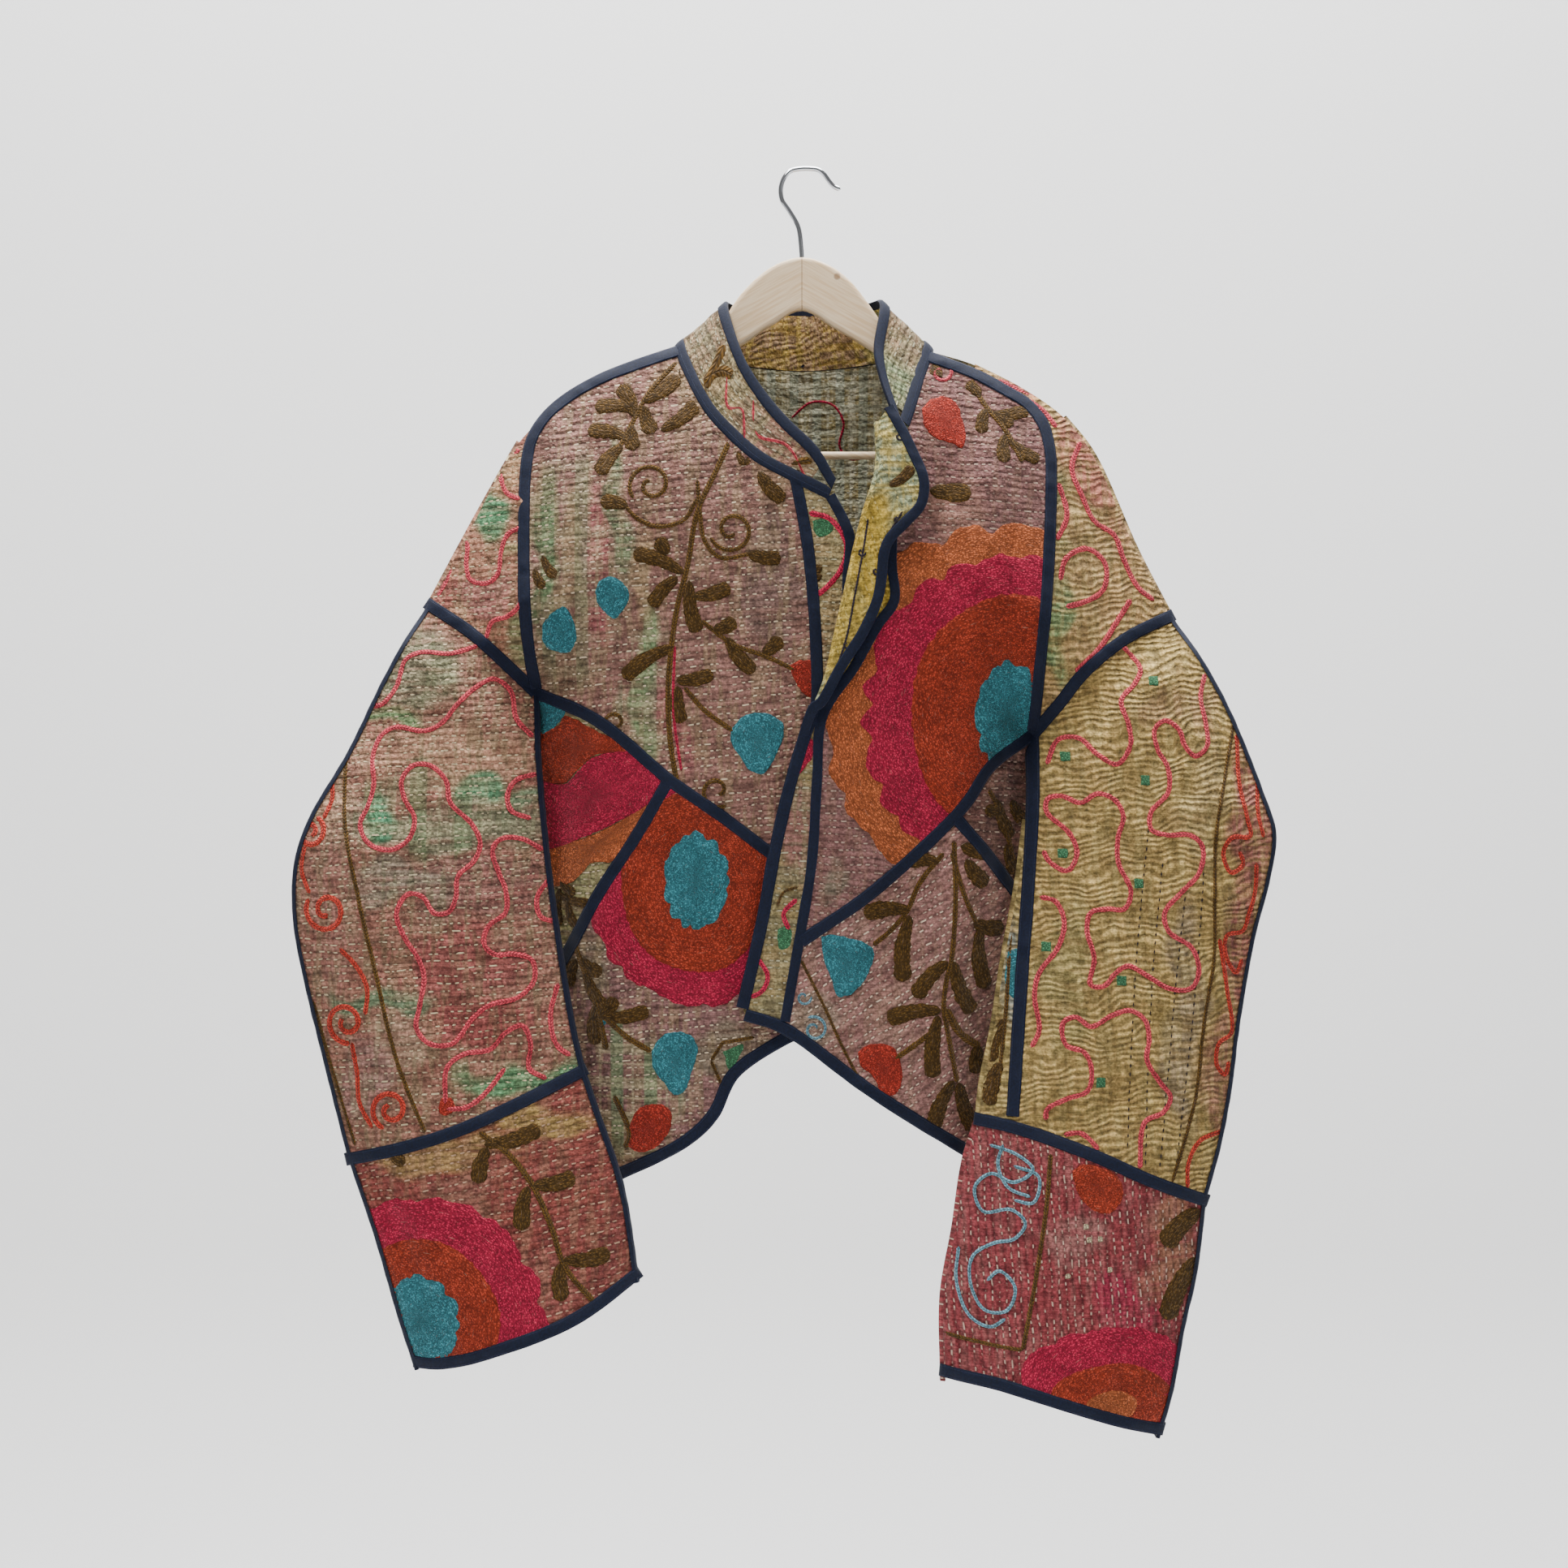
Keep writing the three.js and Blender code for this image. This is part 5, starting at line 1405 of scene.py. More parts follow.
@dataclass(frozen=True)
class ClothFinish(Finish):
    """Quilted old cotton: running stitches in rows, checks and wear, and painted shade in the valleys between puffed
    rows, ripples and crumples.
    """

    stitch: str = "cdbf9f"
    pitch: float = 5.4
    dash: float = 6.2
    angle: float = 0.0
    check_a: str = "6f9468"
    check_b: str = "c4bd92"
    check_pitch: float = 26.0
    second: str = "8c6f5e"
    third: str = "b39a76"
    depth: float = 1.0
    ripple: float = 0.35
    thread: float = 0.8
    tone: float = 1.0
    mottle: float = 1.0

    def build(self, groups: dict[str, bpy.types.NodeTree]) -> bpy.types.Material:
        """Makes the material from the shared groups."""
        material, t, shader, mm = self.start()
        dye = t.node("ShaderNodeAttribute", attribute_name="dye")
        turned_uv = t.node("ShaderNodeMapping", {0: mm, 2: (0.0, 0.0, math.radians(self.angle))}).outputs[0]
        rows = t.shared(groups["rows"], turned_uv)
        plaid, wear, weave = (t.shared(groups[k], mm) for k in ("plaid", "mottle", "weave"))
        t.fill(rows, {"Pitch": self.pitch, "Dash": self.dash})
        t.fill(plaid, {"Pitch": self.check_pitch})
        colour = t.mix(t.mul(wear.outputs["Weft"], 0.55 * self.mottle), dye.outputs["Color"], rgb(self.second))
        colour = t.mix(t.mul(wear.outputs["Warp"], 0.42 * self.mottle), colour, rgb(self.third))
        check = dye.outputs["Alpha"]
        down = t.mul(plaid.outputs["Down"], t.mul(check, 0.75))
        across = t.mul(plaid.outputs["Across"], t.mul(check, 0.5))
        colour = t.mix(down, colour, rgb(self.check_a))
        colour = t.mix(across, colour, rgb(self.check_b))
        thin = t.math("MAXIMUM", plaid.outputs["Thin"], plaid.outputs["Cross"])
        colour = t.mix(t.mul(thin, t.mul(check, 0.45)), colour, rgb(self.check_b))
        slub = t.step(wear.outputs["Slub"], 0.25, 0.8, 0.74 * self.tone, 1.24 * self.tone)
        fine = t.step(wear.outputs["Fine"], 0.3, 0.7, 0.68, 1.26)
        # Painted shade and highlight: puff, ripple and crumple darken the colour in the valleys between stitch rows
        # and in the crumples' troughs, and lighten the raised tops; slub and fine are uneven yarn.
        puff = t.step(rows.outputs["Puff"], 0.0, 0.7, 1.0 - 0.45 * min(1.0, self.depth), 1.14)
        ripple = t.step(rows.outputs["Ripple"], 0.0, 0.8, 1.0 - 0.42 * self.ripple, 1.0 + 0.16 * self.ripple)
        crumple_shade = t.step(rows.outputs["Crumple"], 0.34, 0.62, 0.72, 1.18)
        shade = t.mul(t.mul(slub, fine), t.mul(t.mul(puff, ripple), crumple_shade))
        colour = t.shaded(colour, shade)
        thread = t.mul(rows.outputs["Thread"], self.thread)
        colour = t.mix(thread, colour, rgb(self.stitch))
        t.fill(shader, {"Base Color": colour})
        height = t.mul(rows.outputs["Puff"], 1.25 * self.depth)
        for value, amount in ((rows.outputs["Ripple"], 1.3 * self.ripple), (rows.outputs["Crumple"], 5.0),
                              (rows.outputs["Thread"], 0.5), (weave.outputs["Height"], 0.10),
                              (wear.outputs["Fine"], 0.9)):
            height = t.mad(value, amount, height)
        t.bump(shader, height, 1.5)
        t.fill(shader, {"Sheen Weight": 0.03, "Sheen Roughness": 0.6, "Specular IOR Level": 0.12})
        return material


@dataclass(frozen=True)
class ThreadFinish(Finish):
    """Chain-stitched cotton thread that takes its colour from the mesh, with painted shade where it sinks between
    loops.
    """

    def build(self, groups: dict[str, bpy.types.NodeTree]) -> bpy.types.Material:
        """Makes the material from the shared groups."""
        material, t, shader, mm = self.start()
        dye = t.node("ShaderNodeAttribute", attribute_name="dye")
        fill, chain, wear = (t.shared(groups[k], mm) for k in ("fill", "chain", "mottle"))
        height = t.node("ShaderNodeMix", {0: dye.outputs["Alpha"], 2: fill.outputs["Height"],
                3: chain.outputs["Height"]}).outputs[0]
        tone = t.step(fill.outputs["Tone"], 0.0, 1.0, 0.72, 1.38)
        # Painted shade: the colour darkens where the stitch height is low, between the loops and in the chain's
        # groove.
        low = t.step(height, 0.0, 0.75, 0.40, 1.16)
        shade = t.mul(t.mul(tone, low), t.step(wear.outputs["Coarse"], 0.0, 1.0, 0.9, 1.08))
        colour = t.shaded(dye.outputs["Color"], shade)
        fleck = t.mul(t.step(wear.outputs["Slub"], 0.66, 0.74), 0.3)
        t.fill(shader, {"Base Color": t.mix(fleck, colour, rgb("c9a894"))})
        t.bump(shader, height, 1.0)
        t.fill(shader, {"Sheen Weight": 0.04, "Specular IOR Level": 0.16})
        return material


@dataclass(frozen=True)
class TapeFinish(Finish):
    """Navy bias tape: a fine slanting weave and a row of machine stitches near each edge."""

    colour: str = "071026"

    def build(self, groups: dict[str, bpy.types.NodeTree]) -> bpy.types.Material:
        """Makes the material from the shared groups."""
        material, t, shader, mm = self.start()
        bias = t.node("ShaderNodeMapping", {0: mm, 2: (0.0, 0.0, math.radians(45))}).outputs[0]
        weave, wear = t.shared(groups["weave"], bias), t.shared(groups["mottle"], mm)
        xyz = t.node("ShaderNodeSeparateXYZ", {0: mm})
        row = t.step(t.math("ABSOLUTE", t.math("SUBTRACT", t.math("ABSOLUTE", xyz.outputs[1]), 3.4)), 0.32, 0.12)
        dash = t.step(t.off_middle(t.math("DIVIDE", xyz.outputs[0], 2.6)), 0.42, 0.34)
        stitch = t.mul(row, dash)
        shade = t.step(wear.outputs["Fine"], 0.25, 0.75, 0.7, 1.4)
        colour = t.shaded(rgb(self.colour), shade)
        colour = t.mix(t.mul(stitch, 0.4), colour, rgb("1c2950"))
        t.fill(shader, {"Base Color": colour})
        height = t.mad(stitch, -0.4, t.mul(weave.outputs["Height"], 0.12))
        height = t.mad(row, -0.25, height)
        height = t.mad(wear.outputs["Fine"], 0.35, height)
        t.bump(shader, height, 0.8, 0.8)
        t.fill(shader, {"Sheen Weight": 0.04, "Specular IOR Level": 0.22})
        return material


@dataclass(frozen=True)
class WoodFinish(Finish):
    """Pale beech with a satin varnish, long grain, a middle joint and a knot."""

    def build(self, groups: dict[str, bpy.types.NodeTree]) -> bpy.types.Material:
        """Makes the material."""
        material, t, shader, mm = self.start()
        xyz = t.node("ShaderNodeSeparateXYZ", {0: mm})
        side = t.math("ABSOLUTE", t.math("ADD", xyz.outputs[0], 5.0))
        slope = t.mad(side, 0.55, xyz.outputs[1])
        grain_at = t.node("ShaderNodeCombineXYZ", {0: t.mul(xyz.outputs[0], 0.035), 1: t.mul(slope, 0.5),
                2: 0.0}).outputs[0]
        grain = t.noise(grain_at, 1.0, 4.0)
        fine = t.noise(t.scaled(grain_at, (1.0, 7.0, 1.0)), 1.0, 3.0)
        knot = t.node("ShaderNodeVectorMath", {0: mm, 1: (22.0, -82.0, 0.0)}, operation="DISTANCE").outputs["Value"]
        joint = t.step(side, 0.7, 0.2)
        colour = t.mix(t.step(grain, 0.35, 0.65), rgb("eed6b4"), rgb("dfbf94"))
        colour = t.mix(t.mul(t.step(fine, 0.5, 0.72), 0.35), colour, rgb("cda67a"))
        colour = t.mix(t.mul(t.step(knot, 3.4, 1.6), 0.7), colour, rgb("7c5433"))
        colour = t.mix(t.mul(joint, 0.55), colour, rgb("8a6240"))
        t.fill(shader, {"Base Color": colour})
        height = t.mad(joint, -0.8, t.mul(fine, 0.15))
        t.bump(shader, height, 0.5, 0.5)
        t.fill(shader, {"Coat Weight": 0.25, "Coat Roughness": 0.3})
        return material


@dataclass(frozen=True)
class SteelFinish(Finish):
    """Chromed wire with faint rubbing."""

    def build(self, groups: dict[str, bpy.types.NodeTree]) -> bpy.types.Material:
        """Makes the material from the shared groups."""
        material, t, shader, mm = self.start()
        wear = t.shared(groups["mottle"], mm)
        rough = t.step(wear.outputs["Fine"], 0.2, 0.8, self.roughness * 0.7, self.roughness * 1.5)
        t.fill(shader, {"Roughness": rough})
        t.fill(shader, {"Base Color": (0.72, 0.73, 0.76, 1), "Metallic": 1.0})
        return material


@dataclass(frozen=True)
class BackdropFinish(Finish):
    """Plain pale paper, clear from behind so that it hides nothing there."""

    def build(self) -> bpy.types.Material:
        """Makes the material."""
        material, t, shader, _ = self.start()
        t.fill(shader, {"Base Color": (0.95, 0.95, 0.95, 1)})
        behind = t.node("ShaderNodeNewGeometry").outputs["Backfacing"]
        clear = t.node("ShaderNodeBsdfTransparent").outputs[0]
        both = t.node("ShaderNodeMixShader", {0: behind, 1: shader.outputs[0], 2: clear})
        output = next(n for n in t.tree.nodes if n.bl_idname == "ShaderNodeOutputMaterial")
        t.tree.links.new(both.outputs[0], output.inputs[0])
        return material


def back(line: Line) -> Line:
    """The line the other way round."""
    return tuple(line)[::-1]


def outline(*lines: Line | Array) -> Array:
    """A closed outline from lines laid end to end, each curved through its points."""
    return np.vstack([spaced(np.array(line, float), 3.3) if len(line) > 1 else np.array(line,
            float) for line in lines])


@dataclass(frozen=True)
class Cloth:
    """One flat piece of cloth, named as its CAD node: its cut on a surface and its look."""

    name: str
    cut: tuple[str, Array]
    finish: ClothFinish
    dye: Dye
    slot: str
    embroider: Callable[[Ground], None] | None = None


MAUVE = ClothFinish("mauve_cloth", angle=-6, second="7d5a4e", third="ab9470", stitch="dcc7a8", thread=1.0)
MAUVE_L = ClothFinish("mauve_cloth_left", angle=4, second="7c544f", third="93705f", stitch="c9af9b", thread=0.75,
        ripple=0.25)
MAUVE_LOW = ClothFinish("mauve_cloth_low", angle=-32, second="94665e", third="a98873", stitch="e6cfb6", thread=1.0,
        dash=5.2, ripple=0.3, tone=0.92)
GREEN_MAUVE = ClothFinish("green_mauve_cloth", angle=-3, second="a05850", third="7f9264", stitch="d9c7a0",
        check_a="5f9060", check_pitch=34,
                          ripple=0.5, thread=0.9, mottle=0.55)
KHAKI = ClothFinish("khaki_cloth", angle=84, second="a98a55", third="bda76c", stitch="9c8350", check_a="6e8a5a",
        thread=0.35, depth=0.25, ripple=1.2,
                    pitch=6.2)
CUFF_R = ClothFinish("cuff_cloth_right", angle=-12, second="8b4c47", third="a0785e", stitch="c4a084", thread=0.9,
        tone=0.92)
CUFF_L = ClothFinish("cuff_cloth_left", angle=86, second="964248", third="a66c66", stitch="dcbda8", thread=0.8,
        ripple=0.4, tone=0.9)
SAGE = ClothFinish("sage_cloth", angle=2, second="7f7a60", third="a3996e", stitch="c9c2a2", check_a="77836a",
        check_b="b9b58e", check_pitch=22)
LINING = ClothFinish("lining_cloth", angle=0, second="a3a38f", third="c9c6b2", stitch="d9d5bd", check_a="8f9a8c",
        check_b="cfd0b6", check_pitch=18, depth=0.7,
                     tone=1.35)
MUSTARD = ClothFinish("mustard_cloth", angle=70, second="b0923a", third="cdb457", stitch="dcc577", thread=0.6,
        ripple=0.7, depth=0.5, tone=1.15)
THREAD = ThreadFinish("chain_stitch", 0.8)
TAPE_LOOK = TapeFinish("navy_tape", 0.72)


def front_r_upper(g: Ground) -> None:
    """A vine with curls, club leaves and small blobs."""
    b = Thread.BROWN
    g.cord(((-51, -193), (-69, -234), (-84, -268), (-91, -306), (-100, -343), (-106, -399), (-104, -443),
            (-96, -487)), b, 2.8)
    g.cord(((-84, -257), (-94, -273), (-113, -278), (-129, -272), (-138, -263)), b, 2.2)
    g.curl((-119, -246), 17, b, 1.5, -140, 2.2)
    g.cord(((-84, -243), (-82, -268), (-78, -290), (-66, -302), (-44, -299)), b, 2.2)
    g.curl((-58, -281), 17, b, 1.5, 200, 2.2, -1)
    g.cord(((-101, -149), (-122, -174), (-138, -206), (-154, -237)), b, 2.6)
    g.leaves((((-129, -187), (-163, -184)), ((-132, -193), (-144, -167)), ((-138, -209), (-168, -203)),
              ((-141, -215), (-159, -238)), ((-126, -181), (-99, -161)), ((-135, -199), (-132, -219)),
              ((-126, -184), (-118, -206)), ((-112, -204), (-84, -183)), ((-98, -162), (-91, -151))), 9.5)
    g.leaves((((-136, -263), (-157, -259)), ((-46, -299), (-21, -302)), ((-94, -313), (-132, -298)),
              ((-99, -316), (-119, -338)), ((-88, -331), (-59, -324)), ((-90, -319), (-84, -358)),
              ((-52, -219), (-45, -231)), ((-38, -237), (-19, -259))), 9)
    g.leaves((((-102, -368), (-140, -392)), ((-100, -394), (-72, -389)), ((-99, -398), (-96, -426)),
            ((-106, -299), (-115, -288))), 9)
    g.cord(((-101, -368), (-102, -418), (-96, -462)), Thread.CRIMSON, 1.4)
    g.cord(((-94, -399), (-78, -417), (-57, -432)), b, 2.6)
    g.cord(((-81, -349), (-57, -367), (-32, -376), (-11, -386)), b, 2.4)
    g.leaves((((-62, -362), (-41, -388)), ((-35, -374), (-21, -362)), ((-72, -357), (-55, -349))), 9)
    g.curl((-69, -477), 13, b, 1.2, -60, 2.2)
    g.curl((-146, -426), 11, b, 1.1, -90, 2.0)
    g.cord(((-191, -493), (-185, -484)), b, 2)
    g.leaves((((-202, -299), (-191, -316)), ((-208, -309), (-200, -324))), 6)
    g.blob(((-161, -328), (-157, -319), (-149, -316), (-142, -319), (-137, -324), (-135, -332), (-140, -341),
            (-146, -348), (-154, -342), (-159, -336)), Thread.TEAL)
    g.blob(((-202, -352), (-195, -343), (-185, -338), (-178, -348), (-176, -363), (-182, -372), (-192, -371),
            (-201, -366)), Thread.TEAL)
    g.blob(((-59, -432), (-51, -422), (-39, -418), (-26, -421), (-19, -428), (-20, -438), (-26, -453), (-34, -464),
            (-44, -462), (-52, -451), (-58, -442)), Thread.TEAL)
    g.blob(((-15, -383), (-6, -379), (5, -381), (9, -392), (5, -407), (-4, -404), (-11, -394)), Thread.RED)


def front_r_side(g: Ground) -> None:
    """Bands of filled stitches, cut through by the seams."""
    g.blob(((-216, -397), (-185, -412), (-191, -425), (-200, -432), (-213, -433)), Thread.TEAL, 0.9)
    g.blob(((-210, -433), (-191, -426), (-187, -420), (-156, -434), (-129, -446), (-162, -450), (-176, -461),
            (-187, -471), (-213, -466)), Thread.RUST, 0.8)
    g.blob(((-213, -467), (-187, -472), (-176, -462), (-162, -451), (-129, -448), (-104, -465), (-121, -487),
            (-146, -501), (-168, -511), (-206, -521)), Thread.CRIMSON, 0.9)
    g.blob(((-206, -522), (-168, -512), (-146, -502), (-115, -484), (-148, -530), (-165, -532), (-174, -541),
            (-183, -548), (-202, -549)), Thread.ORANGE, 0.7)
    g.leaves((((-191, -547), (-178, -556)), ((-194, -556), (-166, -563)), ((-191, -552), (-192, -581)),
            ((-185, -562), (-178, -581))), 6)


def front_r_lower(g: Ground) -> None:
    """A scalloped flower over a branch of leaves."""
    g.flower((-85, -545), ((Thread.TEAL, 25, 37, 13), (Thread.RUST, 58, 70, 0), (Thread.CRIMSON, 82, 94, 18)))
    b = Thread.BROWN
    g.cord(((-182, -587), (-171, -615), (-161, -643), (-154, -674)), b, 3.2)
    g.leaves((((-171, -615), (-155, -643)), ((-178, -606), (-185, -628)), ((-159, -649), (-121, -643)),
              ((-159, -648), (-146, -634)), ((-162, -640), (-163, -671)), ((-174, -606), (-157, -616))), 8.5)
    g.cord(((-155, -649), (-138, -663), (-119, -674)), b, 3)
    g.cord(((-148, -709), (-136, -738), (-140, -749)), b, 3)
    g.cord(((-74, -681), (-65, -667), (-41, -663)), b, 1.8, soft=False)
    g.cord(((-74, -681), (-66, -699)), b, 1.8)
    g.blob(((-65, -674), (-49, -668), (-60, -688)), Thread.GREEN, 0.5)
    g.blob(((-119, -674), (-112, -663), (-100, -659), (-89, -662), (-84, -671), (-88, -688), (-94, -704),
            (-101, -707), (-110, -697), (-118, -686)), Thread.TEAL)
    g.blob(((-134, -724), (-126, -716), (-113, -714), (-104, -719), (-105, -733), (-115, -746), (-128, -751),
            (-138, -746)), Thread.RED)
    g.blob(((-161, -638), (-152, -649), (-158, -657)), Thread.TEAL, 0.4)


def placket_r(g: Ground) -> None:
    """A crimson arc with leaves on the right band."""
    g.cord(((0, -268), (16, -273), (28, -291), (25, -309), (10, -327), (2, -331)), Thread.CRIMSON, 2.8)
    g.leaves((((10, -309), (-6, -319)), ((10, -315), (-8, -324))), 8)
    g.blob(((2, -274), (15, -272), (18, -282), (6, -286)), Thread.GREEN, 0.4)
    g.blob(((0, -376), (6, -378), (9, -399), (2, -407), (-2, -399)), Thread.RED)


def front_l_upper(g: Ground) -> None:
    """A great ringed flower under a small blob and leaves."""
    g.flower((152, -421), ((Thread.TEAL, 26, 42, 12), (Thread.RUST, 76, 92, 0), (Thread.CRIMSON, 111, 122, 22),
                         (Thread.ORANGE, 138, 145, 20)))
    g.blob(((86, -188), (91, -181), (102, -177), (112, -182), (116, -193), (119, -209), (115, -218), (108, -214),
            (96, -211), (88, -202)), Thread.RED)
    b = Thread.BROWN
    g.cord(((125, -167), (135, -184), (149, -202), (162, -228)), b, 2.8)
    g.leaves((((131, -176), (121, -165)), ((135, -186), (131, -206)), ((141, -190), (168, -186)),
            ((149, -206), (148, -229)),
              ((152, -211), (175, -226)), ((141, -188), (156, -198)), ((102, -161), (90, -151))), 8)
    g.cord(((91, -251), (106, -252), (122, -253)), b, 11, 0.5)
    g.curl((101, -157), 9, Thread.PINK, 1.0, 30, 1.8)


def front_l_side(g: Ground) -> None:
    """Leaves on dark mauve."""
    g.leaves((((144, -484), (156, -513)), ((156, -484), (166, -501)), ((148, -493), (134, -493)),
            ((152, -518), (160, -541))), 8)
    g.cord(((137, -476), (148, -496), (158, -532)), Thread.BROWN, 2.6)


def front_l_lower(g: Ground) -> None:
    """Two branches of club leaves with a blob on each stem."""
    b = Thread.BROWN
    g.cord(((110, -515), (111, -562), (108, -604), (104, -621), (102, -641), (105, -659), (110, -684), (113, -699)),
            b, 2.6)
    g.cord(((102, -524), (84, -546), (74, -568), (62, -582), (48, -593)), b, 2.6)
    g.cord(((108, -524), (119, -559), (130, -582)), b, 2.6)
    g.leaves((((98, -531), (72, -529)), ((76, -567), (41, -569)), ((76, -571), (71, -621)),
              ((105, -606), (80, -633)), ((109, -606), (125, -646)), ((100, -643), (59, -649)),
              ((98, -647), (94, -694)), ((110, -697), (94, -734)), ((114, -699), (128, -737)),
              ((115, -519), (143, -524)), ((119, -529), (136, -549))), 10)
    g.leaves((((125, -578), (150, -582)), ((130, -582), (135, -628)), ((130, -671), (129, -693))), 10)
    g.cord(((104, -642), (115, -661), (131, -673)), b, 4)
    g.cord(((96, -657), (84, -666), (65, -679)), b, 2.8)
    g.cord(((-6, -604), (11, -638), (26, -671), (40, -698)), b, 1.6)
    g.blob(((9, -586), (19, -585), (32, -588), (42, -591), (49, -598), (46, -611), (39, -623), (29, -631), (21, -631),
            (18, -622), (11, -602)), Thread.TEAL)
    g.blob(((37, -674), (42, -669), (62, -669), (66, -674), (70, -687), (69, -701), (62, -707), (54, -703),
            (49, -693), (39, -684)), Thread.RED)
    g.curl((4, -656), 10, Thread.BLUE, 1.5, 120, 1.4)
    g.curl((-4, -632), 6, Thread.BLUE, 1.2, 10, 1.2)


def placket_l(g: Ground) -> None:
    """A crimson wedge and pink arcs."""
    g.blob(((4, -440), (-4, -434), (-9, -449), (-14, -469), (-5, -462), (2, -452)), Thread.CRIMSON, 0.6)
    g.cord(((-8, -549), (-19, -553), (-24, -563)), Thread.BROWN, 1.4)
    g.cord(((-9, -558), (-19, -569), (-15, -581)), Thread.CRIMSON, 2.4)
    g.cord(((-44, -632), (-35, -627), (-31, -616), (-38, -603)), Thread.CRIMSON, 2.4)
    g.blob(((-24, -581), (-15, -578), (-14, -593), (-22, -596)), Thread.GREEN, 0.3)


def lapel(g: Ground) -> None:
    """The lining's leaf and fine outlines, seen on the turned-out band."""
    b = Thread.DARK
    g.cord(((60, -249), (70, -243), (78, -234)), Thread.BROWN, 6.5, 0.4)
    for centre in ((66, -274), (50, -313), (39, -299), (28, -368), (68, -211)):
        g.curl(centre, 3.4, b, 1.05, 0, 1.2)
    g.cord(((44, -274), (40, -299), (34, -331), (28, -362), (20, -387)), b, 1.1)
    g.cord(((70, -268), (59, -287), (55, -306)), b, 1.1)


def cap_r(g: Ground) -> None:
    """Wandering pink lines."""
    for line in (((-221, -216), (-231, -218), (-237, -224), (-236, -237), (-231, -249), (-220, -255)),
                 ((-269, -281), (-262, -288), (-262, -304), (-258, -316), (-244, -319), (-236, -312), (-234, -295),
                     (-229, -282), (-219, -277)),
                 ((-216, -323), (-219, -337), (-228, -345), (-240, -349), (-245, -362)),
                     ((-248, -238), (-251, -252), (-258, -261)),
                 ((-275, -306), (-279, -318), (-285, -327))):
        g.cord(line, Thread.PINK, 2.5)


def sleeve_r(g: Ground) -> None:
    """Wandering pink lines, a brown line and scrolls along the outer edge."""
    for line in (
        ((-336, -412), (-324, -412), (-312, -398), (-306, -378), (-294, -372), (-272, -373), (-251, -367)),
        ((-210, -436), (-222, -422), (-227, -401), (-239, -392), (-250, -398), (-264, -412), (-276, -426),
            (-289, -432), (-311, -429), (-322, -435), (-328, -451), (-326, -471), (-330, -489), (-335, -502),
            (-328, -516), (-312, -521), (-299, -513), (-295, -498), (-303, -482), (-305, -469), (-297, -458),
            (-284, -458), (-272, -469), (-268, -486), (-252, -502), (-246, -516), (-250, -529), (-262, -541),
            (-263, -556), (-268, -567), (-279, -568), (-288, -556), (-299, -554), (-307, -568), (-301, -586),
            (-291, -601), (-286, -615), (-289, -638), (-291, -652), (-281, -664), (-264, -664), (-250, -646),
            (-237, -636), (-217, -631), (-206, -619), (-208, -604), (-221, -599), (-234, -599), (-242, -591),
            (-239, -578), (-227, -568), (-227, -552), (-232, -539), (-237, -521), (-231, -513), (-217, -513),
            (-201, -522)),
        ((-206, -464), (-221, -469), (-227, -480), (-224, -492), (-210, -498)),
        ((-196, -543), (-205, -558), (-202, -572), (-192, -576)),
        ((-269, -708), (-268, -682), (-256, -672), (-237, -669), (-226, -657), (-214, -652), (-208, -666),
            (-209, -684), (-196, -692)),
        ((-189, -622), (-194, -646), (-189, -668), (-179, -676)),
        ((-268, -712), (-254, -711), (-241, -702), (-226, -683)),
    ):
        g.cord(line, Thread.PINK, 2.5)
    g.cord(((-350, -434), (-348, -494), (-336, -552), (-321, -615), (-305, -678), (-284, -729)), Thread.BROWN, 2.2)
    g.cord(((-371, -634), (-356, -685), (-338, -741)), Thread.BROWN, 1.8)
    for centre, radius, start, way in (((-375, -508), 12, 70, 1), ((-360, -566), 17, 150, -1),
            ((-344, -649), 16, -80, 1),
                                       ((-310, -713), 15, -110, 1)):
        g.curl(centre, radius, Thread.RED, 1.6, start, 2.8, way)
    g.cord(((-362, -462), (-359, -482), (-365, -498)), Thread.RED, 2.4)
    g.cord(((-379, -518), (-381, -537), (-374, -554)), Thread.RED, 2.2)
    g.cord(((-349, -594), (-336, -607), (-328, -623), (-329, -643)), Thread.RED, 2.4)
    g.cord(((-340, -664), (-336, -687), (-334, -709), (-324, -727)), Thread.RED, 2.4)
    g.blob(((-272, -704), (-265, -704), (-262, -712), (-268, -717), (-274, -713)), Thread.RED, 0.6)


def cuff_r(g: Ground) -> None:
    """A scalloped flower in the corner and a vine beside it."""
    g.flower((-287, -869), ((Thread.TEAL, 30, 35, 12), (Thread.RUST, 60, 62, 0), (Thread.CRIMSON, 92, 92, 17)))
    b = Thread.BROWN
    g.cord(((-244, -729), (-222, -746), (-205, -768), (-191, -799), (-181, -828), (-159, -856)), b, 2.8)
    g.leaves((((-240, -738), (-200, -728)), ((-238, -740), (-244, -766)), ((-205, -769), (-174, -764)),
            ((-208, -769), (-212, -801)),
              ((-182, -824), (-148, -821)), ((-184, -826), (-182, -853))), 9.5)
    g.leaves((((-310, -746), (-298, -751)),), 7)


def cap_l(g: Ground) -> None:
    """Wandering pink lines, close together near the shoulder."""
    for line in (((209, -209), (201, -231), (209, -253), (218, -271), (234, -281), (241, -299), (252, -321),
            (265, -331)),
                 ((190, -318), (195, -301), (212, -293), (226, -304), (224, -324), (209, -334), (194, -338)),
                 ((190, -243), (196, -268), (188, -287)), ((221, -206), (235, -231), (240, -249)),
                     ((115, -157), (146, -167), (178, -184), (190, -199)),
                 ((146, -162), (171, -172)), ((246, -331), (234, -349), (221, -368), (202, -387))):
        g.cord(line, Thread.PINK, 2.8)


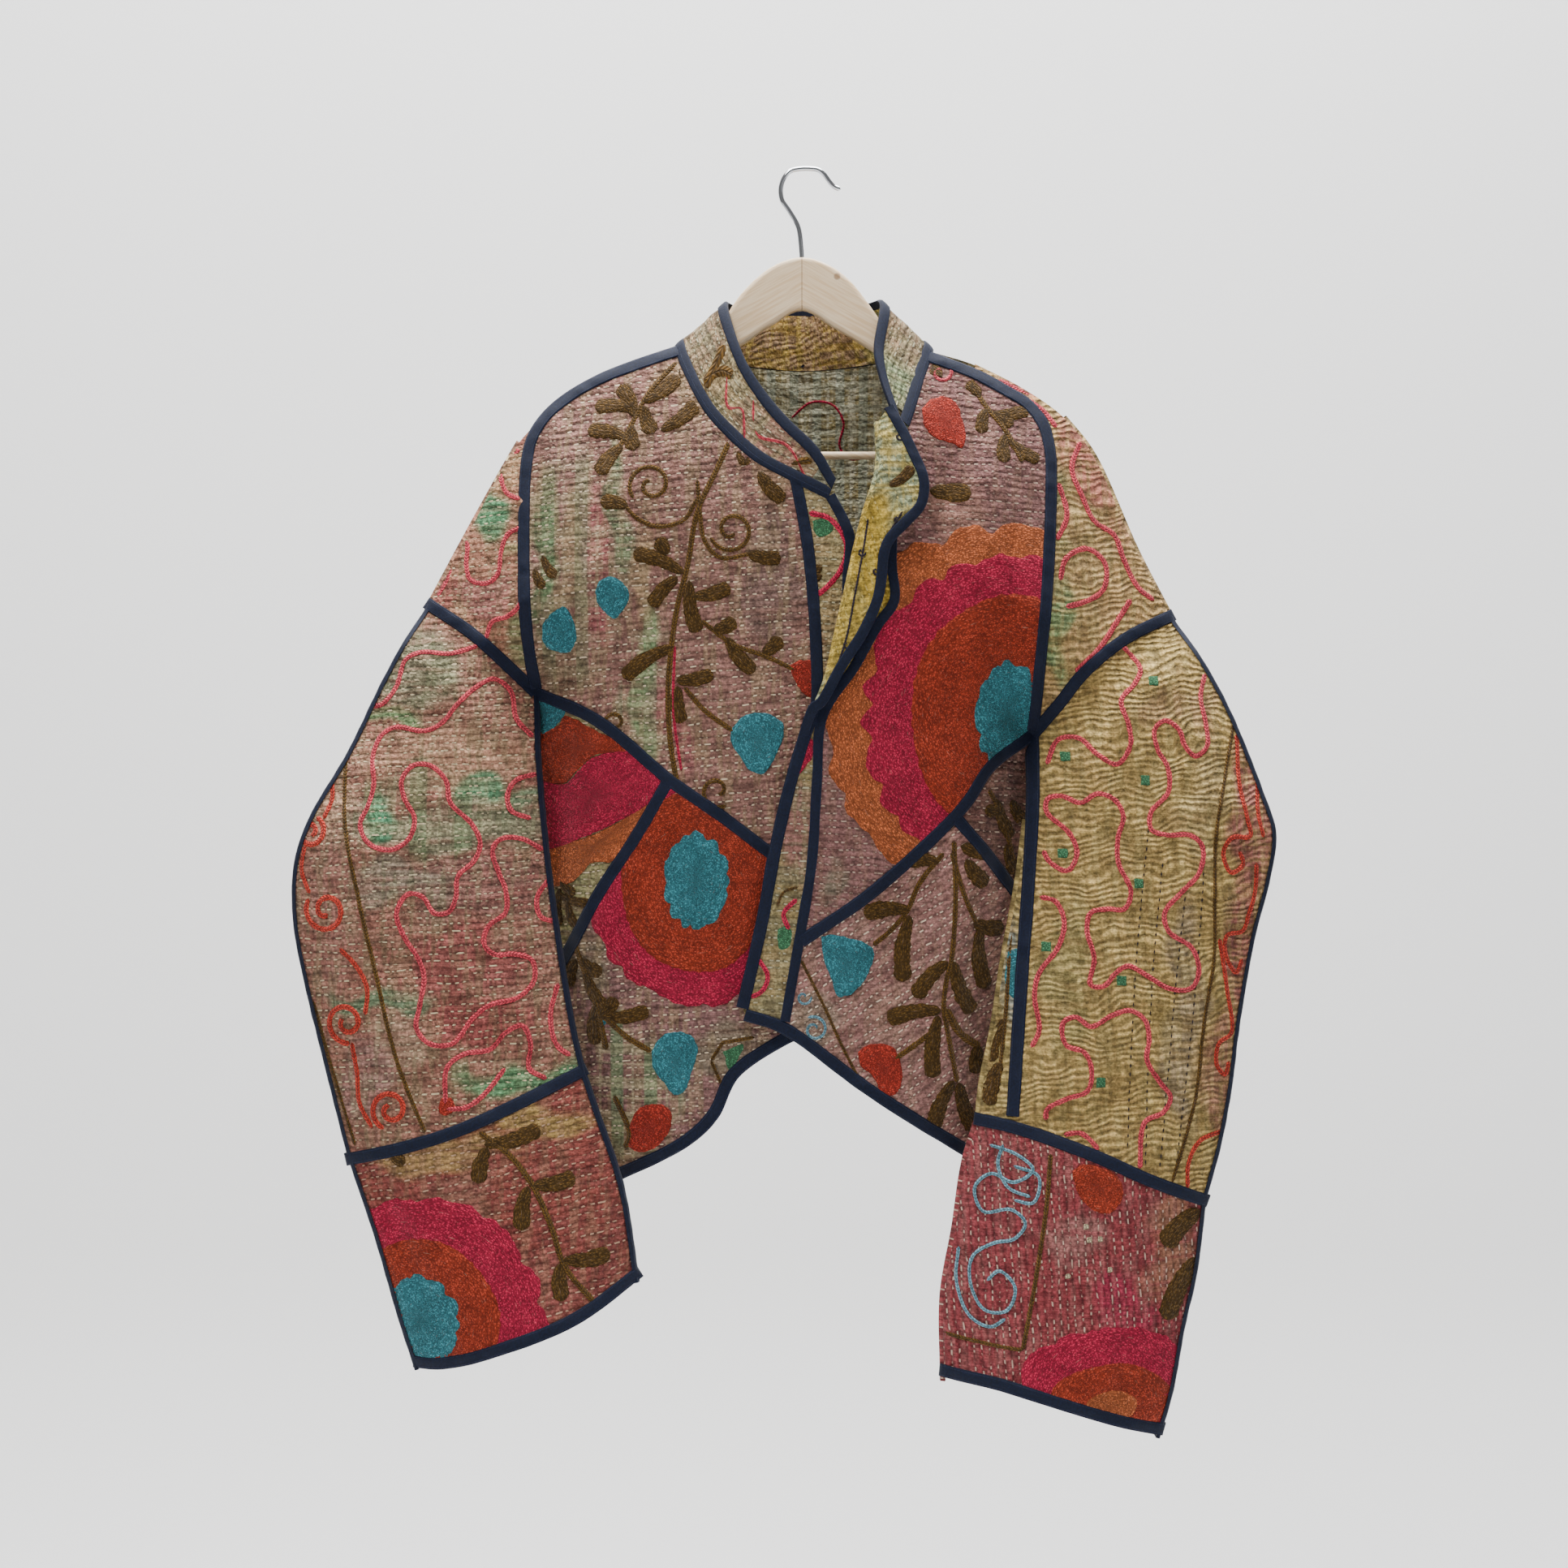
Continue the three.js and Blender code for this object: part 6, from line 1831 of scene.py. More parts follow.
def sleeve_l(g: Ground) -> None:
    """Wandering pink lines, small green squares, dark rows and scrolls at the outer edge."""
    for line in (
        ((238, -366), (251, -384), (246, -396), (235, -409), (240, -428), (241, -443), (231, -457), (216, -449),
            (204, -437), (190, -438), (181, -457)),
        ((301, -388), (296, -406), (299, -428), (299, -443), (290, -451), (282, -443), (278, -431), (268, -424),
            (260, -431), (262, -446), (269, -459), (269, -478), (256, -493), (256, -506), (268, -510), (284, -510),
            (293, -518), (291, -537), (278, -552), (265, -568), (268, -582), (285, -594), (290, -612), (284, -624),
            (268, -624), (249, -613), (237, -607), (228, -612), (219, -622), (209, -621), (212, -602), (207, -581),
            (210, -568), (222, -565), (235, -565), (240, -552), (231, -531), (231, -512), (235, -496), (229, -484),
            (216, -479), (204, -486), (191, -481), (181, -483), (180, -493), (196, -509), (201, -524), (194, -537),
            (182, -531), (177, -522)),
        ((174, -557), (185, -560), (191, -574), (187, -593), (172, -615), (169, -631), (172, -656), (166, -669)),
        ((176, -722), (177, -714), (190, -706), (206, -699), (209, -684), (204, -671), (191, -666), (189, -650),
            (198, -645), (209, -652), (224, -644), (238, -640), (249, -647), (252, -661), (250, -676), (260, -693),
            (268, -704), (262, -715), (248, -722), (244, -756)),
        ((189, -732), (202, -731), (214, -742)),
    ):
        g.cord(line, Thread.PINK, 2.5)
    g.cord(((322, -426), (312, -468), (304, -506), (302, -556), (302, -599), (294, -649), (287, -706), (269, -767)),
            Thread.BROWN, 2.0)
    for x0, x1, bottom in (((255, -493), (242, -618), (235, -743)), ((264, -531), (254, -631), (248, -756)),
                           ((280, -556), (271, -637), (259, -758)), ((295, -518), (288, -618), (272, -756))):
        path = spaced(np.array((x0, x1, bottom), float), 6.4)
        for a, b in zip(path[:-1], path[1:]):
            g.cord((tuple(a), tuple(a + (b - a) * 0.55)), Thread.DARK, 0.9, height=0.4, soft=False)
    for line in (((324, -434), (324, -471), (329, -498), (331, -511), (316, -512), (309, -524), (315, -538),
            (325, -532), (322, -522)),
                 ((336, -531), (335, -552), (330, -569), (325, -582), (312, -585), (311, -599), (320, -613),
                     (325, -603)),
                 ((306, -587), (312, -624), (316, -658), (306, -665), (304, -681), (311, -689), (314, -679)),
                 ((309, -731), (291, -737), (282, -752), (281, -772)), ((339, -468), (338, -493), (342, -512))):
        g.cord(line, Thread.RED, 2.3)
    for at in ((260, -394), (252, -469), (246, -546), (232, -618), (216, -693), (194, -451), (191, -524),
            (178, -594)):
        g.square(at, 3.6, Thread.GREEN, 0.4, 0.4)


def inner_l(g: Ground) -> None:
    """A blue blob and leaves on the strip inside the seam."""
    g.blob(((150, -599), (159, -596), (160, -634), (152, -632), (148, -618)), Thread.TEAL, 0.5)
    g.leaves((((146, -649), (136, -681)), ((144, -681), (135, -713))), 9)
    g.cord(((155, -556), (152, -593), (149, -637), (142, -699)), Thread.BROWN, 2)


def cuff_l(g: Ground) -> None:
    """Light blue scrolls, a framed corner, leaves and half a flower."""
    u = Thread.BLUE
    for line in (((135, -742), (155, -748), (166, -758), (152, -768), (136, -763), (124, -774), (130, -791),
            (150, -788), (160, -797), (152, -809), (138, -813), (122, -824), (120, -843), (130, -862), (146, -861),
            (152, -844), (141, -833), (132, -841)),
                 ((145, -741), (141, -756), (148, -772), (164, -778)), ((112, -818), (110, -843), (119, -867),
                     (134, -874), (145, -867)),
                 ((152, -756), (170, -763), (166, -782), (152, -781))):
        g.cord(line, u, 1.7)
    b = Thread.BROWN
    g.cord(((179, -746), (175, -787), (166, -843), (157, -889)), b, 2.2)
    g.cord(((101, -882), (128, -886), (157, -889)), b, 2.0)
    g.blob(((194, -758), (202, -753), (218, -756), (229, -763), (231, -776), (222, -788), (209, -786), (198, -774)),
            Thread.RUST)
    g.leaves((((291, -789), (262, -813)), ((288, -824), (264, -868))), 13)
    g.flower((222, -929), ((Thread.ORANGE, 20, 12, 0), (Thread.RUST, 48, 32, 0), (Thread.CRIMSON, 72, 58, 15)))
    for at in ((204, -798), (214, -807), (206, -808), (221, -829), (190, -834)):
        g.square(at, 2, Thread.CREAM, 0.3)


def back_inside(g: Ground) -> None:
    """A thin crimson line on the lining."""
    g.cord(((-13, -184), (2, -172), (19, -174), (28, -188), (25, -206), (34, -216), (50, -213)), Thread.CRIMSON, 1.2,
            height=0.5)


def make_cloths(collar: Collar) -> tuple[list[Cloth], dict[str, tuple]]:
    """All the pieces of cloth, cut from the named lines: the flat ones, and those folded round an edge."""
    L = LINE
    p = collar.PER
    low = collar.low[:, [0, 2]]
    low_r, low_back, low_l = low[: 6 * p + 1], low[6 * p : 12 * p + 1], low[12 * p :]
    cap_line_r, cap_line_l = L["outerR"][2:6], L["outerL"][1:7]
    inner_l_line = L["innerL"][:7]
    arm_r = outline(L["dropR"], L["innerR"][1:6], back(L["cuffR"]), back(L["outerR"][5:14]))
    cuff_r_cut = outline(L["cuffR"], L["innerR"][5:9], back(L["wristR"]), back(L["outerR"][13:17]))
    cuff_l_cut = outline(L["cuffL"], L["outerL"][15:20], back(L["wristL"]), back(L["innerL"][6:]))
    roll, seam = L["rollL"], L["bandSeamL"]
    return [
        Cloth("front_r_upper", ("bf", outline(back(L["armholeR"]), low_r[::-1], L["placketR"][:7],
            back(L["diagonalR"][:5]))),
              MAUVE, Dye("966c62", (("a88d68", (-91, -162), (30, 24), 0.6), ("a88f66", (-22, -243), (16, 30), 0.4),
              ("6a7f58", (-198, -293), (9, 66), 0.9), ("b39a70", (-178, -306), (8, 60), 0.6),
                  ("7f5a4a", (-205, -243), (10, 24), 0.6),
              ("7a9068", (-144, -268), (7, 60), 0.8), ("7f9568", (-121, -393), (9, 56), 0.9),
                  ("ae5f62", (-157, -306), (7, 60), 0.7),
              ("a85c60", (-99, -431), (8, 40), 0.6), ("b0986c", (-129, -318), (10, 40), 0.6),
                  ("79645c", (-29, -318), (20, 60), 0.6),
              ("8f6a60", (-72, -218), (20, 30), 0.5), ("7c6a50", (-191, -381), (18, 26), 0.6),
                  ("check", (-185, -306), (36, 90), 0.4),
              ("check", (-122, -399), (20, 60), 0.5))), "front_cloth", front_r_upper),
        Cloth("front_r_side", ("bf", outline(L["diagonalR"][:3], L["branchR"], back(L["sideR"][1:3]))),
              MAUVE, Dye("9a9468"), "front_cloth", front_r_side),
        Cloth("front_r_lower", ("bf", outline(L["diagonalR"][2:5], L["placketR"][6:], back(L["hemR"]),
            (L["sideR"][3],), back(L["branchR"]))),
              MAUVE, Dye("8f6864", (("check", (-135, -699), (34, 50), 0.8), ("a8956a", (-148, -743), (20, 20), 0.6),
              ("86886a", (-60, -674), (30, 20), 0.5), ("7c7a5e", (-172, -606), (16, 24), 0.6))), "front_cloth",
                  front_r_lower),
        Cloth("placket_r", ("bf", outline(L["placketR"], back(L["edgeR"]))),
              SAGE, Dye("b0976c", (("9a6a5a", (9, -381), (12, 30), 0.6),)), "sleeve_cloth", placket_r),
        Cloth("front_l_upper", ("lf", outline(low_l, L["bandSeamL"][:10], L["diagonalL"], back(L["armholeL"]))),
              MAUVE_L, Dye("8a625e", (("a87c68", (109, -268), (24, 20), 0.5), ("7c8468", (21, -543), (12, 16), 0.5),
              ("7a5650", (152, -268), (20, 30), 0.5))), "front_cloth", front_l_upper),
        Cloth("front_l_side", ("lf", outline(L["diagonalL"][3:], (L["sideL"][1],), back(L["branchL"]))),
              MAUVE_L, Dye("6f5048"), "front_cloth", front_l_side),
        Cloth("front_l_lower", ("lf", outline(L["diagonalL"][:3], L["branchL"], L["sideL"][3:], back(L["hemL"][1:]),
            seam[9:][::-1])),
              # The darker 8c6660 patch by the sleeve edge is painted shade along the crease there.
              MAUVE_LOW, Dye("a87a72", (("9c9a7e", (9, -649), (14, 20), 0.5), ("8c6660", (121, -649), (24, 60), 0.6),
              ("b08a76", (59, -643), (20, 20), 0.5))), "front_cloth", front_l_lower),
        Cloth("placket_l", ("lf", outline(L["bandL"], L["hemL"][:2], back(seam[6:]))),
              SAGE, Dye("9a865a", (("9c6a64", (-7, -506), (16, 44), 0.9), ("a08a64", (-19, -612), (12, 20), 0.4))),
                  "sleeve_cloth", placket_l),
        Cloth("sleeve_front_r", ("sfr", arm_r), GREEN_MAUVE,
              Dye("9c705e", (("c4987a", (-272, -448), (66, 20), 0.9), ("85876a", (-298, -387), (34, 30), 0.8),
                  ("6f9a66", (-325, -423), (26, 7), 0.8),
              ("a86a66", (-222, -374), (24, 14), 0.6), ("8a8f72", (-272, -504), (80, 17), 0.75),
                  ("5d9a72", (-319, -498), (15, 17), 1.0),
              ("5f9a70", (-249, -478), (18, 13), 0.95), ("6f9a74", (-216, -484), (12, 10), 0.7),
                  ("8c6058", (-248, -546), (56, 26), 0.8),
              ("8b8672", (-310, -546), (36, 20), 0.7), ("96524e", (-254, -606), (54, 26), 0.85),
                  ("729470", (-319, -632), (36, 9), 0.8),
              ("9c4f4d", (-248, -649), (50, 16), 0.85), ("c09a7c", (-360, -478), (20, 26), 0.9),
                  ("a87468", (-358, -574), (18, 56), 0.6),
              ("b5947a", (-300, -667), (20, 24), 0.8), ("5f9468", (-216, -692), (40, 12), 0.9),
                  ("a8827a", (-329, -693), (20, 30), 0.6),
              ("check", (-285, -493), (60, 30), 0.5), ("check", (-222, -692), (40, 14), 0.6))), "sleeve_cloth",
                  sleeve_r),
        Cloth("sleeve_back_r", ("sbr", arm_r), GREEN_MAUVE, Dye("9a8268", check=0.45), "sleeve_cloth"),
        Cloth("cuff_front_r", ("sfr", cuff_r_cut), CUFF_R,
              Dye("904a42", (("b08f5c", (-272, -743), (56, 14), 0.9), ("b29458", (-198, -723), (40, 12), 0.9),
                  ("a37a66", (-254, -781), (24, 20), 0.5),
              ("7d4440", (-154, -843), (16, 50), 0.6), ("a8645c", (-198, -843), (24, 30), 0.5))), "cuff_cloth",
                  cuff_r),
        Cloth("cuff_back_r", ("sbr", cuff_r_cut), CUFF_R, Dye("985c54"), "cuff_cloth"),
        Cloth("sleeve_front_l", ("sfl", outline(L["dropL"], L["seamL"], L["cuffL"][1:], back(L["outerL"][6:16]))),
              KHAKI, Dye("b89b5e", (("a8685e", (332, -493), (18, 60), 0.95), ("a8685e", (325, -593), (16, 60), 0.95),
                  ("ad7a62", (309, -693), (18, 50), 0.9),
              ("98925e", (190, -618), (18, 60), 0.5), ("b08a68", (278, -412), (36, 16), 0.6),
                  ("9a8a76", (278, -643), (12, 90), 0.6),
              ("a8946a", (296, -481), (14, 50), 0.5))), "sleeve_cloth", sleeve_l),
        Cloth("back_panel", ("bb", outline(low_back, L["outerL"][:3], L["armholeBackL"], L["sideL"],
            back(L["hemBack"]),
              back(L["sideR"]), back(L["armholeBackR"]), (L["outerR"][2], L["outerR"][1]))),
              SAGE, Dye("8f8460", (("94705f", (-90, -420), (70, 120), 0.6), ("a4915f", (80, -300), (60, 90), 0.6),
              ("7f6a5c", (60, -560), (80, 80), 0.5)), check=0.8), "back_cloth"),
    ], {
        "cap_r": ((("sfr", outline(cap_line_r, L["dropR"], back(L["armholeR"][3:]))),
                   ("sbr", outline(cap_line_r[1:], L["dropR"], back(L["armholeBackR"])))),
                  GREEN_MAUVE, Dye("b58268", (("5f9268", (-240, -264), (17, 16), 1.0),
                      ("b0605a", (-216, -209), (24, 14), 0.7), ("c29a70", (-241, -237), (20, 14), 0.7),
                  ("b57a70", (-248, -331), (24, 16), 0.9), ("8a9a6a", (-219, -368), (14, 18), 0.8),
                      ("b3625e", (-279, -328), (10, 14), 0.6),
                  ("a89a6c", (-230, -293), (12, 8), 0.8))), cap_r,
                  (("sfr", "sbr", cap_line_r[1:], 1),)),
        "cap_l": ((("sfl", outline(cap_line_l, L["dropL"], back(L["armholeL"])[:9])),
                   ("sbl", outline(cap_line_l[2:], L["dropL"], back(L["armholeBackL"])))),
                  KHAKI, Dye("c09d6a", (("c8756a", (221, -218), (24, 40), 0.8), ("7f9a68", (187, -362), (8, 40), 0.9),
                      ("c46a60", (146, -168), (50, 10), 0.9),
                  ("cba26a", (252, -331), (30, 30), 0.6), ("9a9a68", (190, -268), (8, 34), 0.8),
                      ("c98a6c", (240, -268), (16, 30), 0.5))), cap_l,
                  (("sfl", "sbl", cap_line_l[2:], -1),)),
        "sleeve_back_l": ((("sfl", outline(inner_l_line, L["cuffL"][:2], back(L["seamL"]))),
                           ("sbl", outline(L["dropL"], inner_l_line, L["cuffL"], back(L["outerL"][6:16])))),
                          KHAKI, Dye("a8935c", (("8d9690", (150, -612), (8, 40), 0.8),)), inner_l,
                              (("sfl", "sbl", inner_l_line[1:], 1),)),
        "cuff_l": ((("sfl", cuff_l_cut), ("sbl", cuff_l_cut)), CUFF_L,
                   Dye("984246", (("b53652", (240, -856), (26, 24), 0.8), ("b08078", (196, -806), (26, 16), 0.6),
                       ("9d4a4e", (128, -774), (20, 50), 0.6),
                   ("a88260", (265, -818), (14, 40), 0.6), ("ad5c5c", (165, -893), (30, 12), 0.5))), cuff_l,
                       (("sfl", "sbl", L["innerL"][6:], 1),)),
        "roll": (roll, seam),
    }


LAPEL_TOP: Line = ((60, -188), (66, -199))
# Tapes on the sheets: name, surface, line, width
TAPES = (
    ("edge_r", "bf", "edgeR", 8.0), ("placket_r", "bf", "placketR", 9.0),
    ("armhole_r", "bf", "armholeR", 9.4), ("diagonal_r", "bf", "diagonalR", 9.4),
    ("branch_r", "bf", "branchR", 9.4), ("hem_r", "bf", "hemR", 9.4),
    ("placket_l", "lf", "bandSeamL", 7.6), ("armhole_l", "lf", "armholeL", 9.4),
    ("diagonal_l", "lf", "diagonalL", 9.4), ("branch_l", "lf", "branchL", 9.4),
    ("hem_l", "lf", "hemL", 9.4), ("armhole_back_r", "bb", "armholeBackR", 9.4),
    ("armhole_back_l", "bb", "armholeBackL", 9.4), ("hem_back", "bb", "hemBack", 9.4),
    ("inner_l", "sfl", "seamL", 9.4),
)
# Tapes round the sleeves: name, line, whether it runs right round
RINGS = (
    ("drop_r", "dropR", False), ("cuff_r", "cuffR", True),
    ("wrist_r", "wristR", True), ("drop_l", "dropL", False),
    ("cuff_l", "cuffL", True), ("wrist_l", "wristL", True),
)
# Taped edges: name, front, rear, line, first and last point, which side is open air
EDGES = (
    ("outer_r", "sfr", "sbr", "outerR", 5, 14, -1), ("outer_cuff_r", "sfr", "sbr", "outerR", 13, 17, -1),
    ("inner_r", "sfr", "sbr", "innerR", 0, 6, 1), ("inner_cuff_r", "sfr", "sbr", "innerR", 5, 9, 1),
    ("outer_l", "sfl", "sbl", "outerL", 6, 16, 1), ("outer_cuff_l", "sfl", "sbl", "outerL", 15, 20, 1),
    ("side_r", "bf", "bb", "sideR", 0, 5, -1), ("side_l", "bf", "bb", "sideL", 0, 5, 1),
)


def stand_for(piece: bpy.types.Object, slot: str, *nodes: str) -> bpy.types.Object:
    """Lets a piece take the place of CAD nodes by hiding them."""
    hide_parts(*nodes)
    return piece

class Jacket:
    """Builds the jacket's pieces on its surfaces."""

    def __init__(self) -> None:
        """Samples the surfaces and makes the materials' shared node groups."""
        self.surfaces = Surfaces()
        self.collar = Collar(self.surfaces)
        groups = make_groups()
        self.groups = groups
        self.made: dict[str, bpy.types.Material] = {}

    def look(self, finish: Finish) -> bpy.types.Material:
        """The material of a finish, made once."""
        if finish.name not in self.made:
            self.made[finish.name] = finish.build(self.groups)
        return self.made[finish.name]

    def _declare(self, piece: bpy.types.Object, cuts: Sequence[Array], area: float) -> None:
        """Works out a piece of cloth's cut from the modelled cloth and logs it.

        The flat size is the tightest rectangle round the outline from the front, grown to the area
        of the modelled face, and doubled on its short side for a piece with a front and a back.

        Args:
            piece: the cloth.
            cuts: its outlines from the front.
            area: the area of its modelled outer face in square metres.
        """
        best = None
        flat_area = 0.0
        for cut in cuts:
            x, z = cut[:, 0], cut[:, 1]
            flat_area += abs(np.dot(x, np.roll(z, -1)) - np.dot(z, np.roll(x, -1))) / 2
        widest = max(cuts, key=lambda c: np.ptp(c[:, 0]) * np.ptp(c[:, 1]))
        for turn in range(0, 90, 3):
            c, s = math.cos(math.radians(turn)), math.sin(math.radians(turn))
            w, l = np.ptp(widest[:, 0] * c + widest[:, 1] * s), np.ptp(widest[:, 1] * c - widest[:, 0] * s)
            if best is None or w * l < best[0] * best[1]:
                best = (w, l)
        grow = math.sqrt(max(1.0, area * 1e6 / flat_area))
        w, l = best[0] * grow * MM, best[1] * grow * MM
        if len(cuts) > 1:
            w, l = (w * 2, l) if w < l else (w, l * 2)
        l = max(l, area / w)
        LOG.info("cut %s: %.0f x %.0f mm, %.4f m2", piece.name, w * 1000, l * 1000, area)
        min(area, w * l)

    def _cloth(self, name: str, sheets: Sequence[tuple[str, Array]], finish: ClothFinish, dye: Dye,
               slot: str, embroider: Callable[[Ground], None] | None = None,
               folds: Sequence[tuple[str, str, Line, int]] = ()) -> None:
        """Makes one piece of cloth with its embroidery.

        Args:
            name: its CAD node's name.
            sheets: the surfaces that it lies on, by name, and its cut on each.
            finish: its outer face's finish.
            dye: its colours.
            slot: its slot, which is not used.
            embroider: adds its embroidery.
            folds: where it turns round an edge: front, rear, line and which side is open air.
        """
        body, area = Body(), 0.0
        for key, cut in sheets:
            surface = getattr(self.surfaces, key)
            area += sheet(body, surface, cut, dye, S.mesh if surface.face is Face.FRONT else S.back_mesh,
                    slots=(0, 1))
        for front, rear, line, outward in folds:
            wrap(body, getattr(self.surfaces, front), getattr(self.surfaces, rear), line, outward, lap=3.0, bulge=1.2,
                 over=-0.4, dye=np.array((*rgb(dye.base), 0.0)))
        piece = stand_for(body.build(f"cloth_{name}", [self.look(finish), self.look(LINING)]), slot, name)
        if embroider:
            key, cut = sheets[0]
            ground = Ground(getattr(self.surfaces, key), cut)
            embroider(ground)
            if ground.body.faces:
                ground.body.build(f"{name}_embroidery", [self.look(THREAD)], 70)
        if name == "back_panel":
            ground = Ground(Surface(lambda x, z: Shape.body(x, z, Face.BACK), Face.FRONT, BODY_BOX), sheets[0][1],
                    base=0.0)
            back_inside(ground)
            ground.body.build("lining_embroidery", [self.look(THREAD)], 70)
        self._declare(piece, [c for _, c in sheets], area)

    def sheets(self) -> None:
        """Makes the flat cloth."""
        flats, folded = make_cloths(self.collar)
        for c in flats:
            self._cloth(c.name, (c.cut,), c.finish, c.dye, c.slot, c.embroider)
        for name in ("cap_r", "cap_l", "sleeve_back_l", "cuff_l"):
            cuts, finish, dye, embroider, folds = folded[name]
            slot = "cuff_cloth" if name == "cuff_l" else "sleeve_cloth"
            self._cloth(name, cuts, finish, dye, slot, embroider, folds)
        self._lapel(*folded["roll"])

    def _lapel(self, roll: Line, seam: Line) -> None:
        """Makes the turned-out band: its under layer, the roll and the layer that shows."""
        body = Body()
        under = outline(back(roll), seam[:7])
        over = outline(LAPEL_TOP[:1], roll, back(LINE["lapelL"]))
        dye = Dye("8f9674", (("b3953c", (49, -299), (18, 46), 1.0), ("b59a48", (28, -368), (14, 44), 1.0),
                ("a3a27c", (65, -218), (10, 20), 0.5)))
        s = self.surfaces
        area = sheet(body, s.lf, under, dye, slots=(0, 0))
        area += sheet(body, s.lp, over, dye, base=S.cloth, slots=(0, 0))
        path = spaced(roll, S.along)
        out = -normals(path)
        if np.mean(out[:, 0]) > 0:
            out = -out
        near, far = s.lf.place(path[:, 0], path[:, 1], 0.1), s.lp.place(path[:, 0], path[:, 1], S.cloth * 2)
        mid, half = (near + far) / 2, (near[:, 1] - far[:, 1]) / 2
        run = np.arange(len(path)) * S.along
        rows, uv = [], []
        for k, a in enumerate((-90, -60, -30, 0, 30, 60, 90)):
            c, h = math.cos(math.radians(a)), math.sin(math.radians(a))
            rows.append(np.stack([path[:, 0] + out[:, 0] * c * 3.2, mid[:, 1] - half * h,
                    path[:, 1] + out[:, 1] * c * 3.2], axis=-1))
            uv.append(beside(run, k * 2.0))
        inner = [np.stack([path[:, 0] - out[:, 0] * 1.5, mid[:, 1] - half * h * 0.6, path[:, 1] - out[:, 1] * 1.5],
                axis=-1) for h in (1, -1)]
        rows += inner
        uv += [uv[-1], uv[0]]
        colour = dye(path[:, 0], path[:, 1])
        body.grid(np.stack(rows, 1), np.stack(uv, 1), np.repeat(colour[:, None], len(rows), axis=1), around=True,
                caps=True)
        piece = stand_for(body.build("cloth_lapel_l", [self.look(MUSTARD)]), "sleeve_cloth", "lapel_l")
        ground = Ground(s.lp, over, base=S.cloth * 2)
        lapel(ground)
        extra = [ground.body.build("lapel_l_embroidery", [self.look(THREAD)], 70)]
        self._declare(piece, [under, over], area)

    def tapes(self) -> None:
        """Makes the navy tape on every seam and edge."""
        for i, (name, key, line, width) in enumerate(TAPES):
            body = Body()
            tape(body, getattr(self.surfaces, key), LINE[line], width, seed=i)
            self._tape(body, name)
        for i, (name, line, closed) in enumerate(RINGS):
            body, side = Body(), name[-1]
            front, rear = getattr(self.surfaces, f"sf{side}"), getattr(self.surfaces, f"sb{side}")
            ring(body, front, rear, LINE[line], S.tape_width, i, closed)
            self._tape(body, name)
        for name, front, rear, line, a, b, outward in EDGES:
            body = Body()
            wrap(body, getattr(self.surfaces, front), getattr(self.surfaces, rear), LINE[line][a:b], outward)
            self._tape(body, name)
        body = Body()
        tape(body, self.surfaces.lf, LINE["bandL"], S.tape_width, seed=31)
        tape(body, self.surfaces.lp, (*LAPEL_TOP, *LINE["lapelL"], *LINE["bandL"][:2]), S.collar_tape, seed=32,
             lift=lambda z: S.cloth * smooth((z + 440) / 30))
        self._tape(body, "edge_l")

    def _tape(self, body: Body, name: str) -> None:
        """Makes one tape's object, named as its CAD node."""
        stand_for(body.build(f"tape_{name}", [self.look(TAPE_LOOK)], 60), "navy_tape", f"bind_{name}")

    def stand(self) -> None:
        """Makes the stand collar with the tape on its seam and its top edge."""
        c = self.collar
        h = c.height
        x, z = c.low[:, 0], c.low[:, 2]
        dye = Dye("a28668", (("9a6a5e", (-41, -218), (30, 24), 0.7), ("5f8f86", (-70, -121), (10, 10), 0.7),
                ("8f9a74", (72, -143), (20, 40), 1.0),
                             ("aa9468", (-79, -168), (16, 20), 0.6), ("5f4630", (-57, -162), (8, 14), 0.6)))
        colour = dye(x, z + 20)
        last = len(h)
        cloth_first, cloth_last = 6, last - 3
        body = Body()
        wide = [i / 10 for i in range(11)]
        profile = [(w, S.cloth) for w in wide] + [(w, -0.5) for w in wide[::-1]]
        start = np.where((np.arange(last) > 6.3 * c.PER) & (np.arange(last) < 11.7 * c.PER), 0.8, 7.0)
        c.strip(body, start, h - 6.5, profile, first=cloth_first, last=cloth_last, dye=colour, wrinkle=0.5)
        n = len(profile)
        mesh_faces = len(body.faces)
        body.slots = [1 if k < mesh_faces - 2 and (k % n) >= 11 and (k % n) < 21 else 0 for k in range(mesh_faces)]
        piece = stand_for(body.build("cloth_collar", [self.look(SAGE), self.look(MUSTARD)]), "back_cloth", "collar")
        width, length = float(np.mean(h) - 9) * MM, float(c.run[-1]) * MM
        extra = Body()
        for line, thread, w in (
            (((0.6, 0.2), (1.6, 0.6), (2.4, 0.4), (3.1, 0.75)), Thread.PINK, 1.6),
            (((2.6, 0.2), (3.2, 0.5), (3.6, 0.35), (4.2, 0.6)), Thread.PINK, 1.4),
            (((4.5, 0.22), (4.7, 0.5), (4.95, 0.78)), Thread.BROWN, 6.0),
            (((4.1, 0.7), (4.5, 0.55), (4.7, 0.25)), Thread.BROWN, 5.0),
            (((0.9, 0.7), (1.3, 0.3), (1.5, 0.2)), Thread.BROWN, 4.0),
        ):
            path = spaced(np.array(line, float), 0.02)
            half = w / 2
            side = np.array((-1.0, -0.5, 0.0, 0.5, 1.0))
            tangent = np.gradient(path, axis=0) * np.array((18.0, 30.0))
            nn = np.stack([-tangent[:, 1], tangent[:, 0]], axis=1) / np.maximum(np.linalg.norm(tangent, axis=1,
                    keepdims=True), 1e-9)
            taper = np.sqrt(np.clip(np.sin(np.linspace(0.05, math.pi - 0.05, len(path))) * 3, 0, 1))
            rows = []
            for k, lift in zip(side, (-0.2, 0.7, 0.9, 0.7, -0.2)):
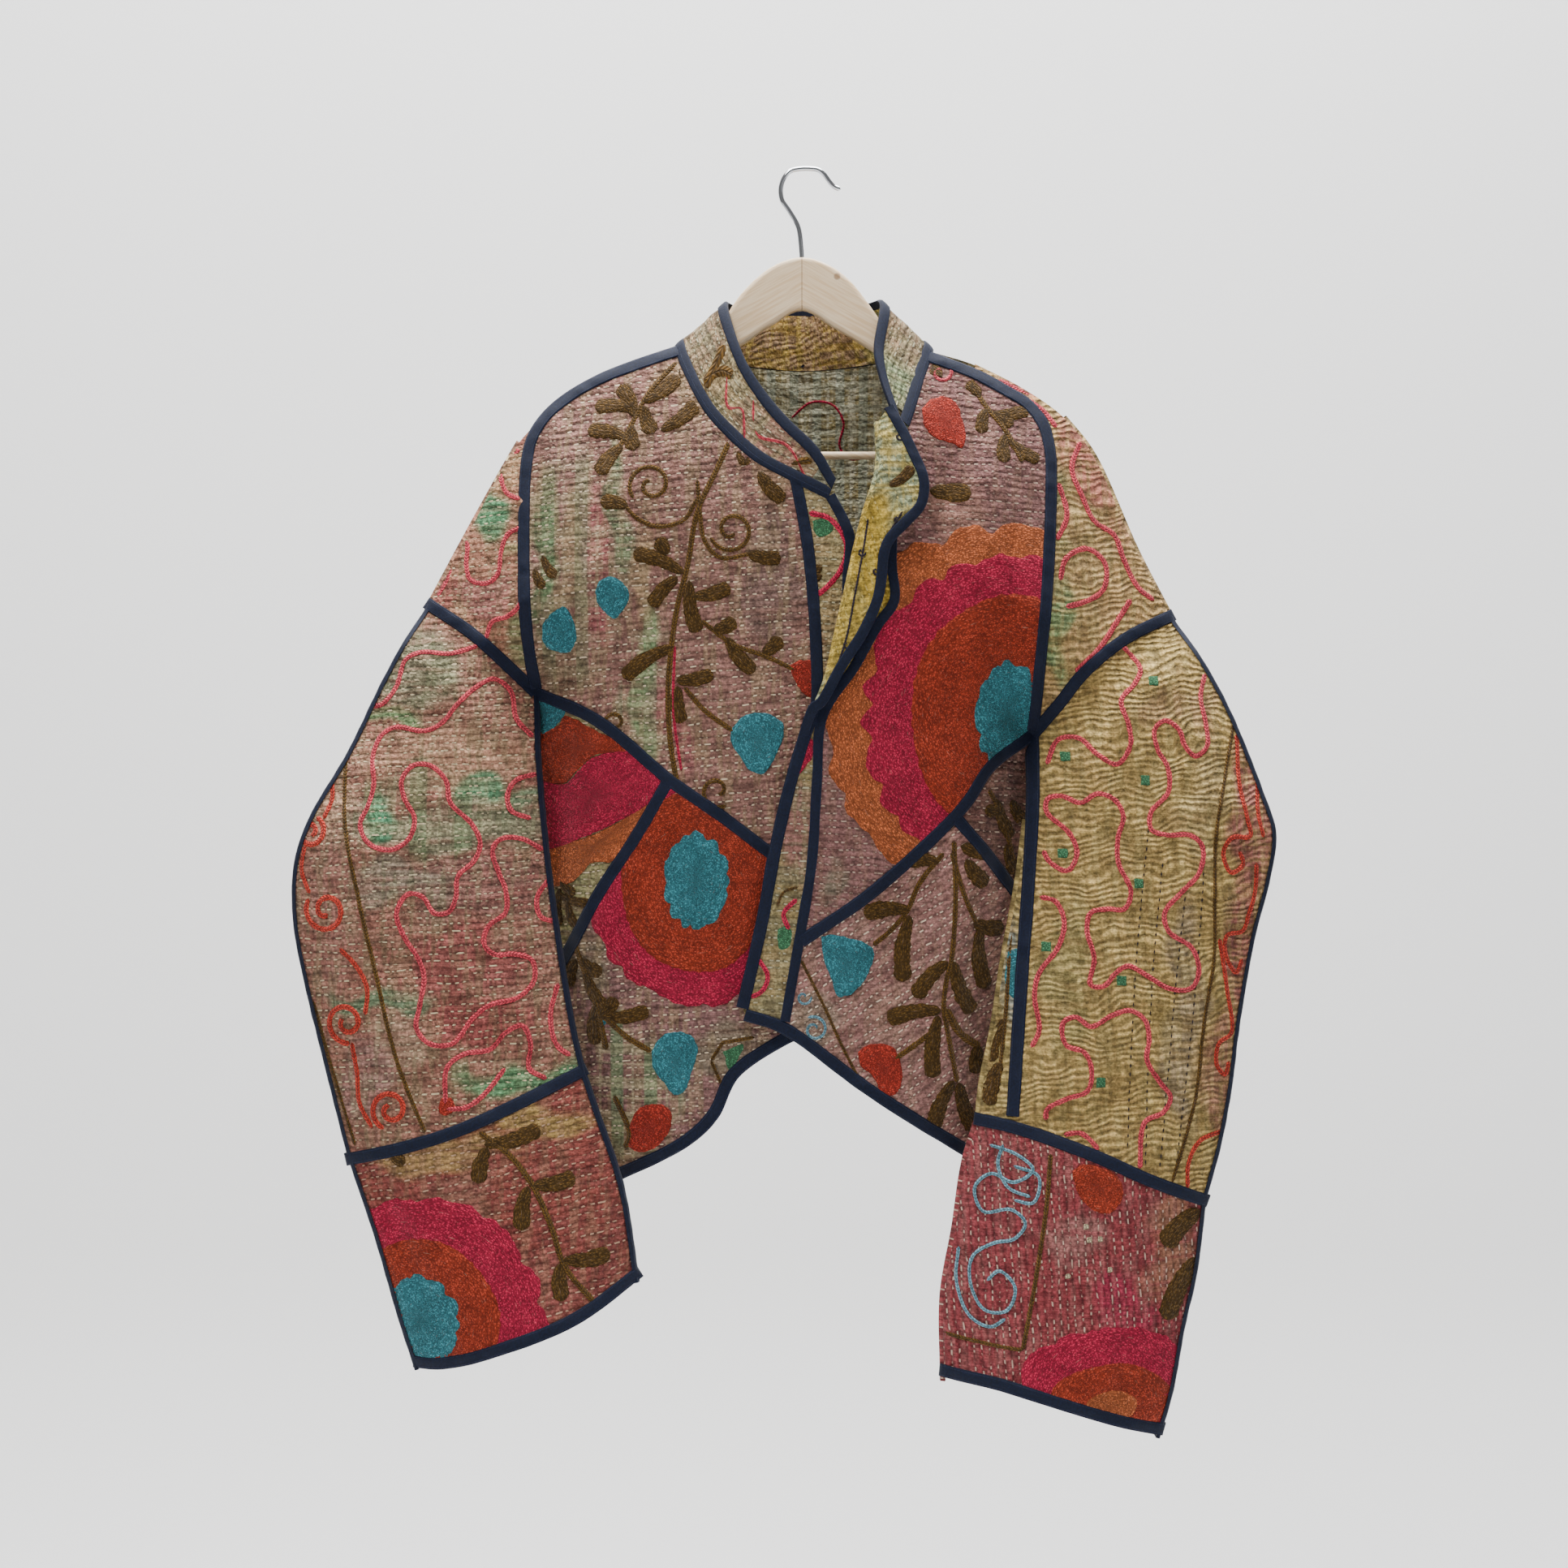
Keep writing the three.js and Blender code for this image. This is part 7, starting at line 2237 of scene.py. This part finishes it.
                rows.append(c.at(path[:, 0] + nn[:, 0] * k * half * taper / 18,
                        path[:, 1] + nn[:, 1] * k * half * taper / 30, S.cloth + lift))
            run = np.arange(len(path)) * 0.4
            uv = np.stack([beside(run, k * half) for k in side], 1)
            extra.grid(np.stack(rows, 1), uv, (*rgb(thread.value), 1.0))
        trim = extra.build("collar_embroidery", [self.look(THREAD)], 70)
        for name, start, end, flat, sink in (
            ("neck", np.zeros_like(h), np.minimum(S.tape_width, h * 0.5), True, 0.0),
            ("collar_top", np.maximum(h * 0.5 + 0.3, h - S.collar_tape), h + 0.6, False, -0.3),
        ):
            body = Body()
            profile = [((a + 1) / 2, S.tape * t) for a, t in PROFILE] + [(1.0, 0.1), (0.5, sink), (0.0, 0.1)]
            c.strip(body, start, end, profile, flat)
            self._tape(body, name)

class Hanger:
    """The wooden hanger with its bar and hook."""

    def __init__(self, jacket: Jacket) -> None:
        """Takes the jacket, which makes the hanger's materials."""
        self.jacket = jacket

    def build(self) -> None:
        """Makes the wood, the bar and the hook."""
        wood = self.jacket.look(WoodFinish("beech", 0.42))
        body = Body()
        edge = np.vstack([spaced(WOOD_TOP, 4.0), spaced(WOOD_LOW, 4.0)])
        n = normals(edge, True)
        inward = n if within(edge, *(edge[5:6] + n[5:6] * 2).T)[0] else -n
        rows = []
        half = S.wood / 2
        for y, inset in ((-half, 3.0), (-half + 0.25, 1.6), (-half + 0.9, 0.55), (-half + 2.0, 0.0),
                (half - 2.0, 0.0),
                         (half - 0.9, 0.55), (half - 0.25, 1.6), (half, 3.0)):
            p = edge + inward * inset
            rows.append(np.stack([p[:, 0], np.full(len(p), y), p[:, 1]], axis=-1))
        grid = np.stack(rows)
        body.grid(grid, grid[:, :, [0, 2]], (0, 0, 0, 0), around=True)
        for row, flip in ((rows[0], True), (rows[-1], False)):
            flat, faces = filled(row[:, [0, 2]], 9.0)
            pts = np.stack([flat[:, 0], np.full(len(flat), row[0, 1]), flat[:, 1]], axis=-1)
            body.add(pts, [f if flip else f[::-1] for f in faces], flat, (0, 0, 0, 0))
        stand_for(body.build("hanger", [wood], 40), "wood", "hanger_wood")
        for name, node, path, radius, look, slot in (
            ("hanger_rod", "hanger_bar", np.array(((BAR_FROM, BAR_Z), (BAR_TO, BAR_Z)), float), S.bar, wood, "wood"),
            ("hook", "hanger_hook", spaced(np.array(WIRE, float), 1.5), S.wire,
                self.jacket.look(SteelFinish("chrome", 0.12)), "steel"),
        ):
            body = Body()
            path = spaced(path, 12.0, False) if len(path) < 3 else path
            pn = normals(path)
            run = lengths(path)
            size = np.full(len(path), radius)
            if slot == "steel":
                size *= np.sqrt(np.clip(1 - (1 - np.clip((run[-1] - run) / radius, 0, 1)) ** 2, 0.05, 1))
            around = np.linspace(0, math.tau, 20, endpoint=False)
            rows = np.stack([np.stack([path[:, 0] + pn[:, 0] * size * math.cos(a), size * math.sin(a),
                                       path[:, 1] + pn[:, 1] * size * math.cos(a)], axis=-1) for a in around], 1)
            uv = np.stack([beside(run, a * radius) for a in around], 1)
            body.grid(rows, uv, (0, 0, 0, 0), around=True, caps=True)
            stand_for(body.build(name, [look], 40), slot, node)


@dataclass(frozen=True)
class StudioSizes:
    """The backdrop in millimetres, the camera in metres and its frame in pixels."""

    back: float = 1100.0
    floor: float = -1500.0
    bend: float = 500.0
    near: float = -5200.0
    top: float = 2600.0
    half_width: float = 4500.0
    world: float = 0.2
    distance: float = 2.3
    frame: int = 1932
    pixel: float = 0.625e-3
    origin: tuple[int, int] = (996, 211)
    sensor: float = 36.0

# Lamps: name, place, size, power, colour, what it points at
LAMPS = (
    ("key", (-0.7, -1.15, 1.35), 0.6, 27, (1.0, 0.98, 0.95), (0, 0, -0.5)),
    ("fill", (1.9, -2.0, -0.2), 1.6, 3, (0.95, 0.97, 1.0), (0, 0, -0.5)),
    ("top", (0.3, -0.2, 1.8), 1.0, 14, (1.0, 1.0, 1.0), (0, 0, -0.5)),
    ("wall", (0.0, 0.35, 2.3), 2.4, 300, (1.0, 1.0, 1.0), (0, 0.9, -0.2)),
)

class Studio:
    """A pale sweep, soft lamps and the camera."""

    def __init__(self) -> None:
        """Takes the sizes."""
        self.sizes = StudioSizes()

    def build(self) -> None:
        """Adds them to the scene."""
        self._backdrop()
        self._lamps()
        self._camera()

    def _backdrop(self) -> None:
        """Makes a floor that bends up into a wall."""
        s = self.sizes
        turns = np.linspace(0.1, math.pi / 2, 12)
        profile = [(s.near, s.floor), (s.back - s.bend, s.floor)]
        profile += [(s.back - s.bend + s.bend * math.sin(a), s.floor + s.bend * (1 - math.cos(a))) for a in turns]
        profile += [(s.back, s.top)]
        rows = np.array([[(x, y, z) for y, z in profile] for x in (-s.half_width, s.half_width)])
        body = Body()
        body.grid(rows, rows[:, :, [0, 2]], (0, 0, 0, 0), flip=True)
        mesh = bpy.data.meshes.new("backdrop")
        mesh.from_pydata((np.vstack(body.points) * MM).tolist(), [], body.faces)
        mesh.uv_layers.new(name="UVMap")
        mesh.materials.append(BackdropFinish("backdrop", 0.95).build())
        mesh.shade_smooth()
        sweep = bpy.data.objects.new("backdrop", mesh)
        bpy.context.scene.collection.objects.link(sweep)

    def _lamps(self) -> None:
        """Adds the lamps and the world's light."""
        for name, at, size, power, tint, target in LAMPS:
            data = bpy.data.lights.new(name, "AREA")
            data.size, data.energy, data.color = size, power, tint
            lamp = bpy.data.objects.new(name, data)
            lamp.location = at
            lamp.rotation_euler = (Vector(target) - Vector(at)).to_track_quat("-Z", "Y").to_euler()
            bpy.context.scene.collection.objects.link(lamp)
        world = bpy.data.worlds.new("studio")
        world.use_nodes = True
        light = world.node_tree.nodes["Background"].inputs
        light[0].default_value, light[1].default_value = (1, 1, 1, 1), self.sizes.world
        bpy.context.scene.world = world

    def _camera(self) -> None:
        """Adds the camera, which frames the jacket from the front."""
        s = self.sizes
        data = bpy.data.cameras.new("camera")
        data.sensor_width, data.sensor_height, data.sensor_fit = s.sensor, s.sensor, "HORIZONTAL"
        data.lens = s.sensor * s.distance / (s.frame * s.pixel)
        camera = bpy.data.objects.new("camera", data)
        middle = s.frame / 2
        camera.location = ((middle - s.origin[0]) * s.pixel, -s.distance, (s.origin[1] - middle) * s.pixel)
        camera.rotation_euler = (math.pi / 2, 0, 0)
        bpy.context.scene.collection.objects.link(camera)
        bpy.context.scene.camera = camera


def main() -> None:
    """Builds the jacket, the hanger and the studio."""
    logging.basicConfig(level=logging.INFO, format="%(message)s")
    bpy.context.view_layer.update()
    jacket = Jacket()
    Hanger(jacket).build()
    jacket.sheets()
    jacket.tapes()
    jacket.stand()
    Studio().build()


if __name__ == "__main__":
    main()
